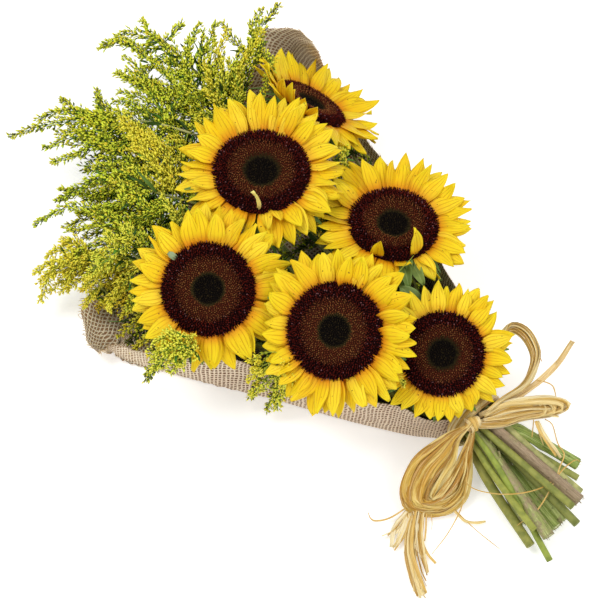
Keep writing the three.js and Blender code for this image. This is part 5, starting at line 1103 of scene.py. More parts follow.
    (5, 6, 'd', 0.38, [[-281.5, -139.7, 42.8], [-289.5, -123.2, 30.4], [-297.4, -106.7, 22.0], [-302.0, -123.4, 28.0], [-306.6, -140.1, 24.0]]),
    (5, 5, 'y', 0.03, [[-305.9, -131.3, 59.0], [-307.9, -128.5, 51.5], [-309.9, -125.6, 48.0], [-318.3, -135.6, 53.0], [-326.6, -145.7, 48.0]]),
    (6, 7, 'p', 0.55, [[-200.4, -111.1, 51.8], [-189.1, -124.7, 74.4], [-177.8, -138.3, 101.0], [-186.7, -148.0, 103.5], [-195.5, -157.8, 96.0]]),
    (6, 7, 'p', 0.53, [[-197.6, -109.8, 51.2], [-185.4, -126.3, 73.6], [-173.1, -142.7, 100.0], [-183.3, -154.4, 100.0], [-193.6, -166.2, 90.0]]),
    (6, 7, 'p', 0.54, [[-200.4, -111.1, 51.8], [-186.7, -129.1, 71.9], [-173.1, -147.1, 96.0], [-180.3, -157.8, 93.0], [-187.5, -168.5, 80.0]]),
    (6, 6, 'p', 0.67, [[-203.1, -112.3, 52.3], [-190.4, -129.4, 75.2], [-177.7, -146.6, 102.0], [-184.2, -147.8, 108.0], [-190.7, -149.1, 104.0]]),
    (6, 6, 'p', 0.59, [[-197.6, -109.8, 51.2], [-183.4, -128.2, 70.6], [-169.2, -146.6, 94.0], [-173.5, -153.6, 91.0], [-177.8, -160.7, 78.0]]),
    (6, 5, 'g', 0.46, [[-208.3, -114.4, 53.5], [-196.9, -135.8, 67.8], [-185.6, -157.3, 86.0], [-191.1, -163.8, 73.0], [-196.6, -170.4, 50.0]]),
    (6, 6, 'p', 0.64, [[-203.1, -112.3, 52.3], [-190.0, -132.0, 74.2], [-176.9, -151.6, 100.0], [-181.4, -158.2, 101.0], [-185.9, -164.7, 92.0]]),
    (6, 6, 'p', 0.64, [[-194.8, -108.5, 50.6], [-182.0, -125.3, 72.3], [-169.2, -142.2, 98.0], [-170.2, -148.8, 99.0], [-171.1, -155.5, 90.0]]),
    (4, 8, 'd', 0.45, [[-334.3, -68.2, 88.2], [-332.4, -75.0, 64.1], [-330.6, -81.8, 44.0], [-342.1, -90.4, 50.0], [-353.6, -99.0, 46.0]]),
    (4, 8, 'd', 0.41, [[-336.3, -68.2, 88.1], [-335.2, -67.8, 65.1], [-334.1, -67.4, 46.0], [-348.3, -72.5, 53.0], [-362.5, -77.6, 50.0]]),
    (4, 8, 'd', 0.39, [[-340.3, -68.4, 88.0], [-342.6, -62.0, 65.0], [-344.9, -55.6, 46.0], [-362.5, -57.8, 54.0], [-380.0, -59.9, 52.0]]),
    (3, 8, 'd', 0.36, [[-371.7, -28.0, 82.0], [-365.3, -31.1, 63.0], [-358.9, -34.1, 48.0], [-373.8, -36.4, 56.0], [-388.8, -38.6, 54.0]]),
    (5, 8, 'd', 0.51, [[-307.3, -130.7, 60.0], [-309.4, -107.4, 45.0], [-311.5, -84.2, 34.0], [-316.0, -96.7, 40.0], [-320.4, -109.2, 36.0]]),
    (3, 8, 'g', 0.24, [[-365.5, -21.3, 82.2], [-367.7, -18.8, 69.1], [-370.0, -16.3, 60.0], [-380.5, -16.9, 68.0], [-391.0, -17.5, 66.0]]),
    (5, 8, 'g', 0.44, [[-307.3, -130.7, 60.0], [-310.3, -111.3, 53.0], [-313.3, -92.0, 50.0], [-320.9, -100.3, 57.0], [-328.6, -108.7, 54.0]]),
    (3, 8, 'd', 0.32, [[-348.5, -9.5, 80.8], [-352.7, -5.6, 63.4], [-356.9, -1.6, 50.0], [-372.2, -1.5, 57.0], [-387.4, -1.4, 54.0]]),
    (4, 8, 'g', 0.34, [[-338.3, -68.2, 88.0], [-337.3, -71.7, 71.0], [-336.3, -75.3, 58.0], [-341.7, -85.6, 65.0], [-347.2, -95.9, 62.0]]),
    (3, 8, 'd', 0.46, [[-381.5, -44.2, 80.0], [-373.2, -52.5, 59.0], [-364.9, -60.9, 42.0], [-375.2, -67.2, 50.0], [-385.5, -73.5, 48.0]]),
    (6, 7, 'y', 0.54, [[-144.0, -74.2, 41.4], [-135.7, -83.9, 62.7], [-127.3, -93.5, 88.0], [-132.7, -102.3, 89.0], [-138.1, -111.1, 80.0]]),
    (6, 7, 'y', 0.47, [[-144.0, -74.2, 41.4], [-134.5, -86.1, 60.7], [-124.9, -98.0, 84.0], [-131.0, -106.4, 77.0], [-137.0, -114.9, 60.0]]),
    (6, 7, 'p', 0.35, [[-131.0, -67.5, 40.3], [-123.1, -79.9, 58.1], [-115.2, -92.4, 80.0], [-118.1, -98.1, 58.0], [-121.0, -103.7, 26.0]]),
    (6, 6, 'p', 0.50, [[-131.0, -67.5, 40.3], [-123.8, -79.2, 61.1], [-116.7, -90.9, 86.0], [-117.4, -95.7, 78.0], [-118.2, -100.5, 60.0]]),
    (6, 6, 'p', 0.30, [[-126.0, -65.2, 39.9], [-120.1, -78.2, 53.0], [-114.2, -91.3, 70.0], [-116.3, -97.7, 49.0], [-118.3, -104.2, 18.0]]),
    (6, 6, 'p', 0.34, [[-135.7, -69.8, 40.6], [-128.0, -81.9, 54.3], [-120.3, -94.0, 72.0], [-128.0, -104.4, 58.0], [-135.8, -114.7, 34.0]]),
    (6, 6, 'y', 0.52, [[-140.0, -72.0, 41.0], [-131.3, -82.8, 62.5], [-122.7, -93.7, 88.0], [-126.4, -102.0, 84.0], [-130.2, -110.3, 70.0]]),
    (6, 6, 'p', 0.51, [[-126.0, -65.2, 39.9], [-118.8, -79.4, 58.0], [-111.6, -93.7, 80.0], [-111.5, -97.1, 73.0], [-111.3, -100.6, 56.0]]),
    (2, 7, 'd', 0.04, [[-206.5, 27.4, 22.7], [-205.3, 33.3, 24.4], [-204.1, 39.1, 30.0], [-204.9, 22.4, 37.0], [-205.7, 5.7, 34.0]]),
    (2, 7, 'd', 0.00, [[-204.9, 25.9, 28.0], [-206.2, 7.4, 35.0], [-207.4, -11.0, 32.0]]),
    (1, 7, 'd', 0.16, [[-224.9, 101.2, 24.7], [-228.2, 93.1, 27.3], [-231.5, 85.0, 34.0], [-244.3, 87.9, 42.0], [-257.1, 90.9, 40.0]]),
    (1, 7, 'd', 0.02, [[-244.6, 107.3, 27.6], [-244.4, 105.9, 31.8], [-244.1, 104.4, 40.0], [-254.9, 106.6, 48.0], [-265.7, 108.8, 46.0]]),
    (1, 7, 'd', 0.26, [[-115.6, 55.7, 11.9], [-119.2, 47.7, 19.0], [-122.7, 39.7, 30.0], [-134.4, 39.7, 37.0], [-146.0, 39.7, 34.0]]),
    (3, 4, 'y', 0.41, [[-109.2, 16.6, 48.7], [-108.0, 10.3, 68.4], [-106.9, 3.9, 92.0], [-108.6, 20.4, 102.5], [-110.4, 36.9, 103.0]]),
    (1, 7, 'd', 0.16, [[-104.2, 49.9, 11.5], [-103.3, 48.5, 18.8], [-102.4, 47.1, 30.0], [-113.3, 46.4, 37.0], [-124.2, 45.7, 34.0]]),
    (4, 7, 'd', 0.37, [[-240.3, -28.8, 66.4], [-243.8, -26.1, 48.2], [-247.3, -23.4, 34.0], [-258.3, -26.7, 41.0], [-269.4, -30.0, 38.0]]),
    (4, 7, 'd', 0.30, [[-191.7, -22.6, 56.6], [-195.9, -16.9, 40.3], [-200.1, -11.1, 28.0], [-216.1, -8.5, 35.0], [-232.1, -5.8, 32.0]]),
    (6, 7, 'd', 0.22, [[-155.2, -81.3, 42.9], [-159.9, -74.5, 32.4], [-164.5, -67.8, 26.0], [-169.2, -80.1, 32.0], [-173.9, -92.3, 28.0]]),
    (5, 7, 'd', 0.00, [[-181.5, -102.3, 14.9], [-180.9, -99.9, 18.5], [-180.3, -97.4, 26.0], [-189.7, -105.2, 32.0], [-199.0, -113.1, 28.0]]),
    (4, 7, 'd', 0.22, [[-61.6, -4.9, 41.6], [-63.2, -9.5, 29.8], [-64.8, -14.1, 22.0], [-67.3, -25.3, 28.0], [-69.9, -36.5, 24.0]]),
    (1, 7, 'd', 0.14, [[-213.9, 97.4, 22.9], [-216.8, 89.0, 24.4], [-219.7, 80.5, 30.0], [-218.1, 65.9, 37.0], [-216.5, 51.2, 34.0]]),
    (1, 7, 'd', 0.00, [[-224.9, 101.2, 24.7], [-222.9, 102.1, 28.3], [-220.8, 102.9, 36.0], [-232.0, 103.2, 44.0], [-243.2, 103.4, 42.0]]),
    (7, 4, 'p', 0.00, [[-221.4, 58.8, 78.4], [-217.0, 61.8, 79.2], [-212.7, 64.8, 84.0], [-218.6, 67.0, 95.0], [-224.5, 69.2, 96.0]]),
    (7, 4, 'p', 0.00, [[-193.1, 27.3, 80.0], [-194.5, 14.0, 89.0], [-195.8, 0.7, 88.0]]),
    (7, 4, 'g', 0.00, [[-189.7, 22.9, 75.4], [-192.7, 19.6, 75.7], [-195.7, 16.3, 80.0], [-198.1, 0.7, 86.0], [-200.4, -15.0, 82.0]]),
    (7, 4, 'p', 0.15, [[-191.6, 25.2, 75.7], [-198.5, 19.8, 75.8], [-205.5, 14.5, 80.0], [-195.6, 10.5, 87.0], [-185.8, 6.6, 84.0]]),
    (7, 4, 'g', 0.47, [[-144.0, 1.2, 68.4], [-141.3, 21.4, 68.2], [-138.6, 41.7, 72.0], [-129.5, 40.3, 80.0], [-120.5, 38.9, 78.0]]),
    (7, 4, 'p', 0.43, [[-133.6, -0.0, 66.6], [-130.8, 16.5, 69.3], [-128.0, 32.9, 76.0], [-124.7, 39.6, 85.0], [-121.4, 46.2, 84.0]]),
    (7, 4, 'p', 0.33, [[-140.5, 0.8, 67.8], [-138.3, 15.3, 69.9], [-136.1, 29.8, 76.0], [-125.4, 25.5, 85.0], [-114.6, 21.2, 84.0]]),
    (7, 4, 'p', 0.31, [[-78.3, -10.2, 55.1], [-76.6, -20.0, 63.5], [-74.8, -29.8, 76.0], [-63.6, -33.1, 84.0], [-52.4, -36.4, 82.0]]),
    (7, 4, 'p', 0.31, [[-71.9, -11.2, 53.5], [-70.7, -22.0, 61.8], [-69.5, -32.9, 74.0], [-56.6, -36.2, 81.0], [-43.8, -39.4, 78.0]]),
]


def in_wrap(points):
    """Which points lie well inside the wrap's two walls and above its foot."""
    near = np.interp(-points[:, 0], [-p[0] for p in WRAP_NEAR], [p[1] for p in WRAP_NEAR])
    far = np.interp(-points[:, 0], [-p[0] for p in WRAP_FAR], [p[1] for p in WRAP_FAR])
    return (points[:, 1] > near + 14) & (points[:, 1] < far - 14) & (points[:, 2] > 16)


def make_spray(number, radius, path, plumes):
    rng = np.random.default_rng(500 + number)
    soup = Soup()
    line = curve(path, 70)
    s = np.linspace(0, 1, len(line))
    bright = {1: "#a3a65a", 2: "#868a46", 3: "#b8b676", 4: "#94964a", 5: "#97964a", 6: "#9ea24a", 7: "#93a044"}[number]
    # the cut ends are stripped but left with their full thickness of bark
    thick = radius * (1 - 0.55 * smooth(0.25, 1.0, s)) * (1 + 0.4 * smooth(5, 32, line[:, 0]))
    tube(soup, line, thick, 12, rng, (*srgb(bright)[:3], 0.25), ribs=6, depth=0.06, rough=0.03, dish=0.3)
    for r, kind, points in plumes:
        sprig(soup, points, r, kind, rng)
    for which, r, kind, bare, points in FILL:
        if which == number:
            sprig(soup, points, r * 1.1, kind, rng, 0.62 if kind == "d" else 0.9, bare, kind != "p" and number != 7, 4 if kind == "d" else 2)
    # leaves on the stalk, above the tie only
    t, u, w = frames(line)
    for k in range(26):
        at = rng.uniform(0.42, 0.97)
        i = int(at * (len(line) - 1))
        a = rng.uniform(0, 2 * np.pi)
        out = math.cos(a) * u[i] + math.sin(a) * w[i]
        tips = line[i] + unit(t[i] * 0.9 + out * 0.8) * np.array([[8.0], [16.0], [26.0]])
        if under_heads(tips).any() or under_heads(tips - [0, 0, 8]).any() or not in_wrap(tips).all():
            continue
        leaf(soup, line[i], t[i] * 0.9 + out * 0.8, out, (rng.uniform(16, 32), rng.uniform(2.6, 4.4)), rng,
             ("#4c6a2a", "#3f5a24", "#5b7a30")[k % 3])
    return soup

# ---- burlap: one square cloth, gathered at the tie and opened into a trough ----
TIE_HEIGHT, NECK_RADIUS, FOOT = 26.0, 22.4, 14.0
WRAP_KEYS = np.array([0, 0.08, 0.16, 0.26, 0.3, 0.42, 0.58, 0.64, 0.7, 0.74, 0.84, 0.92, 1.0])
# the mouth and the turned-up edge beyond it, one point for each key
MOUTH = [[-252, -168, 22], [-254, -168, 13], [-255, -162, 6], [-262, -149, 5], [-272, -133, 2], [-292, -80, 0.3],
         [-326, 20, 0.3], [-333, 72, 0.6], [-341, 118, 1.5], [-345, 130, 5], [-346, 137, 22], [-340, 138, 54], [-317, 133, 86]]
EDGE = [[-257, -174, 20], [-267, -175, 22], [-279, -168, 24], [-293, -160, 26], [-299, -147, 27], [-306, -94, 11],
        [-333, 22, 1.5], [-343, 62, 34], [-356, 92, 62], [-364, 114, 82], [-357, 125, 84], [-343, 135, 86], [-328, 134, 88]]


def spline_rows(rows, t):
    """Catmull-Rom through rows of points, at each place in t."""
    rows = np.asarray(rows, float)
    ends = np.concatenate([2 * rows[:1] - rows[1:2], rows, 2 * rows[-1:] - rows[-2:-1]])
    i = np.clip(t.astype(int), 0, len(rows) - 2)
    f = (t - i).reshape((-1,) + (1,) * (rows.ndim - 1))
    a, b, c, d = (ends[i + k] for k in range(4))
    return 0.5 * (2 * b + (c - a) * f + (2 * a - 5 * b + 4 * c - d) * f ** 2 + (3 * b - a - 3 * c + d) * f ** 3)


def wrap_rows():
    """The wrap's stations from the tie to its turned-up edge, each a row of points across it."""
    rows = []
    for k in (0, 0.35, 1, 2, 3, 4, 5):
        i = min(int(k), 5)
        f = k - i
        near, far = (np.array(p[i]) + (np.array(p[i + 1]) - np.array(p[i])) * f for p in (WRAP_NEAR, WRAP_FAR))
        zn, zf = (p[i] + (p[i + 1] - p[i]) * f for p in (WRAP_NEAR_RIM, WRAP_FAR_RIM))
        yn, yf = near[1], far[1]
        ys = np.interp(WRAP_KEYS, [0, 0.16, 0.26, 0.3, 0.7, 0.74, 0.84, 1],
                       [yn - 2, yn - 1, yn + 1, yn + 7, yf - FOOT, yf - 3, yf, yf + 2])
        zs = np.interp(WRAP_KEYS, [0, 0.16, 0.26, 0.3, 0.7, 0.74, 0.84, 1], [zn, 11, 3, 0.4, 0.4, 4, FOOT, zf])
        angle = np.radians(92 + WRAP_KEYS * 356)
        opened = float(smooth(0.0, 1.1, k))
        y = NECK_RADIUS * np.cos(angle) + (ys - NECK_RADIUS * np.cos(angle)) * opened
        ring = TIE_HEIGHT + NECK_RADIUS * np.sin(angle)
        z = ring + (zs - ring) * opened
        x = near[0] + (far[0] - near[0]) * (ys - yn) / (yf - yn)
        rows.append(np.stack([x, y, z], 1))
    rows.append(np.array(MOUTH, float))
    rows.append(np.array(EDGE, float))
    return np.array(rows)


def make_burlap():
    rng = np.random.default_rng(7)
    soup = Soup()
    along, round_it = 112, 104
    rows = wrap_rows()
    t = np.concatenate([np.linspace(0, 2, 24)[:-1], np.linspace(2, len(rows) - 1, along + 1 - 23)])
    lines = spline_rows(rows, t)
    # across the cloth, evenly by distance at each station
    keys = np.arange(len(WRAP_KEYS), dtype=float)
    fine = spline_rows(lines.transpose(1, 0, 2), np.linspace(0, keys[-1], 240)).transpose(1, 0, 2)
    grid = np.zeros((along + 1, round_it + 1, 3))
    girth = np.zeros((along + 1, round_it + 1))
    for i, row in enumerate(fine):
        far = np.concatenate([[0], np.cumsum(np.linalg.norm(np.diff(row, axis=0), axis=1))])
        want = np.linspace(0, far[-1], round_it + 1)
        grid[i] = np.stack([np.interp(want, far, row[:, k]) for k in range(3)], 1)
        girth[i] = want - far[-1] / 2
    # gathers run out of the tie and die away up the cloth, and the walls wander a little
    n = unit(np.cross(np.gradient(grid, axis=0), np.gradient(grid, axis=1)))
    u = np.linspace(0, 1, round_it + 1)
    amount = 2.0 * np.exp(-(np.maximum(t - 0.5, 0) / 1.5) ** 2) * smooth(-0.4, 0.8, t)
    folds = sum(a * np.cos(2 * np.pi * (k * u[None, :] + p + q * np.sin(0.5 * t[:, None])))
                for a, k, p, q in ((0.5, 9, 0.1, 0.10), (0.4, 14, 0.4, -0.08), (0.3, 19, 0.7, 0.12)))
    offset = amount[:, None] * folds
    wall = np.clip((grid[..., 2] - 8) / 30, 0, 1) * (smooth(1.4, 3.0, t) * (1 - 0.75 * smooth(5.0, 6.5, t)))[:, None]
    offset += wall * (2.2 * np.sin(2 * np.pi * (t[:, None] * 0.62 + 1.3 * u[None, :])) + 1.3 * np.sin(2 * np.pi * (t[:, None] * 1.27 + 0.35 + 2.1 * u[None, :])))
    low = (1 - np.clip((grid[..., 2] - 1) / 12, 0, 1)) * smooth(1.6, 3.0, t)[:, None]
    lifted = low * (1.6 + 1.6 * np.sin(2 * np.pi * (0.45 * t[:, None] + 2.4 * u[None, :])) * np.sin(2 * np.pi * (0.8 * t[:, None] + 0.9 * u[None, :])))
    grid = grid + n * offset[..., None]
    grid[..., 2] += np.maximum(lifted, 0) * smooth(0, 0.06, u)[None, :]
    # the raw edges wander by a thread or two
    edge = np.interp(u, np.linspace(0, 1, 40), rng.normal(0, 0.9, 40))
    grid[-1] += unit(grid[-1] - grid[-4]) * edge[:, None]
    grid[-2] += unit(grid[-1] - grid[-4]) * edge[:, None] * 0.6
    rim = np.interp(t, np.linspace(0, t[-1], 50), rng.normal(0, 0.8, 50))
    for side, other in ((0, 2), (-1, -3)):
        grid[:, side] += unit(grid[:, side] - grid[:, other]) * (rim * smooth(1, 2.5, t))[:, None]
    grid[..., 2] = np.maximum(grid[..., 2], 0.35)
    run = np.concatenate([np.zeros((1, round_it + 1)), np.cumsum(np.linalg.norm(np.diff(grid, axis=0), axis=2), axis=0)])
    run = run.mean(1, keepdims=True) * 0.6 + run * 0.4
    # the gathers draw the threads together toward the tie
    drawn = 1 + 0.55 * (1 - smooth(0.0, 5.0, t))
    step = np.diff(run, axis=0, prepend=run[:1]) * drawn[:, None]
    run = np.cumsum(step, axis=0)
    girth = girth * drawn[:, None]
    n = unit(np.cross(np.gradient(grid, axis=0), np.gradient(grid, axis=1)))
    place = np.zeros((along + 1, round_it + 1, 4))
    place[..., 0] = run
    place[..., 1] = girth
    place[..., 2] = np.clip(0.5 + folds * amount[:, None] / 4, 0, 1)
    # how tight the weave is: above zero toward the tie, where the threads are drawn closer and the cloth is darker, and
    # below zero at the mouth, where the cloth and its holes are painted paler as painted light
    place[..., 3] = (np.clip(1 - t / 3.2, 0, 1) * 0.6 - 0.35 * smooth(4.4, 5.7, t))[:, None]
    # the inner face lies one cloth's thickness in from the outer one
    inner = grid - n * 0.45 if (n[60, 60] @ np.array([0, 0, 1.0])) < 0 else grid + n * 0.45
    inner[..., 2] = np.maximum(inner[..., 2], grid[..., 2] + 0.15) * (grid[..., 2] < 2.5) + inner[..., 2] * (grid[..., 2] >= 2.5)
    both = np.vstack([grid.reshape(-1, 3), inner.reshape(-1, 3)])
    quads = plate(along, round_it)
    # keep faces pointing out: the outer grid's normal must point away from the flowers
    if n[60, 60] @ np.array([0, 0, 1.0]) > 0:
        quads = quads[:, ::-1]
    # painted shade: the inner face is painted dark down among the stems, where shade falls, fading out up the walls
    painted_inner_shade = smooth(0.7, 1.4, t)[:, None] * (1 - smooth(4.5, 5.2, t))[:, None] * (smooth(0.08, 0.22, u) * (1 - smooth(0.78, 0.92, u)))[None, :]
    tone = np.zeros((2, along + 1, round_it + 1, 4))
    tone[1, ..., 0] = painted_inner_shade * (1 - smooth(22, 42, inner[..., 2]))
    soup.add(both, quads=quads, place=np.vstack([place.reshape(-1, 4)] * 2), tone=tone.reshape(-1, 4))
    return soup, grid, t


def make_frays(grid):
    """Loose threads along the cloth's raw edges."""
    rng = np.random.default_rng(8)
    soup = Soup()
    colour = srgb("#cdb494")
    edges = [(grid[-1], grid[-4]), (grid[50:, 0], grid[50:, 3]), (grid[50:, -1], grid[50:, -4])]
    for line, inside in edges:
        for k in range(1, len(line) - 1):
            for _ in range(2):
                if rng.uniform() > 0.55:
                    continue
                out = unit(line[k] - inside[k])
                side = unit(line[k + 1] - line[k - 1])
                f = rng.uniform()
                p = line[k] + (line[k + 1] - line[k]) * f
                long = rng.uniform(1.2, 4.2)
                bend = rng.normal(0, 0.8) * side + np.array([0, 0, rng.normal(0, 0.5)])
                pts = np.array([p - out * 1.5, p + out * long * 0.4, p + out * long * 0.8 + bend * long * 0.3, p + out * long + bend * long * 0.55])
                pts[:, 2] = np.maximum(pts[:, 2], 0.6)
                tube(soup, curve(pts, 5), [0.42, 0.36, 0.3, 0.24, 0.12], 4, rng, (*colour[:3], 0.5))
    return soup

# ---- raffia: flat strips of dried leaf, wound round the neck and tied in a bow ----
RAFFIA_SHADES = ("#ecd08a", "#dfb75e", "#f3dfa4", "#cfa64c", "#f7e9bf", "#b98d36")


def strip(soup, points, width, rng, face=(0, 0, 1), roll=0.0, turn=0.0, taper=(0.5, 0.35), shade=None, crease=0.18, step=3.8, wave=0.0):
    """A narrow flat strip on a path. face is the way its flat side looks, turned by roll and then turn more along it."""
    line = np.asarray(points, float)
    n = int(np.clip(np.linalg.norm(np.diff(line, axis=0), axis=1).sum() / step, 7, 44))
    line = curve(line, n + 1)
    s = np.linspace(0, 1, n + 1)
    t = unit(np.gradient(line, axis=0))
    want = np.asarray(face, float)
    if want.ndim == 1:
        want = np.tile(want, (n + 1, 1))
    else:
        want = np.stack([np.interp(s, np.linspace(0, 1, len(want)), want[:, k]) for k in range(3)], 1)
    nrm = unit(want - (want * t).sum(1, keepdims=True) * t)
    for k in range(1, n + 1):
        if nrm[k] @ nrm[k - 1] < 0:
            nrm[k] = -nrm[k]
    a = math.radians(roll) + math.radians(turn) * s + wave * np.sin(2 * np.pi * (s * rng.uniform(1, 2.5) + rng.uniform()))
    across = np.cross(nrm, t)
    nn = np.cos(a)[:, None] * nrm + np.sin(a)[:, None] * across
    across = np.cross(nn, t)
    v = np.linspace(-1, 1, 4)
    w = width * np.minimum(1, taper[0] + (1 - taper[0]) * smooth(0, 0.25, s)) * np.minimum(1, taper[1] + (1 - taper[1]) * smooth(0, 0.2, 1 - s))
    w = w * (1 + 0.10 * np.sin(2 * np.pi * (s * rng.uniform(1, 4) + rng.uniform())))
    fold = crease * rng.uniform(0.3, 1.4)
    rise = w[:, None] * (fold * (np.abs(v)[None, :] - 0.5) * rng.choice([-1, 1]) + 0.07 * np.sin(3 * v + 5 * s[:, None]))
    top = line[:, None] + across[:, None] * (w[:, None] / 2 * v)[..., None] + nn[:, None] * rise[..., None]
    place = np.zeros((n + 1, 4, 4))
    place[..., 0], place[..., 1], place[..., 2], place[..., 3] = (s * length_of(line))[:, None], v * width / 2, rng.uniform(), 0
    top[..., 2] = np.maximum(top[..., 2], 0.4)
    shade = shade or RAFFIA_SHADES[rng.integers(len(RAFFIA_SHADES))]
    thin(soup, top, 0.22, place, (*srgb(shade)[:3], rng.uniform()))
    return line


def bundle(soup, path, count, spread, width, rng, knot=None, face=(0, 0, 1), rolls=(-55, 55), size=0.1, turn=50, shades=None, start=0.25, end=0.25, flat=1.0):
    """Many strips that share a path: close together at its ends, apart and of different lengths between."""
    path = np.asarray(path, float)
    m = len(path)
    s = np.linspace(0, 1, m)
    open_ = np.sin(np.pi * s) ** 0.7
    t, u, w = frames(path)
    for k in range(count):
        a, b = np.clip(rng.normal(0, 1, 2), -1.5, 1.5)
        away = (u * a + w * b * flat) * (spread * (start * (1 - s) + end * s + open_))[:, None] * 0.6
        p = path + away
        if knot is not None:
            p = knot + (p - knot) * (1 + np.clip(rng.normal(-0.35 * size, size), -2 * size, 0.35 * size) * open_)[:, None]
        drift = np.clip(rng.normal(0, 1, 2), -1.3, 1.3)
        p = p + (u * drift[0] + w * drift[1] * flat) * (0.35 * spread * np.sin(2 * np.pi * s))[:, None]
        shade = shades[rng.integers(len(shades))] if shades else None
        strip(soup, p, width * rng.uniform(0.55, 1.35), rng, face, rng.uniform(*rolls), rng.normal(0, turn), (0.55, 0.55), shade, wave=0.35)


def loop_faces(path, lean=0.5):
    """The way each place on a loop looks outward from its middle, leaning up by the given share."""
    path = np.asarray(path, float)
    out = unit(path - path.mean(0))
    return unit(out * (1 - lean) + np.array([0, 0, 1.0]) * lean)


def make_band():
    rng = np.random.default_rng(11)
    soup = Soup()
    for k in range(9):
        a = np.linspace(0, 2 * np.pi * rng.uniform(1.02, 1.2), 26) + rng.uniform(0, 6)
        r = 23.6 + 0.28 * k + rng.normal(0, 0.12)
        x0 = rng.uniform(-6.5, 6.5)
        lean = rng.normal(0, 1.6)
        pts = np.stack([x0 + lean * np.sin(a + 1), r * np.cos(a), TIE_HEIGHT + r * np.sin(a)], 1)
        face = np.stack([np.zeros(26), np.cos(a), np.sin(a)], 1)
        strip(soup, pts, rng.uniform(3.4, 6.2), rng, face, rng.normal(0, 7), rng.normal(0, 8), (0.8, 0.8), crease=0.10)
    return soup


def make_knot():
    rng = np.random.default_rng(12)
    soup = Soup()
    c = np.array(RAFFIA["knot"])
    axis = unit([0.25, 0.95, 0.12])
    u = unit(np.cross(axis, [0, 0, 1.0]))
    w = np.cross(u, axis)
    for k in range(11):
        a = np.linspace(0, 2 * np.pi * rng.uniform(0.75, 1.1), 20) + rng.uniform(0, 6)
        r = rng.uniform(4.6, 6.6)
        shift = rng.normal(0, 2.6)
        lean = rng.normal(0, 1.8)
        out = np.cos(a)[:, None] * u + np.sin(a)[:, None] * w
        pts = c + out * r * (1 - 0.012 * shift ** 2) + axis * (shift + lean * np.sin(a))[:, None]
        strip(soup, pts, rng.uniform(2.8, 4.8), rng, out, rng.normal(0, 8), rng.normal(0, 12), (0.7, 0.7), ("#f0d8a0", "#e6c478", "#f5e4b8", "#dcb45c")[k % 4], crease=0.15, step=1.9)
    # the core that the wraps close on
    core = np.array([c - axis * 6.5, c, c + axis * 6.5])
    tube(soup, curve(core, 9), [2.6, 3.6, 4.3, 4.6, 4.7, 4.6, 4.3, 3.6, 2.6], 12, rng, (*srgb("#b98f45")[:3], 0.5), rough=0.05)
    return soup


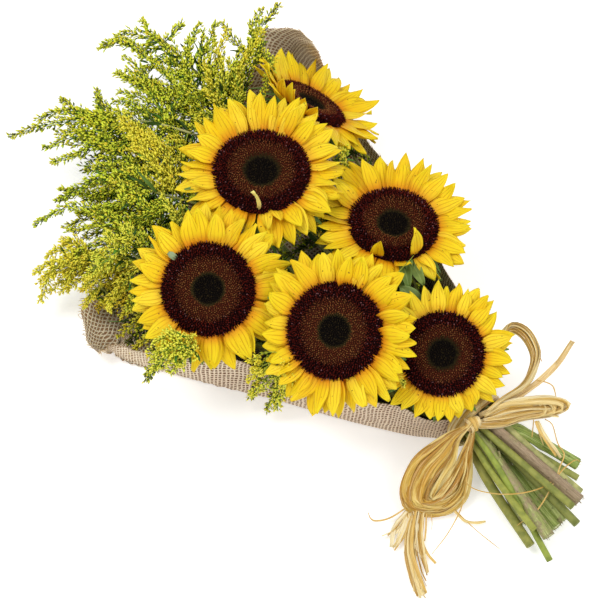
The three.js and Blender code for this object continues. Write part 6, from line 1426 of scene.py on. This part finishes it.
STRAYS = {
    "left_hook": (1.3, [[22.7, -62.9, 10.0], [12.7, -79.5, 9.0], [7.3, -100.6, 5.0], [0.9, -110.5, 3.0], [-4.2, -112.4, 3.0], [-8.0, -110.8, 5.0]]),
    "big_curve": (1.0, [[30.6, -42.9, 30.0], [35.4, -46.9, 30.0], [46.1, -46.3, 34.0], [60.6, -37.0, 36.0], [72.9, -20.8, 34.0], [79.2, -1.6, 30.0], [77.7, 20.0, 26.0], [78.1, 32.2, 22.0], [81.2, 34.5, 20.0]]),
    "right_curve": (1.1, [[42.1, 33.3, 40.0], [48.9, 34.8, 38.0], [61.7, 27.7, 34.0], [71.6, 24.3, 34.0], [76.1, 14.3, 32.0], [81.1, 2.7, 30.0], [86.6, -21.5, 24.0], [82.8, -39.3, 16.0]]),
    "right_short": (1.0, [[36.0, 27.0, 40.0], [40.0, 22.3, 36.0], [44.1, 17.2, 33.0]]),
    "right_hang_a": (2.4, [[38.7, 26.0, 42.0], [45.6, 23.0, 40.0], [57.7, 21.4, 34.0], [66.8, 21.0, 28.0]]),
    "right_hang_b": (3.0, [[39.1, 27.9, 40.0], [51.3, 23.4, 38.0], [64.5, 22.8, 32.0], [69.9, 23.3, 26.0]]),
    "right_hang_c": (1.6, [[38.6, 27.4, 40.0], [46.7, 22.4, 36.0], [54.0, 19.5, 31.0]]),
    "right_hang_d": (1.0, [[43.5, 24.6, 38.0], [49.3, 22.8, 36.0], [48.9, 21.4, 34.0]]),
    "right_tuft_a": (2.2, [[32.0, 34.8, 46.0], [33.0, 44.1, 48.0], [41.8, 50.8, 46.0]]),
    "right_tuft_b": (2.6, [[30.6, 30.2, 44.0], [39.8, 35.1, 44.0], [48.8, 41.5, 43.0]]),
    "upper_thin": (0.9, [[-1.6, 64.1, 52.0], [3.1, 66.9, 50.0], [8.2, 66.1, 47.0]]),
    "upper_thin_b": (1.0, [[17.7, 49.9, 50.0], [23.5, 54.6, 48.0], [29.0, 56.4, 46.0], [36.1, 52.2, 44.0]]),
    "low_thin": (1.0, [[10.3, -20.9, 34.0], [30.0, -40.8, 26.0], [40.2, -55.2, 12.0], [47.1, -77.4, 5.0], [50.4, -99.3, 3.0]]),
    "low_brush": (2.2, [[34.7, -61.7, 8.0], [41.0, -61.8, 6.0], [49.6, -61.3, 5.0], [56.5, -55.8, 4.0], [60.5, -49.4, 3.0]]),
    "low_long": (0.9, [[37.1, -60.9, 7.0], [49.1, -60.7, 5.0], [62.8, -60.4, 4.0], [83.4, -58.0, 2.0]]),
    "tail_a": (4.2, [[12.7, -79.5, 9.0], [13.8, -92.9, 7.0], [15.9, -105.2, 5.0], [15.7, -113.1, 3.0]]),
    "tail_b": (4.5, [[12.8, -81.7, 9.0], [17.0, -94.1, 7.0], [21.6, -103.8, 5.0], [27.1, -115.1, 3.0]]),
    "tail_c": (4.6, [[15.9, -80.7, 9.0], [26.3, -99.5, 6.0], [37.1, -112.1, 5.0], [53.5, -123.1, 4.0], [69.0, -127.6, 2.0]]),
    "tail_d": (3.6, [[16.9, -79.7, 9.0], [29.7, -98.8, 7.0], [40.7, -111.1, 6.0], [53.4, -118.8, 4.0], [68.6, -125.8, 2.0]]),
    "tail_e": (3.0, [[20.0, -78.7, 9.0], [29.7, -91.5, 6.0], [42.2, -102.4, 5.0], [58.6, -112.9, 3.0]]),
    "tail_f": (2.2, [[21.6, -79.3, 9.0], [36.1, -96.1, 6.0], [46.6, -101.7, 4.0], [57.7, -102.8, 3.0]]),
    "tail_g": (1.6, [[20.1, -80.9, 9.0], [33.6, -100.8, 6.0], [53.2, -114.6, 4.0], [62.6, -118.5, 3.0]]),
    "tail_h": (1.2, [[23.9, -78.5, 8.0], [34.8, -90.7, 6.0], [39.2, -96.1, 4.0]]),
    "tail_i": (3.4, [[4.0, -80.0, 10.0], [21.2, -94.2, 7.0], [35.0, -109.9, 5.0], [35.5, -114.8, 3.0]]),
    "tail_j": (3.2, [[11.9, -84.9, 9.0], [25.2, -92.2, 7.0], [34.5, -103.7, 5.0], [42.8, -110.0, 4.0]]),
    "tail_k": (0.7, [[27.5, -77.1, 8.0], [32.9, -81.4, 6.0], [36.8, -85.8, 5.0]]),
}
LOWER_LOOP = [[9.1, -17.5, 52.0], [2.4, -31.0, 50.0], [-2.1, -46.6, 46.0], [-5.3, -66.4, 38.0], [-0.4, -82.9, 26.0],
              [8.7, -89.3, 15.0], [17.6, -84.6, 9.0], [28.0, -76.3, 7.0], [34.4, -66.4, 7.0], [35.4, -50.8, 10.0],
              [27.9, -37.7, 20.0], [17.9, -26.8, 34.0], [12.8, -19.2, 42.0], [10.2, -15.5, 46.0]]

SLOT = [20.6, -51.0, 20.0]


def make_raffia():
    """The bow's pieces, each a soup under the name of the part it stands for."""
    knot = np.array(RAFFIA["knot"])
    made = {}
    rng = np.random.default_rng(13)
    s = made["loop_upper"] = Soup()
    bundle(s, RAFFIA["loop_upper"], 16, 1.9, 2.8, rng, knot, loop_faces(RAFFIA["loop_upper"], 0.35), (-50, 50), 0.05, 40)
    s = made["loop_right"] = Soup()
    right = knot + (np.array(RAFFIA["loop_right"]) - knot) * 0.97
    right[-1] = knot + (right[-1] - knot) * 0.6 - [0, 0, 1]
    right = np.vstack([right, knot + [-1.0, -1.0, -2.0]])
    bundle(s, right, 20, 2.5, 3.6, rng, knot, (0, 0, 1), (-60, 60), 0.12, 60)
    # the strips inside it close the loop up
    middle = right[:-1].mean(0)
    far_end = unit(right[np.argmax(np.linalg.norm(right - knot, axis=1))] - knot)
    off = right - middle
    along = (off @ far_end)[:, None] * far_end
    for share, many in ((0.55, 11), (0.15, 8)):
        bundle(s, middle + along * (0.72 + 0.28 * share) + (off - along) * share, many, 2.0, 4.2, rng, None, (0, 0, 1), (-30, 30), 0.04, 35)
    s = made["loop_lower"] = Soup()
    gold = ("#d4a43a", "#c08e28", "#e4c468", "#946818", "#ecd488", "#cb9b34", "#b07c20", "#e6ca78", "#d8b048")
    loop = np.array(LOWER_LOOP)
    slot = np.array(SLOT)
    long_way = unit(loop[5:8].mean(0) - knot)
    ends = np.linspace(0, 1, len(loop))
    pull = np.clip(np.exp(-(ends / 0.10) ** 2) + np.exp(-((ends - 1.0) / 0.10) ** 2), 0, 1)[:, None]
    for k in range(86):
        # the strips lie one inside another, each its own length, and leave only a narrow slot open
        share = 0.09 + 0.91 * ((k + rng.uniform()) / 86) ** 0.8
        reach = float(np.clip(0.58 + 0.42 * share + rng.normal(0, 0.06), 0.45, 1.0))
        off = loop - slot
        along = (off @ long_way)[:, None] * long_way
        ring = slot + along * reach + (off - along) * share
        ring = ring + (loop - ring) * pull + np.array([0, 0, 5.0]) * (1 - share)
        drift = np.clip(rng.normal(0, 1, 3), -1.4, 1.4)
        ring = ring + (np.sin(np.pi * ends) ** 0.7)[:, None] * drift * [1.2, 1.2, 1.6]
        ring = ring + np.sin(2 * np.pi * ends)[:, None] * np.clip(rng.normal(0, 1, 3), -1.4, 1.4) * [0.9, 0.9, 1.2]
        strip(s, ring, rng.uniform(2.2, 7.0), rng, loop_faces(ring, 0.7), rng.normal(0, 26), rng.normal(0, 50),
              (0.45, 0.45), gold[rng.integers(len(gold))], wave=0.4)
    s = made["tail_straight"] = Soup()
    for k in range(5):
        p = np.array(RAFFIA["tail_straight"]) + rng.normal(0, 0.9, 3)
        p[-1] += rng.normal(0, 1.2, 3)
        strip(s, p[: 5 - (k > 2)], rng.uniform(3.6, 5.8), rng, (0, 0, 1), rng.normal(0, 16), rng.normal(0, 20), (0.6, 0.9), "#e9cb90")
    groups = {"tail_long": ("tail_c", "tail_d", "tail_e", "tail_g", "tail_f"), "tail_mid": ("low_brush", "low_long", "low_thin", "tail_h", "tail_k"),
              "tail_side": ("tail_a", "tail_b", "tail_i", "tail_j", "left_hook"),
              "strand_right": ("right_hang_a", "right_hang_b", "right_hang_c", "right_hang_d", "right_curve", "right_short",
                               "right_tuft_a", "right_tuft_b", "upper_thin", "upper_thin_b", "big_curve")}
    for name, keys in groups.items():
        s = made[name] = Soup()
        for key in keys:
            width, pts = STRAYS[key]
            pts = np.array(pts)
            thin_one = width < 1.5
            strip(s, pts, width, rng, (0, 0, 1), rng.normal(0, 20), rng.normal(0, 60 if thin_one else 35),
                  (0.8, 0.5 if thin_one else 0.8), "#d9b05c" if thin_one else None, crease=0.25, step=1.8)
    # tails repeat beside themselves, split lengthwise as raffia does
    for name, key, more in (("tail_long", "tail_c", 5), ("tail_long", "tail_d", 5), ("tail_side", "tail_b", 2), ("tail_side", "tail_a", 2), ("tail_long", "tail_e", 2), ("tail_side", "tail_i", 2), ("tail_side", "tail_j", 2)):
        width, pts = STRAYS[key]
        for _ in range(more + 1):
            p = np.array(pts) + rng.normal(0, 1.9, 3) * np.array([1, 1, 0.4])
            p[-1] += rng.normal(0, 3.2, 3) * np.array([1, 1, 0.2])
            strip(made[name], p, width * rng.uniform(0.45, 0.95), rng, (0, 0, 1), rng.normal(0, 30), rng.normal(0, 40), (0.7, 0.7))
    return made

# ---- finishes ----
def petal_finish():
    m = Finish("ray petal", 0.6, 0.2)
    s, v, chance, _ = m.read("place")
    painted_orange_shade, other, pale, _ = m.read("tone")
    deep, mid, tip = srgb("#dc7a02"), srgb("#edc40a"), srgb("#f2d81a")
    c = m.mix(m.ramp(s, 0.08, 0.46), deep, mid)
    c = m.mix(m.ramp(s, 0.3, 0.95), c, tip)
    # painted shade: back-row and curled petals are painted orange, where shade falls between overlapping petals
    c = m.mix(m.math("MULTIPLY", painted_orange_shade, 0.55), c, srgb("#f0a808"))
    c = m.mix(m.math("MULTIPLY", m.ramp(other, 0.5, 1.0), 0.5), c, srgb("#ffe23a"))
    c = m.mix(m.math("MULTIPLY", pale, 0.75), c, srgb("#f8ee9c"))
    # a few long dark grooves, and finer veins that run with them
    wander = m.noise(m.vector(m.math("MULTIPLY", chance, 47.0), m.math("MULTIPLY", s, 1.6)), 1.0, 1.0)
    across = m.math("ADD", m.math("MULTIPLY", v, 2.3), m.math("ADD", m.math("MULTIPLY", wander, 0.5), chance))
    wave = m.math("ABSOLUTE", m.math("SUBTRACT", m.math("FRACT", m.math("ADD", across, 10.0)), 0.5))
    along = m.vector(m.math("MULTIPLY", v, 7.0), m.math("MULTIPLY", s, 1.1), m.math("MULTIPLY", chance, 60.0))
    veins = m.noise(along, 2.4, 2.0)
    broken = m.ramp(m.noise(m.vector(m.math("MULTIPLY", v, 3.0), m.math("MULTIPLY", s, 1.5), m.math("MULTIPLY", chance, 31.0)), 1.3, 1.0), 0.28, 0.5)
    groove = m.math("MULTIPLY", m.math("MULTIPLY", m.ramp(wave, 0.15, 0.02), m.ramp(s, 0.99, 0.75)), broken)
    c = m.mix(m.math("MULTIPLY", groove, 0.62), c, srgb("#c07c06"))
    c = m.mix(m.math("MULTIPLY", m.ramp(veins, 0.52, 0.72), 0.3), c, srgb("#e2a208"))
    blotch = m.noise(m.here(), 55.0, 2.0)
    c = m.mix(m.math("MULTIPLY", m.ramp(blotch, 0.52, 0.78), 0.3), c, srgb("#f0a80a"))
    speck = m.noise(m.here(), 520.0, 0.0)
    c = m.mix(m.math("MULTIPLY", m.ramp(speck, 0.80, 0.84), 0.75), c, srgb("#6e3a0c"))
    height = m.math("SUBTRACT", m.math("MULTIPLY", veins, 0.7), m.math("MULTIPLY", groove, 0.7))
    normal = m.bump(height, 0.6, 0.0007)
    m.p.inputs["Subsurface Weight"].default_value = 0.12
    m.p.inputs["Subsurface Radius"].default_value = (1.0, 0.45, 0.05)
    m.p.inputs["Subsurface Scale"].default_value = 0.003
    return m.finish(c, normal)


def disc_finish():
    m = Finish("disc florets", 0.85, 0.08)
    q, along, chance, kind = m.read("place")
    _, other, _, _ = m.read("tone")
    core = m.mix(m.ramp(along, 0.2, 1.0), srgb("#060403"), m.mix(m.ramp(chance, 0.6, 1.0), srgb("#1a120c"), srgb("#342a16")))
    ring = m.math("MULTIPLY", m.ramp(q, 0.29, 0.35), m.ramp(q, 0.43, 0.38))
    core = m.mix(m.math("MULTIPLY", ring, 0.7), core, srgb("#3c3418"))
    mid_tip = m.mix(m.ramp(chance, 0.35, 0.9), srgb("#76391f"), srgb("#9c6a3a"))
    mid = m.mix(m.ramp(along, 0.4, 1.0), srgb("#3e180b"), mid_tip)
    out_tip = m.mix(m.ramp(other, 0.25, 1.0), srgb("#360907"), srgb("#6a1d12"))
    out_tip = m.mix(m.math("MULTIPLY", m.ramp(chance, 0.93, 0.98), 0.5), out_tip, srgb("#a87478"))
    outer = m.mix(m.ramp(along, 0.3, 1.0), srgb("#170304"), out_tip)
    edge = m.noise(m.here(), 160.0, 2.0)
    shift = m.math("ADD", q, m.math("MULTIPLY", m.math("SUBTRACT", edge, 0.5), 0.10))
    c = m.mix(m.ramp(shift, 0.33, 0.41), core, mid)
    c = m.mix(m.ramp(shift, 0.58, 0.74), c, outer)
    return m.finish(c, m.bump(m.noise(m.here(), 1600.0, 2.0), 0.25, 0.0003))


def green_finish(name, rough=0.55):
    """Calyx, bracts and leaves: their own green, with veins, a paler edge and small fine hairs."""
    m = Finish(name, rough, 0.35)
    s, v, chance, kind = m.read("place")
    n = m.node("ShaderNodeAttribute", attribute_name="tone")
    c = n.outputs["Color"]
    c = m.mix(m.math("MULTIPLY", m.ramp(m.noise(m.here(), 130.0, 3.0), 0.35, 0.75), 0.45), c, srgb("#3f5a22"))
    c = m.mix(m.math("MULTIPLY", m.ramp(m.math("ABSOLUTE", v), 0.16, 0.0), 0.35), c, srgb("#a3b86a"))
    c = m.mix(m.math("MULTIPLY", m.ramp(m.math("ABSOLUTE", v), 0.8, 1.0), 0.3), c, srgb("#93ac54"))
    hairs = m.noise(m.vector(m.math("MULTIPLY", v, 10.0), m.math("MULTIPLY", s, 26.0), chance), 2.0, 2.0)
    return m.finish(c, m.bump(hairs, 0.4, 0.0005))


def stem_finish():
    m = Finish("stems", 0.55, 0.35)
    s, angle, chance, kind = m.read("place")
    n = m.node("ShaderNodeAttribute", attribute_name="tone")
    c, woody = n.outputs["Color"], n.outputs["Alpha"]
    across = m.math("SINE", m.math("MULTIPLY", angle, 2 * math.pi))
    across2 = m.math("COSINE", m.math("MULTIPLY", angle, 2 * math.pi))
    streak = m.noise(m.vector(m.math("MULTIPLY", across, 4.5), m.math("MULTIPLY", across2, 4.5), m.math("ADD", m.math("MULTIPLY", s, 9.0), m.math("MULTIPLY", chance, 31.0))), 1.6, 4.0, 0.65)
    c = m.mix(m.math("MULTIPLY", m.ramp(streak, 0.50, 0.62), 0.75), c, srgb("#54662a"))
    c = m.mix(m.math("MULTIPLY", m.ramp(streak, 0.47, 0.36), 0.65), c, srgb("#cdd394"))
    blotch = m.noise(m.here(), 95.0, 4.0, 0.7)
    brown = m.mix(m.ramp(streak, 0.35, 0.65), srgb("#7d6650"), srgb("#b8a284"))
    c = m.mix(m.math("MULTIPLY", m.ramp(m.math("ADD", blotch, m.math("MULTIPLY", woody, 0.42)), 0.66, 0.86), 0.85), c, brown)
    speck = m.noise(m.here(), 420.0, 1.0)
    c = m.mix(m.math("MULTIPLY", m.ramp(speck, 0.66, 0.72), 0.5), c, srgb("#3b3a1e"))
    pith = m.mix(m.ramp(m.noise(m.here(), 700.0, 2.0), 0.4, 0.6), srgb("#d9d9ad"), srgb("#a9b073"))
    c = m.mix(m.math("GREATER_THAN", kind, 1.5), c, pith)
    return m.finish(c, m.bump(m.math("ADD", streak, m.math("MULTIPLY", speck, 0.4)), 0.6, 0.0008))


def goldenrod_finish():
    m = Finish("goldenrod", 0.6, 0.3)
    s, share, chance, kind = m.read("place")
    n = m.node("ShaderNodeAttribute", attribute_name="tone")
    plain = n.outputs["Color"]
    sep = m.node("ShaderNodeSeparateColor")
    m.t.links.new(plain, sep.inputs[0])
    yellow, bright, opened = sep.outputs
    plain = m.mix(m.math("MULTIPLY", m.ramp(m.noise(m.here(), 160.0, 2.0), 0.4, 0.7), 0.4), plain, srgb("#3c5520"))
    # the bright channel holds each kind's own brightness together with painted light and shade: upper sides lit, under
    # sides and the dark plumes shaded
    base = m.mix(bright, srgb("#163806"), srgb("#7eaa1a"))
    base = m.mix(m.math("MULTIPLY", chance, 0.5), base, srgb("#3a660e"))
    base = m.mix(m.math("MULTIPLY", m.ramp(yellow, 0.6, 1.0), 0.88), base, srgb("#f2e22c"))
    base = m.mix(opened, base, srgb("#8a5a12"))
    tip = m.mix(yellow, srgb("#b6dc2c"), srgb("#ffe81c"))
    tip = m.mix(m.math("MULTIPLY", bright, 0.75), tip, srgb("#fff85c"))
    tip = m.mix(m.math("MULTIPLY", m.ramp(chance, 0.86, 0.98), 0.5), tip, srgb("#f2b01c"))
    tip = m.mix(opened, tip, srgb("#e09a14"))
    where = m.math("SUBTRACT", s, m.math("MULTIPLY", yellow, 0.25))
    bud = m.mix(m.ramp(where, 0.12, 0.5), base, tip)
    # painted shade: buds near the middle of a plume, among its twigs, are painted dark green, less so on yellow and
    # bright plumes
    inner = m.math("MULTIPLY", m.ramp(share, 0.5, 0.1), m.math("SUBTRACT", 1.0, m.math("MULTIPLY", m.math("MAXIMUM", bright, m.ramp(yellow, 0.5, 1.0)), 0.72)))
    bud = m.mix(inner, bud, m.mix(0.75, bud, srgb("#22330c")))
    # painted shade: buds with low brightness, on under sides and in the dark plumes deep in the mass, are painted
    # darker still
    bud = m.mix(m.ramp(bright, 0.25, 0.0), bud, m.mix(0.8, bud, srgb("#1f2c0c")))
    c = m.mix(m.math("GREATER_THAN", kind, 5.5), plain, bud)
    return m.finish(c)


def burlap_finish(pitch=3.4):
    """An open plain weave: threads over and under each other, uneven, with a hole in each square that is painted dark,
    as painted shade seen through it.
    """
    m = Finish("burlap", 0.92, 0.12)
    x, y, fold, tight_and_painted_light = m.read("place")
    painted_inner_shade, _, _, _ = m.read("tone")
    wobble = m.noise(m.here(), 30.0, 2.0)
    fine = m.noise(m.here(), 220.0, 1.0)
    wob = m.math("MULTIPLY", m.math("SUBTRACT", wobble, 0.5), 1.8)
    fin = m.math("MULTIPLY", m.math("SUBTRACT", fine, 0.5), 0.5)
    a = m.math("ADD", m.math("ADD", m.math("DIVIDE", x, pitch), wob), fin)
    b = m.math("ADD", m.math("SUBTRACT", m.math("DIVIDE", y, pitch), wob), fin)
    fa, fb = m.math("FRACT", m.math("ADD", a, 400.0)), m.math("FRACT", m.math("ADD", b, 400.0))
    # distance from the middle of each thread, 0 there and 1 halfway to the next
    da = m.math("ABSOLUTE", m.math("MULTIPLY", m.math("SUBTRACT", fa, 0.5), 2.0))
    db = m.math("ABSOLUTE", m.math("MULTIPLY", m.math("SUBTRACT", fb, 0.5), 2.0))
    ia, ib = m.math("FLOOR", m.math("ADD", a, 400.0)), m.math("FLOOR", m.math("ADD", b, 400.0))
    odd = m.math("MODULO", m.math("ADD", ia, ib), 2.0)
    # each thread has its own thickness
    ta = m.noise(m.vector(m.math("MULTIPLY", ia, 0.77), m.math("MULTIPLY", b, 0.10), 3.0), 1.0, 1.0)
    tb = m.noise(m.vector(m.math("MULTIPLY", ib, 0.71), m.math("MULTIPLY", a, 0.10), 9.0), 1.0, 1.0)
    close = m.math("MULTIPLY", tight_and_painted_light, 0.3)
    wa = m.math("ADD", m.math("ADD", m.math("MULTIPLY", ta, 0.40), 0.28), close)
    wb = m.math("ADD", m.math("ADD", m.math("MULTIPLY", tb, 0.40), 0.28), close)
    ra = m.math("SUBTRACT", 1.0, m.math("DIVIDE", da, wa))
    rb = m.math("SUBTRACT", 1.0, m.math("DIVIDE", db, wb))
    over = m.ramp(odd, 0.0, 1.0, smooth=False)
    on_a, on_b = m.math("GREATER_THAN", ra, 0.0), m.math("GREATER_THAN", rb, 0.0)
    ha = m.math("MULTIPLY", m.math("ADD", m.math("MINIMUM", m.math("MULTIPLY", ra, 1.8), 1.0), m.math("MULTIPLY", over, 0.5)), on_a)
    hb = m.math("MULTIPLY", m.math("ADD", m.math("MINIMUM", m.math("MULTIPLY", rb, 1.8), 1.0), m.math("MULTIPLY", m.math("SUBTRACT", 1.0, over), 0.5)), on_b)
    height = m.math("MAXIMUM", ha, hb)
    thread = m.math("MAXIMUM", on_a, on_b)
    fibre = m.noise(m.vector(m.math("MULTIPLY", x, 1.4), m.math("MULTIPLY", y, 1.4), 0.0), 1.6, 4.0, 0.7)
    # painted shade and highlight: each thread is painted paler on its crest and where it passes over, darker at its
    # sides and where it dips under
    c = m.mix(m.ramp(height, 0.1, 1.0), srgb("#b48c6c"), srgb("#f8e6cc"))
    c = m.mix(m.math("MULTIPLY", m.ramp(fibre, 0.45, 0.7), 0.5), c, srgb("#fbeedb"))
    c = m.mix(m.math("MULTIPLY", m.ramp(fibre, 0.5, 0.3), 0.4), c, srgb("#b08a6c"))
    c = m.mix(m.math("MULTIPLY", m.ramp(m.noise(m.here(), 16.0, 3.0), 0.4, 0.7), 0.25), c, srgb("#dcb89e"))
    # painted light: the opened cloth at the mouth is painted paler than the gathered neck, standing in for light that
    # falls short on its inner side
    c = m.mix(m.math("MULTIPLY", m.ramp(tight_and_painted_light, 0.0, -0.26), 0.92), c, srgb("#fff0d4"))
    c = m.mix(m.math("MULTIPLY", m.ramp(tight_and_painted_light, 0.12, 0.5), 0.4), c, srgb("#9a7858"))
    # painted shade: the holes between threads are painted dark, as the shaded inside seen through them, and paler at
    # the mouth as painted light
    c = m.mix(m.math("SUBTRACT", 1.0, thread), c, m.mix(m.ramp(tight_and_painted_light, 0.0, -0.26), srgb("#7a583e"), srgb("#a4805e")))
    # painted shade: the inner face is painted near-black down among the stems
    c = m.mix(m.math("MULTIPLY", painted_inner_shade, 0.9), c, srgb("#1f1910"))
    return m.finish(c, m.bump(m.math("ADD", height, m.math("MULTIPLY", fibre, 0.3)), 0.8, 0.0007))


def raffia_finish():
    m = Finish("raffia", 0.42, 0.45)
    x, y, chance, kind = m.read("place")
    n = m.node("ShaderNodeAttribute", attribute_name="tone")
    c = n.outputs["Color"]
    off = m.math("MULTIPLY", chance, 40.0)
    streak = m.noise(m.vector(m.math("MULTIPLY", x, 0.055), m.math("MULTIPLY", y, 3.2), off), 1.0, 4.0, 0.65)
    broad = m.noise(m.vector(m.math("MULTIPLY", x, 0.03), m.math("MULTIPLY", y, 0.7), off), 1.0, 2.0)
    c = m.mix(m.math("MULTIPLY", m.ramp(streak, 0.47, 0.66), 0.55), c, srgb("#b4862a"))
    c = m.mix(m.math("MULTIPLY", m.ramp(streak, 0.5, 0.34), 0.55), c, srgb("#fbecbc"))
    c = m.mix(m.math("MULTIPLY", m.ramp(broad, 0.5, 0.75), 0.45), c, srgb("#c8942e"))
    m.p.inputs["Subsurface Weight"].default_value = 0.06
    m.p.inputs["Subsurface Radius"].default_value = (1.0, 0.7, 0.3)
    m.p.inputs["Subsurface Scale"].default_value = 0.002
    return m.finish(c, m.bump(m.math("ADD", streak, m.math("MULTIPLY", broad, 0.5)), 0.6, 0.0006))


def floor_finish():
    m = Finish("floor", 0.95, 0.0)
    m.p.inputs["Emission Color"].default_value = (1, 1, 1, 1)
    m.p.inputs["Emission Strength"].default_value = 0.35
    return m.finish(srgb("#f2f2f1"))

# ---- everything in its place ----
finishes = {
    "petals": petal_finish(), "disc": disc_finish(), "bracts": green_finish("bracts"), "stems": stem_finish(),
    "goldenrod": goldenrod_finish(), "burlap": burlap_finish(), "raffia": raffia_finish(),
}

for head in HEADS:
    k = head[0]
    make_petals(head).mesh(f"petals_{k}", finishes["petals"], "petals", [f"sunflower_{k}_ray_petals"])
    make_disc(head).mesh(f"disc_{k}", finishes["disc"], "disc", [f"sunflower_{k}_disc"])
    make_calyx(head).mesh(f"calyx_{k}", finishes["bracts"], "bracts", [f"sunflower_{k}_calyx"])
for stem in STEMS:
    make_stem(stem).mesh(f"stem_{stem[0]}", finishes["stems"], "stems", [f"sunflower_{stem[0]}_stem"])
for number, radius, path, plumes in GOLDENROD:
    make_spray(number, radius, path, plumes).mesh(
        f"goldenrod_{number}", finishes["goldenrod"], "goldenrod", [f"goldenrod_spray_{number}"])

cloth, cloth_grid, cloth_t = make_burlap()
burlap = cloth.mesh("burlap", finishes["burlap"], "burlap", ["burlap_wrap"])
fray = make_frays(cloth_grid).mesh("burlap_fray", finishes["raffia"], "burlap")

make_band().mesh("raffia_wraps", finishes["raffia"], "raffia", ["raffia_band"])
make_knot().mesh("raffia_knot_wraps", finishes["raffia"], "raffia", ["raffia_knot"])
for name, soup in make_raffia().items():
    soup.mesh(f"bow_{name}", finishes["raffia"], "raffia", [f"raffia_{name}"])

# ---- studio ----
floor_mesh = bpy.data.meshes.new("floor")
floor_mesh.from_pydata([(-4, -4, 0), (4, -4, 0), (4, 4, 0), (-4, 4, 0)], [], [(0, 1, 2, 3)])
floor_mesh.materials.append(floor_finish())
floor = bpy.data.objects.new("floor", floor_mesh)
floor.location.z = -0.0002
bpy.context.scene.collection.objects.link(floor)

world = bpy.data.worlds.new("studio")
world.use_nodes = True
world.node_tree.nodes["Background"].inputs["Color"].default_value = (1.0, 1.0, 1.0, 1.0)
world.node_tree.nodes["Background"].inputs["Strength"].default_value = 0.68
bpy.context.scene.world = world


def soft_light(name, at, power, size, colour=(1, 1, 1)):
    data = bpy.data.lights.new(name, "AREA")
    data.shape, data.size, data.energy, data.color = "DISK", size, power, colour
    ob = bpy.data.objects.new(name, data)
    at = np.array(at, float)
    z = unit(at - np.array([0.0, 0.0, 0.05]))
    x = unit(np.cross([0, 0, 1.0], z))
    y = np.cross(z, x)
    ob.matrix_world = Matrix([[*map(float, (x[k], y[k], z[k])), float(at[k])] for k in range(3)] + [[0, 0, 0, 1]])
    bpy.context.scene.collection.objects.link(ob)


# the key stands at the upper left of the picture, with a broad fill from the front
key = BACK * 1.1 - RIGHT * 0.7 + np.cross(BACK, RIGHT) * 0.6 + np.array([0, 0, 0.4])
soft_light("key", key, 12.5, 0.7, (1.0, 0.985, 0.96))
fill = BACK * 1.3 + RIGHT * 1.0 + np.array([0, 0, 0.2])
soft_light("fill", fill, 9, 1.2, (1.0, 1.0, 1.0))

camera_data = bpy.data.cameras.new("camera")
camera_data.lens, camera_data.sensor_width = LENS, 36.0
camera_data.clip_start, camera_data.clip_end = 0.05, 20.0
camera = bpy.data.objects.new("camera", camera_data)
stand = (LOOK_AT + BACK * DISTANCE + ORIGIN) / 1000
camera.matrix_world = Matrix([[float(RIGHT[k]), float(UP[k]), float(BACK[k]), float(stand[k])] for k in range(3)] + [[0, 0, 0, 1]])
bpy.context.scene.collection.objects.link(camera)
bpy.context.scene.camera = camera
bpy.context.scene.view_settings.view_transform = "Standard"
bpy.context.scene.view_settings.look = "None"
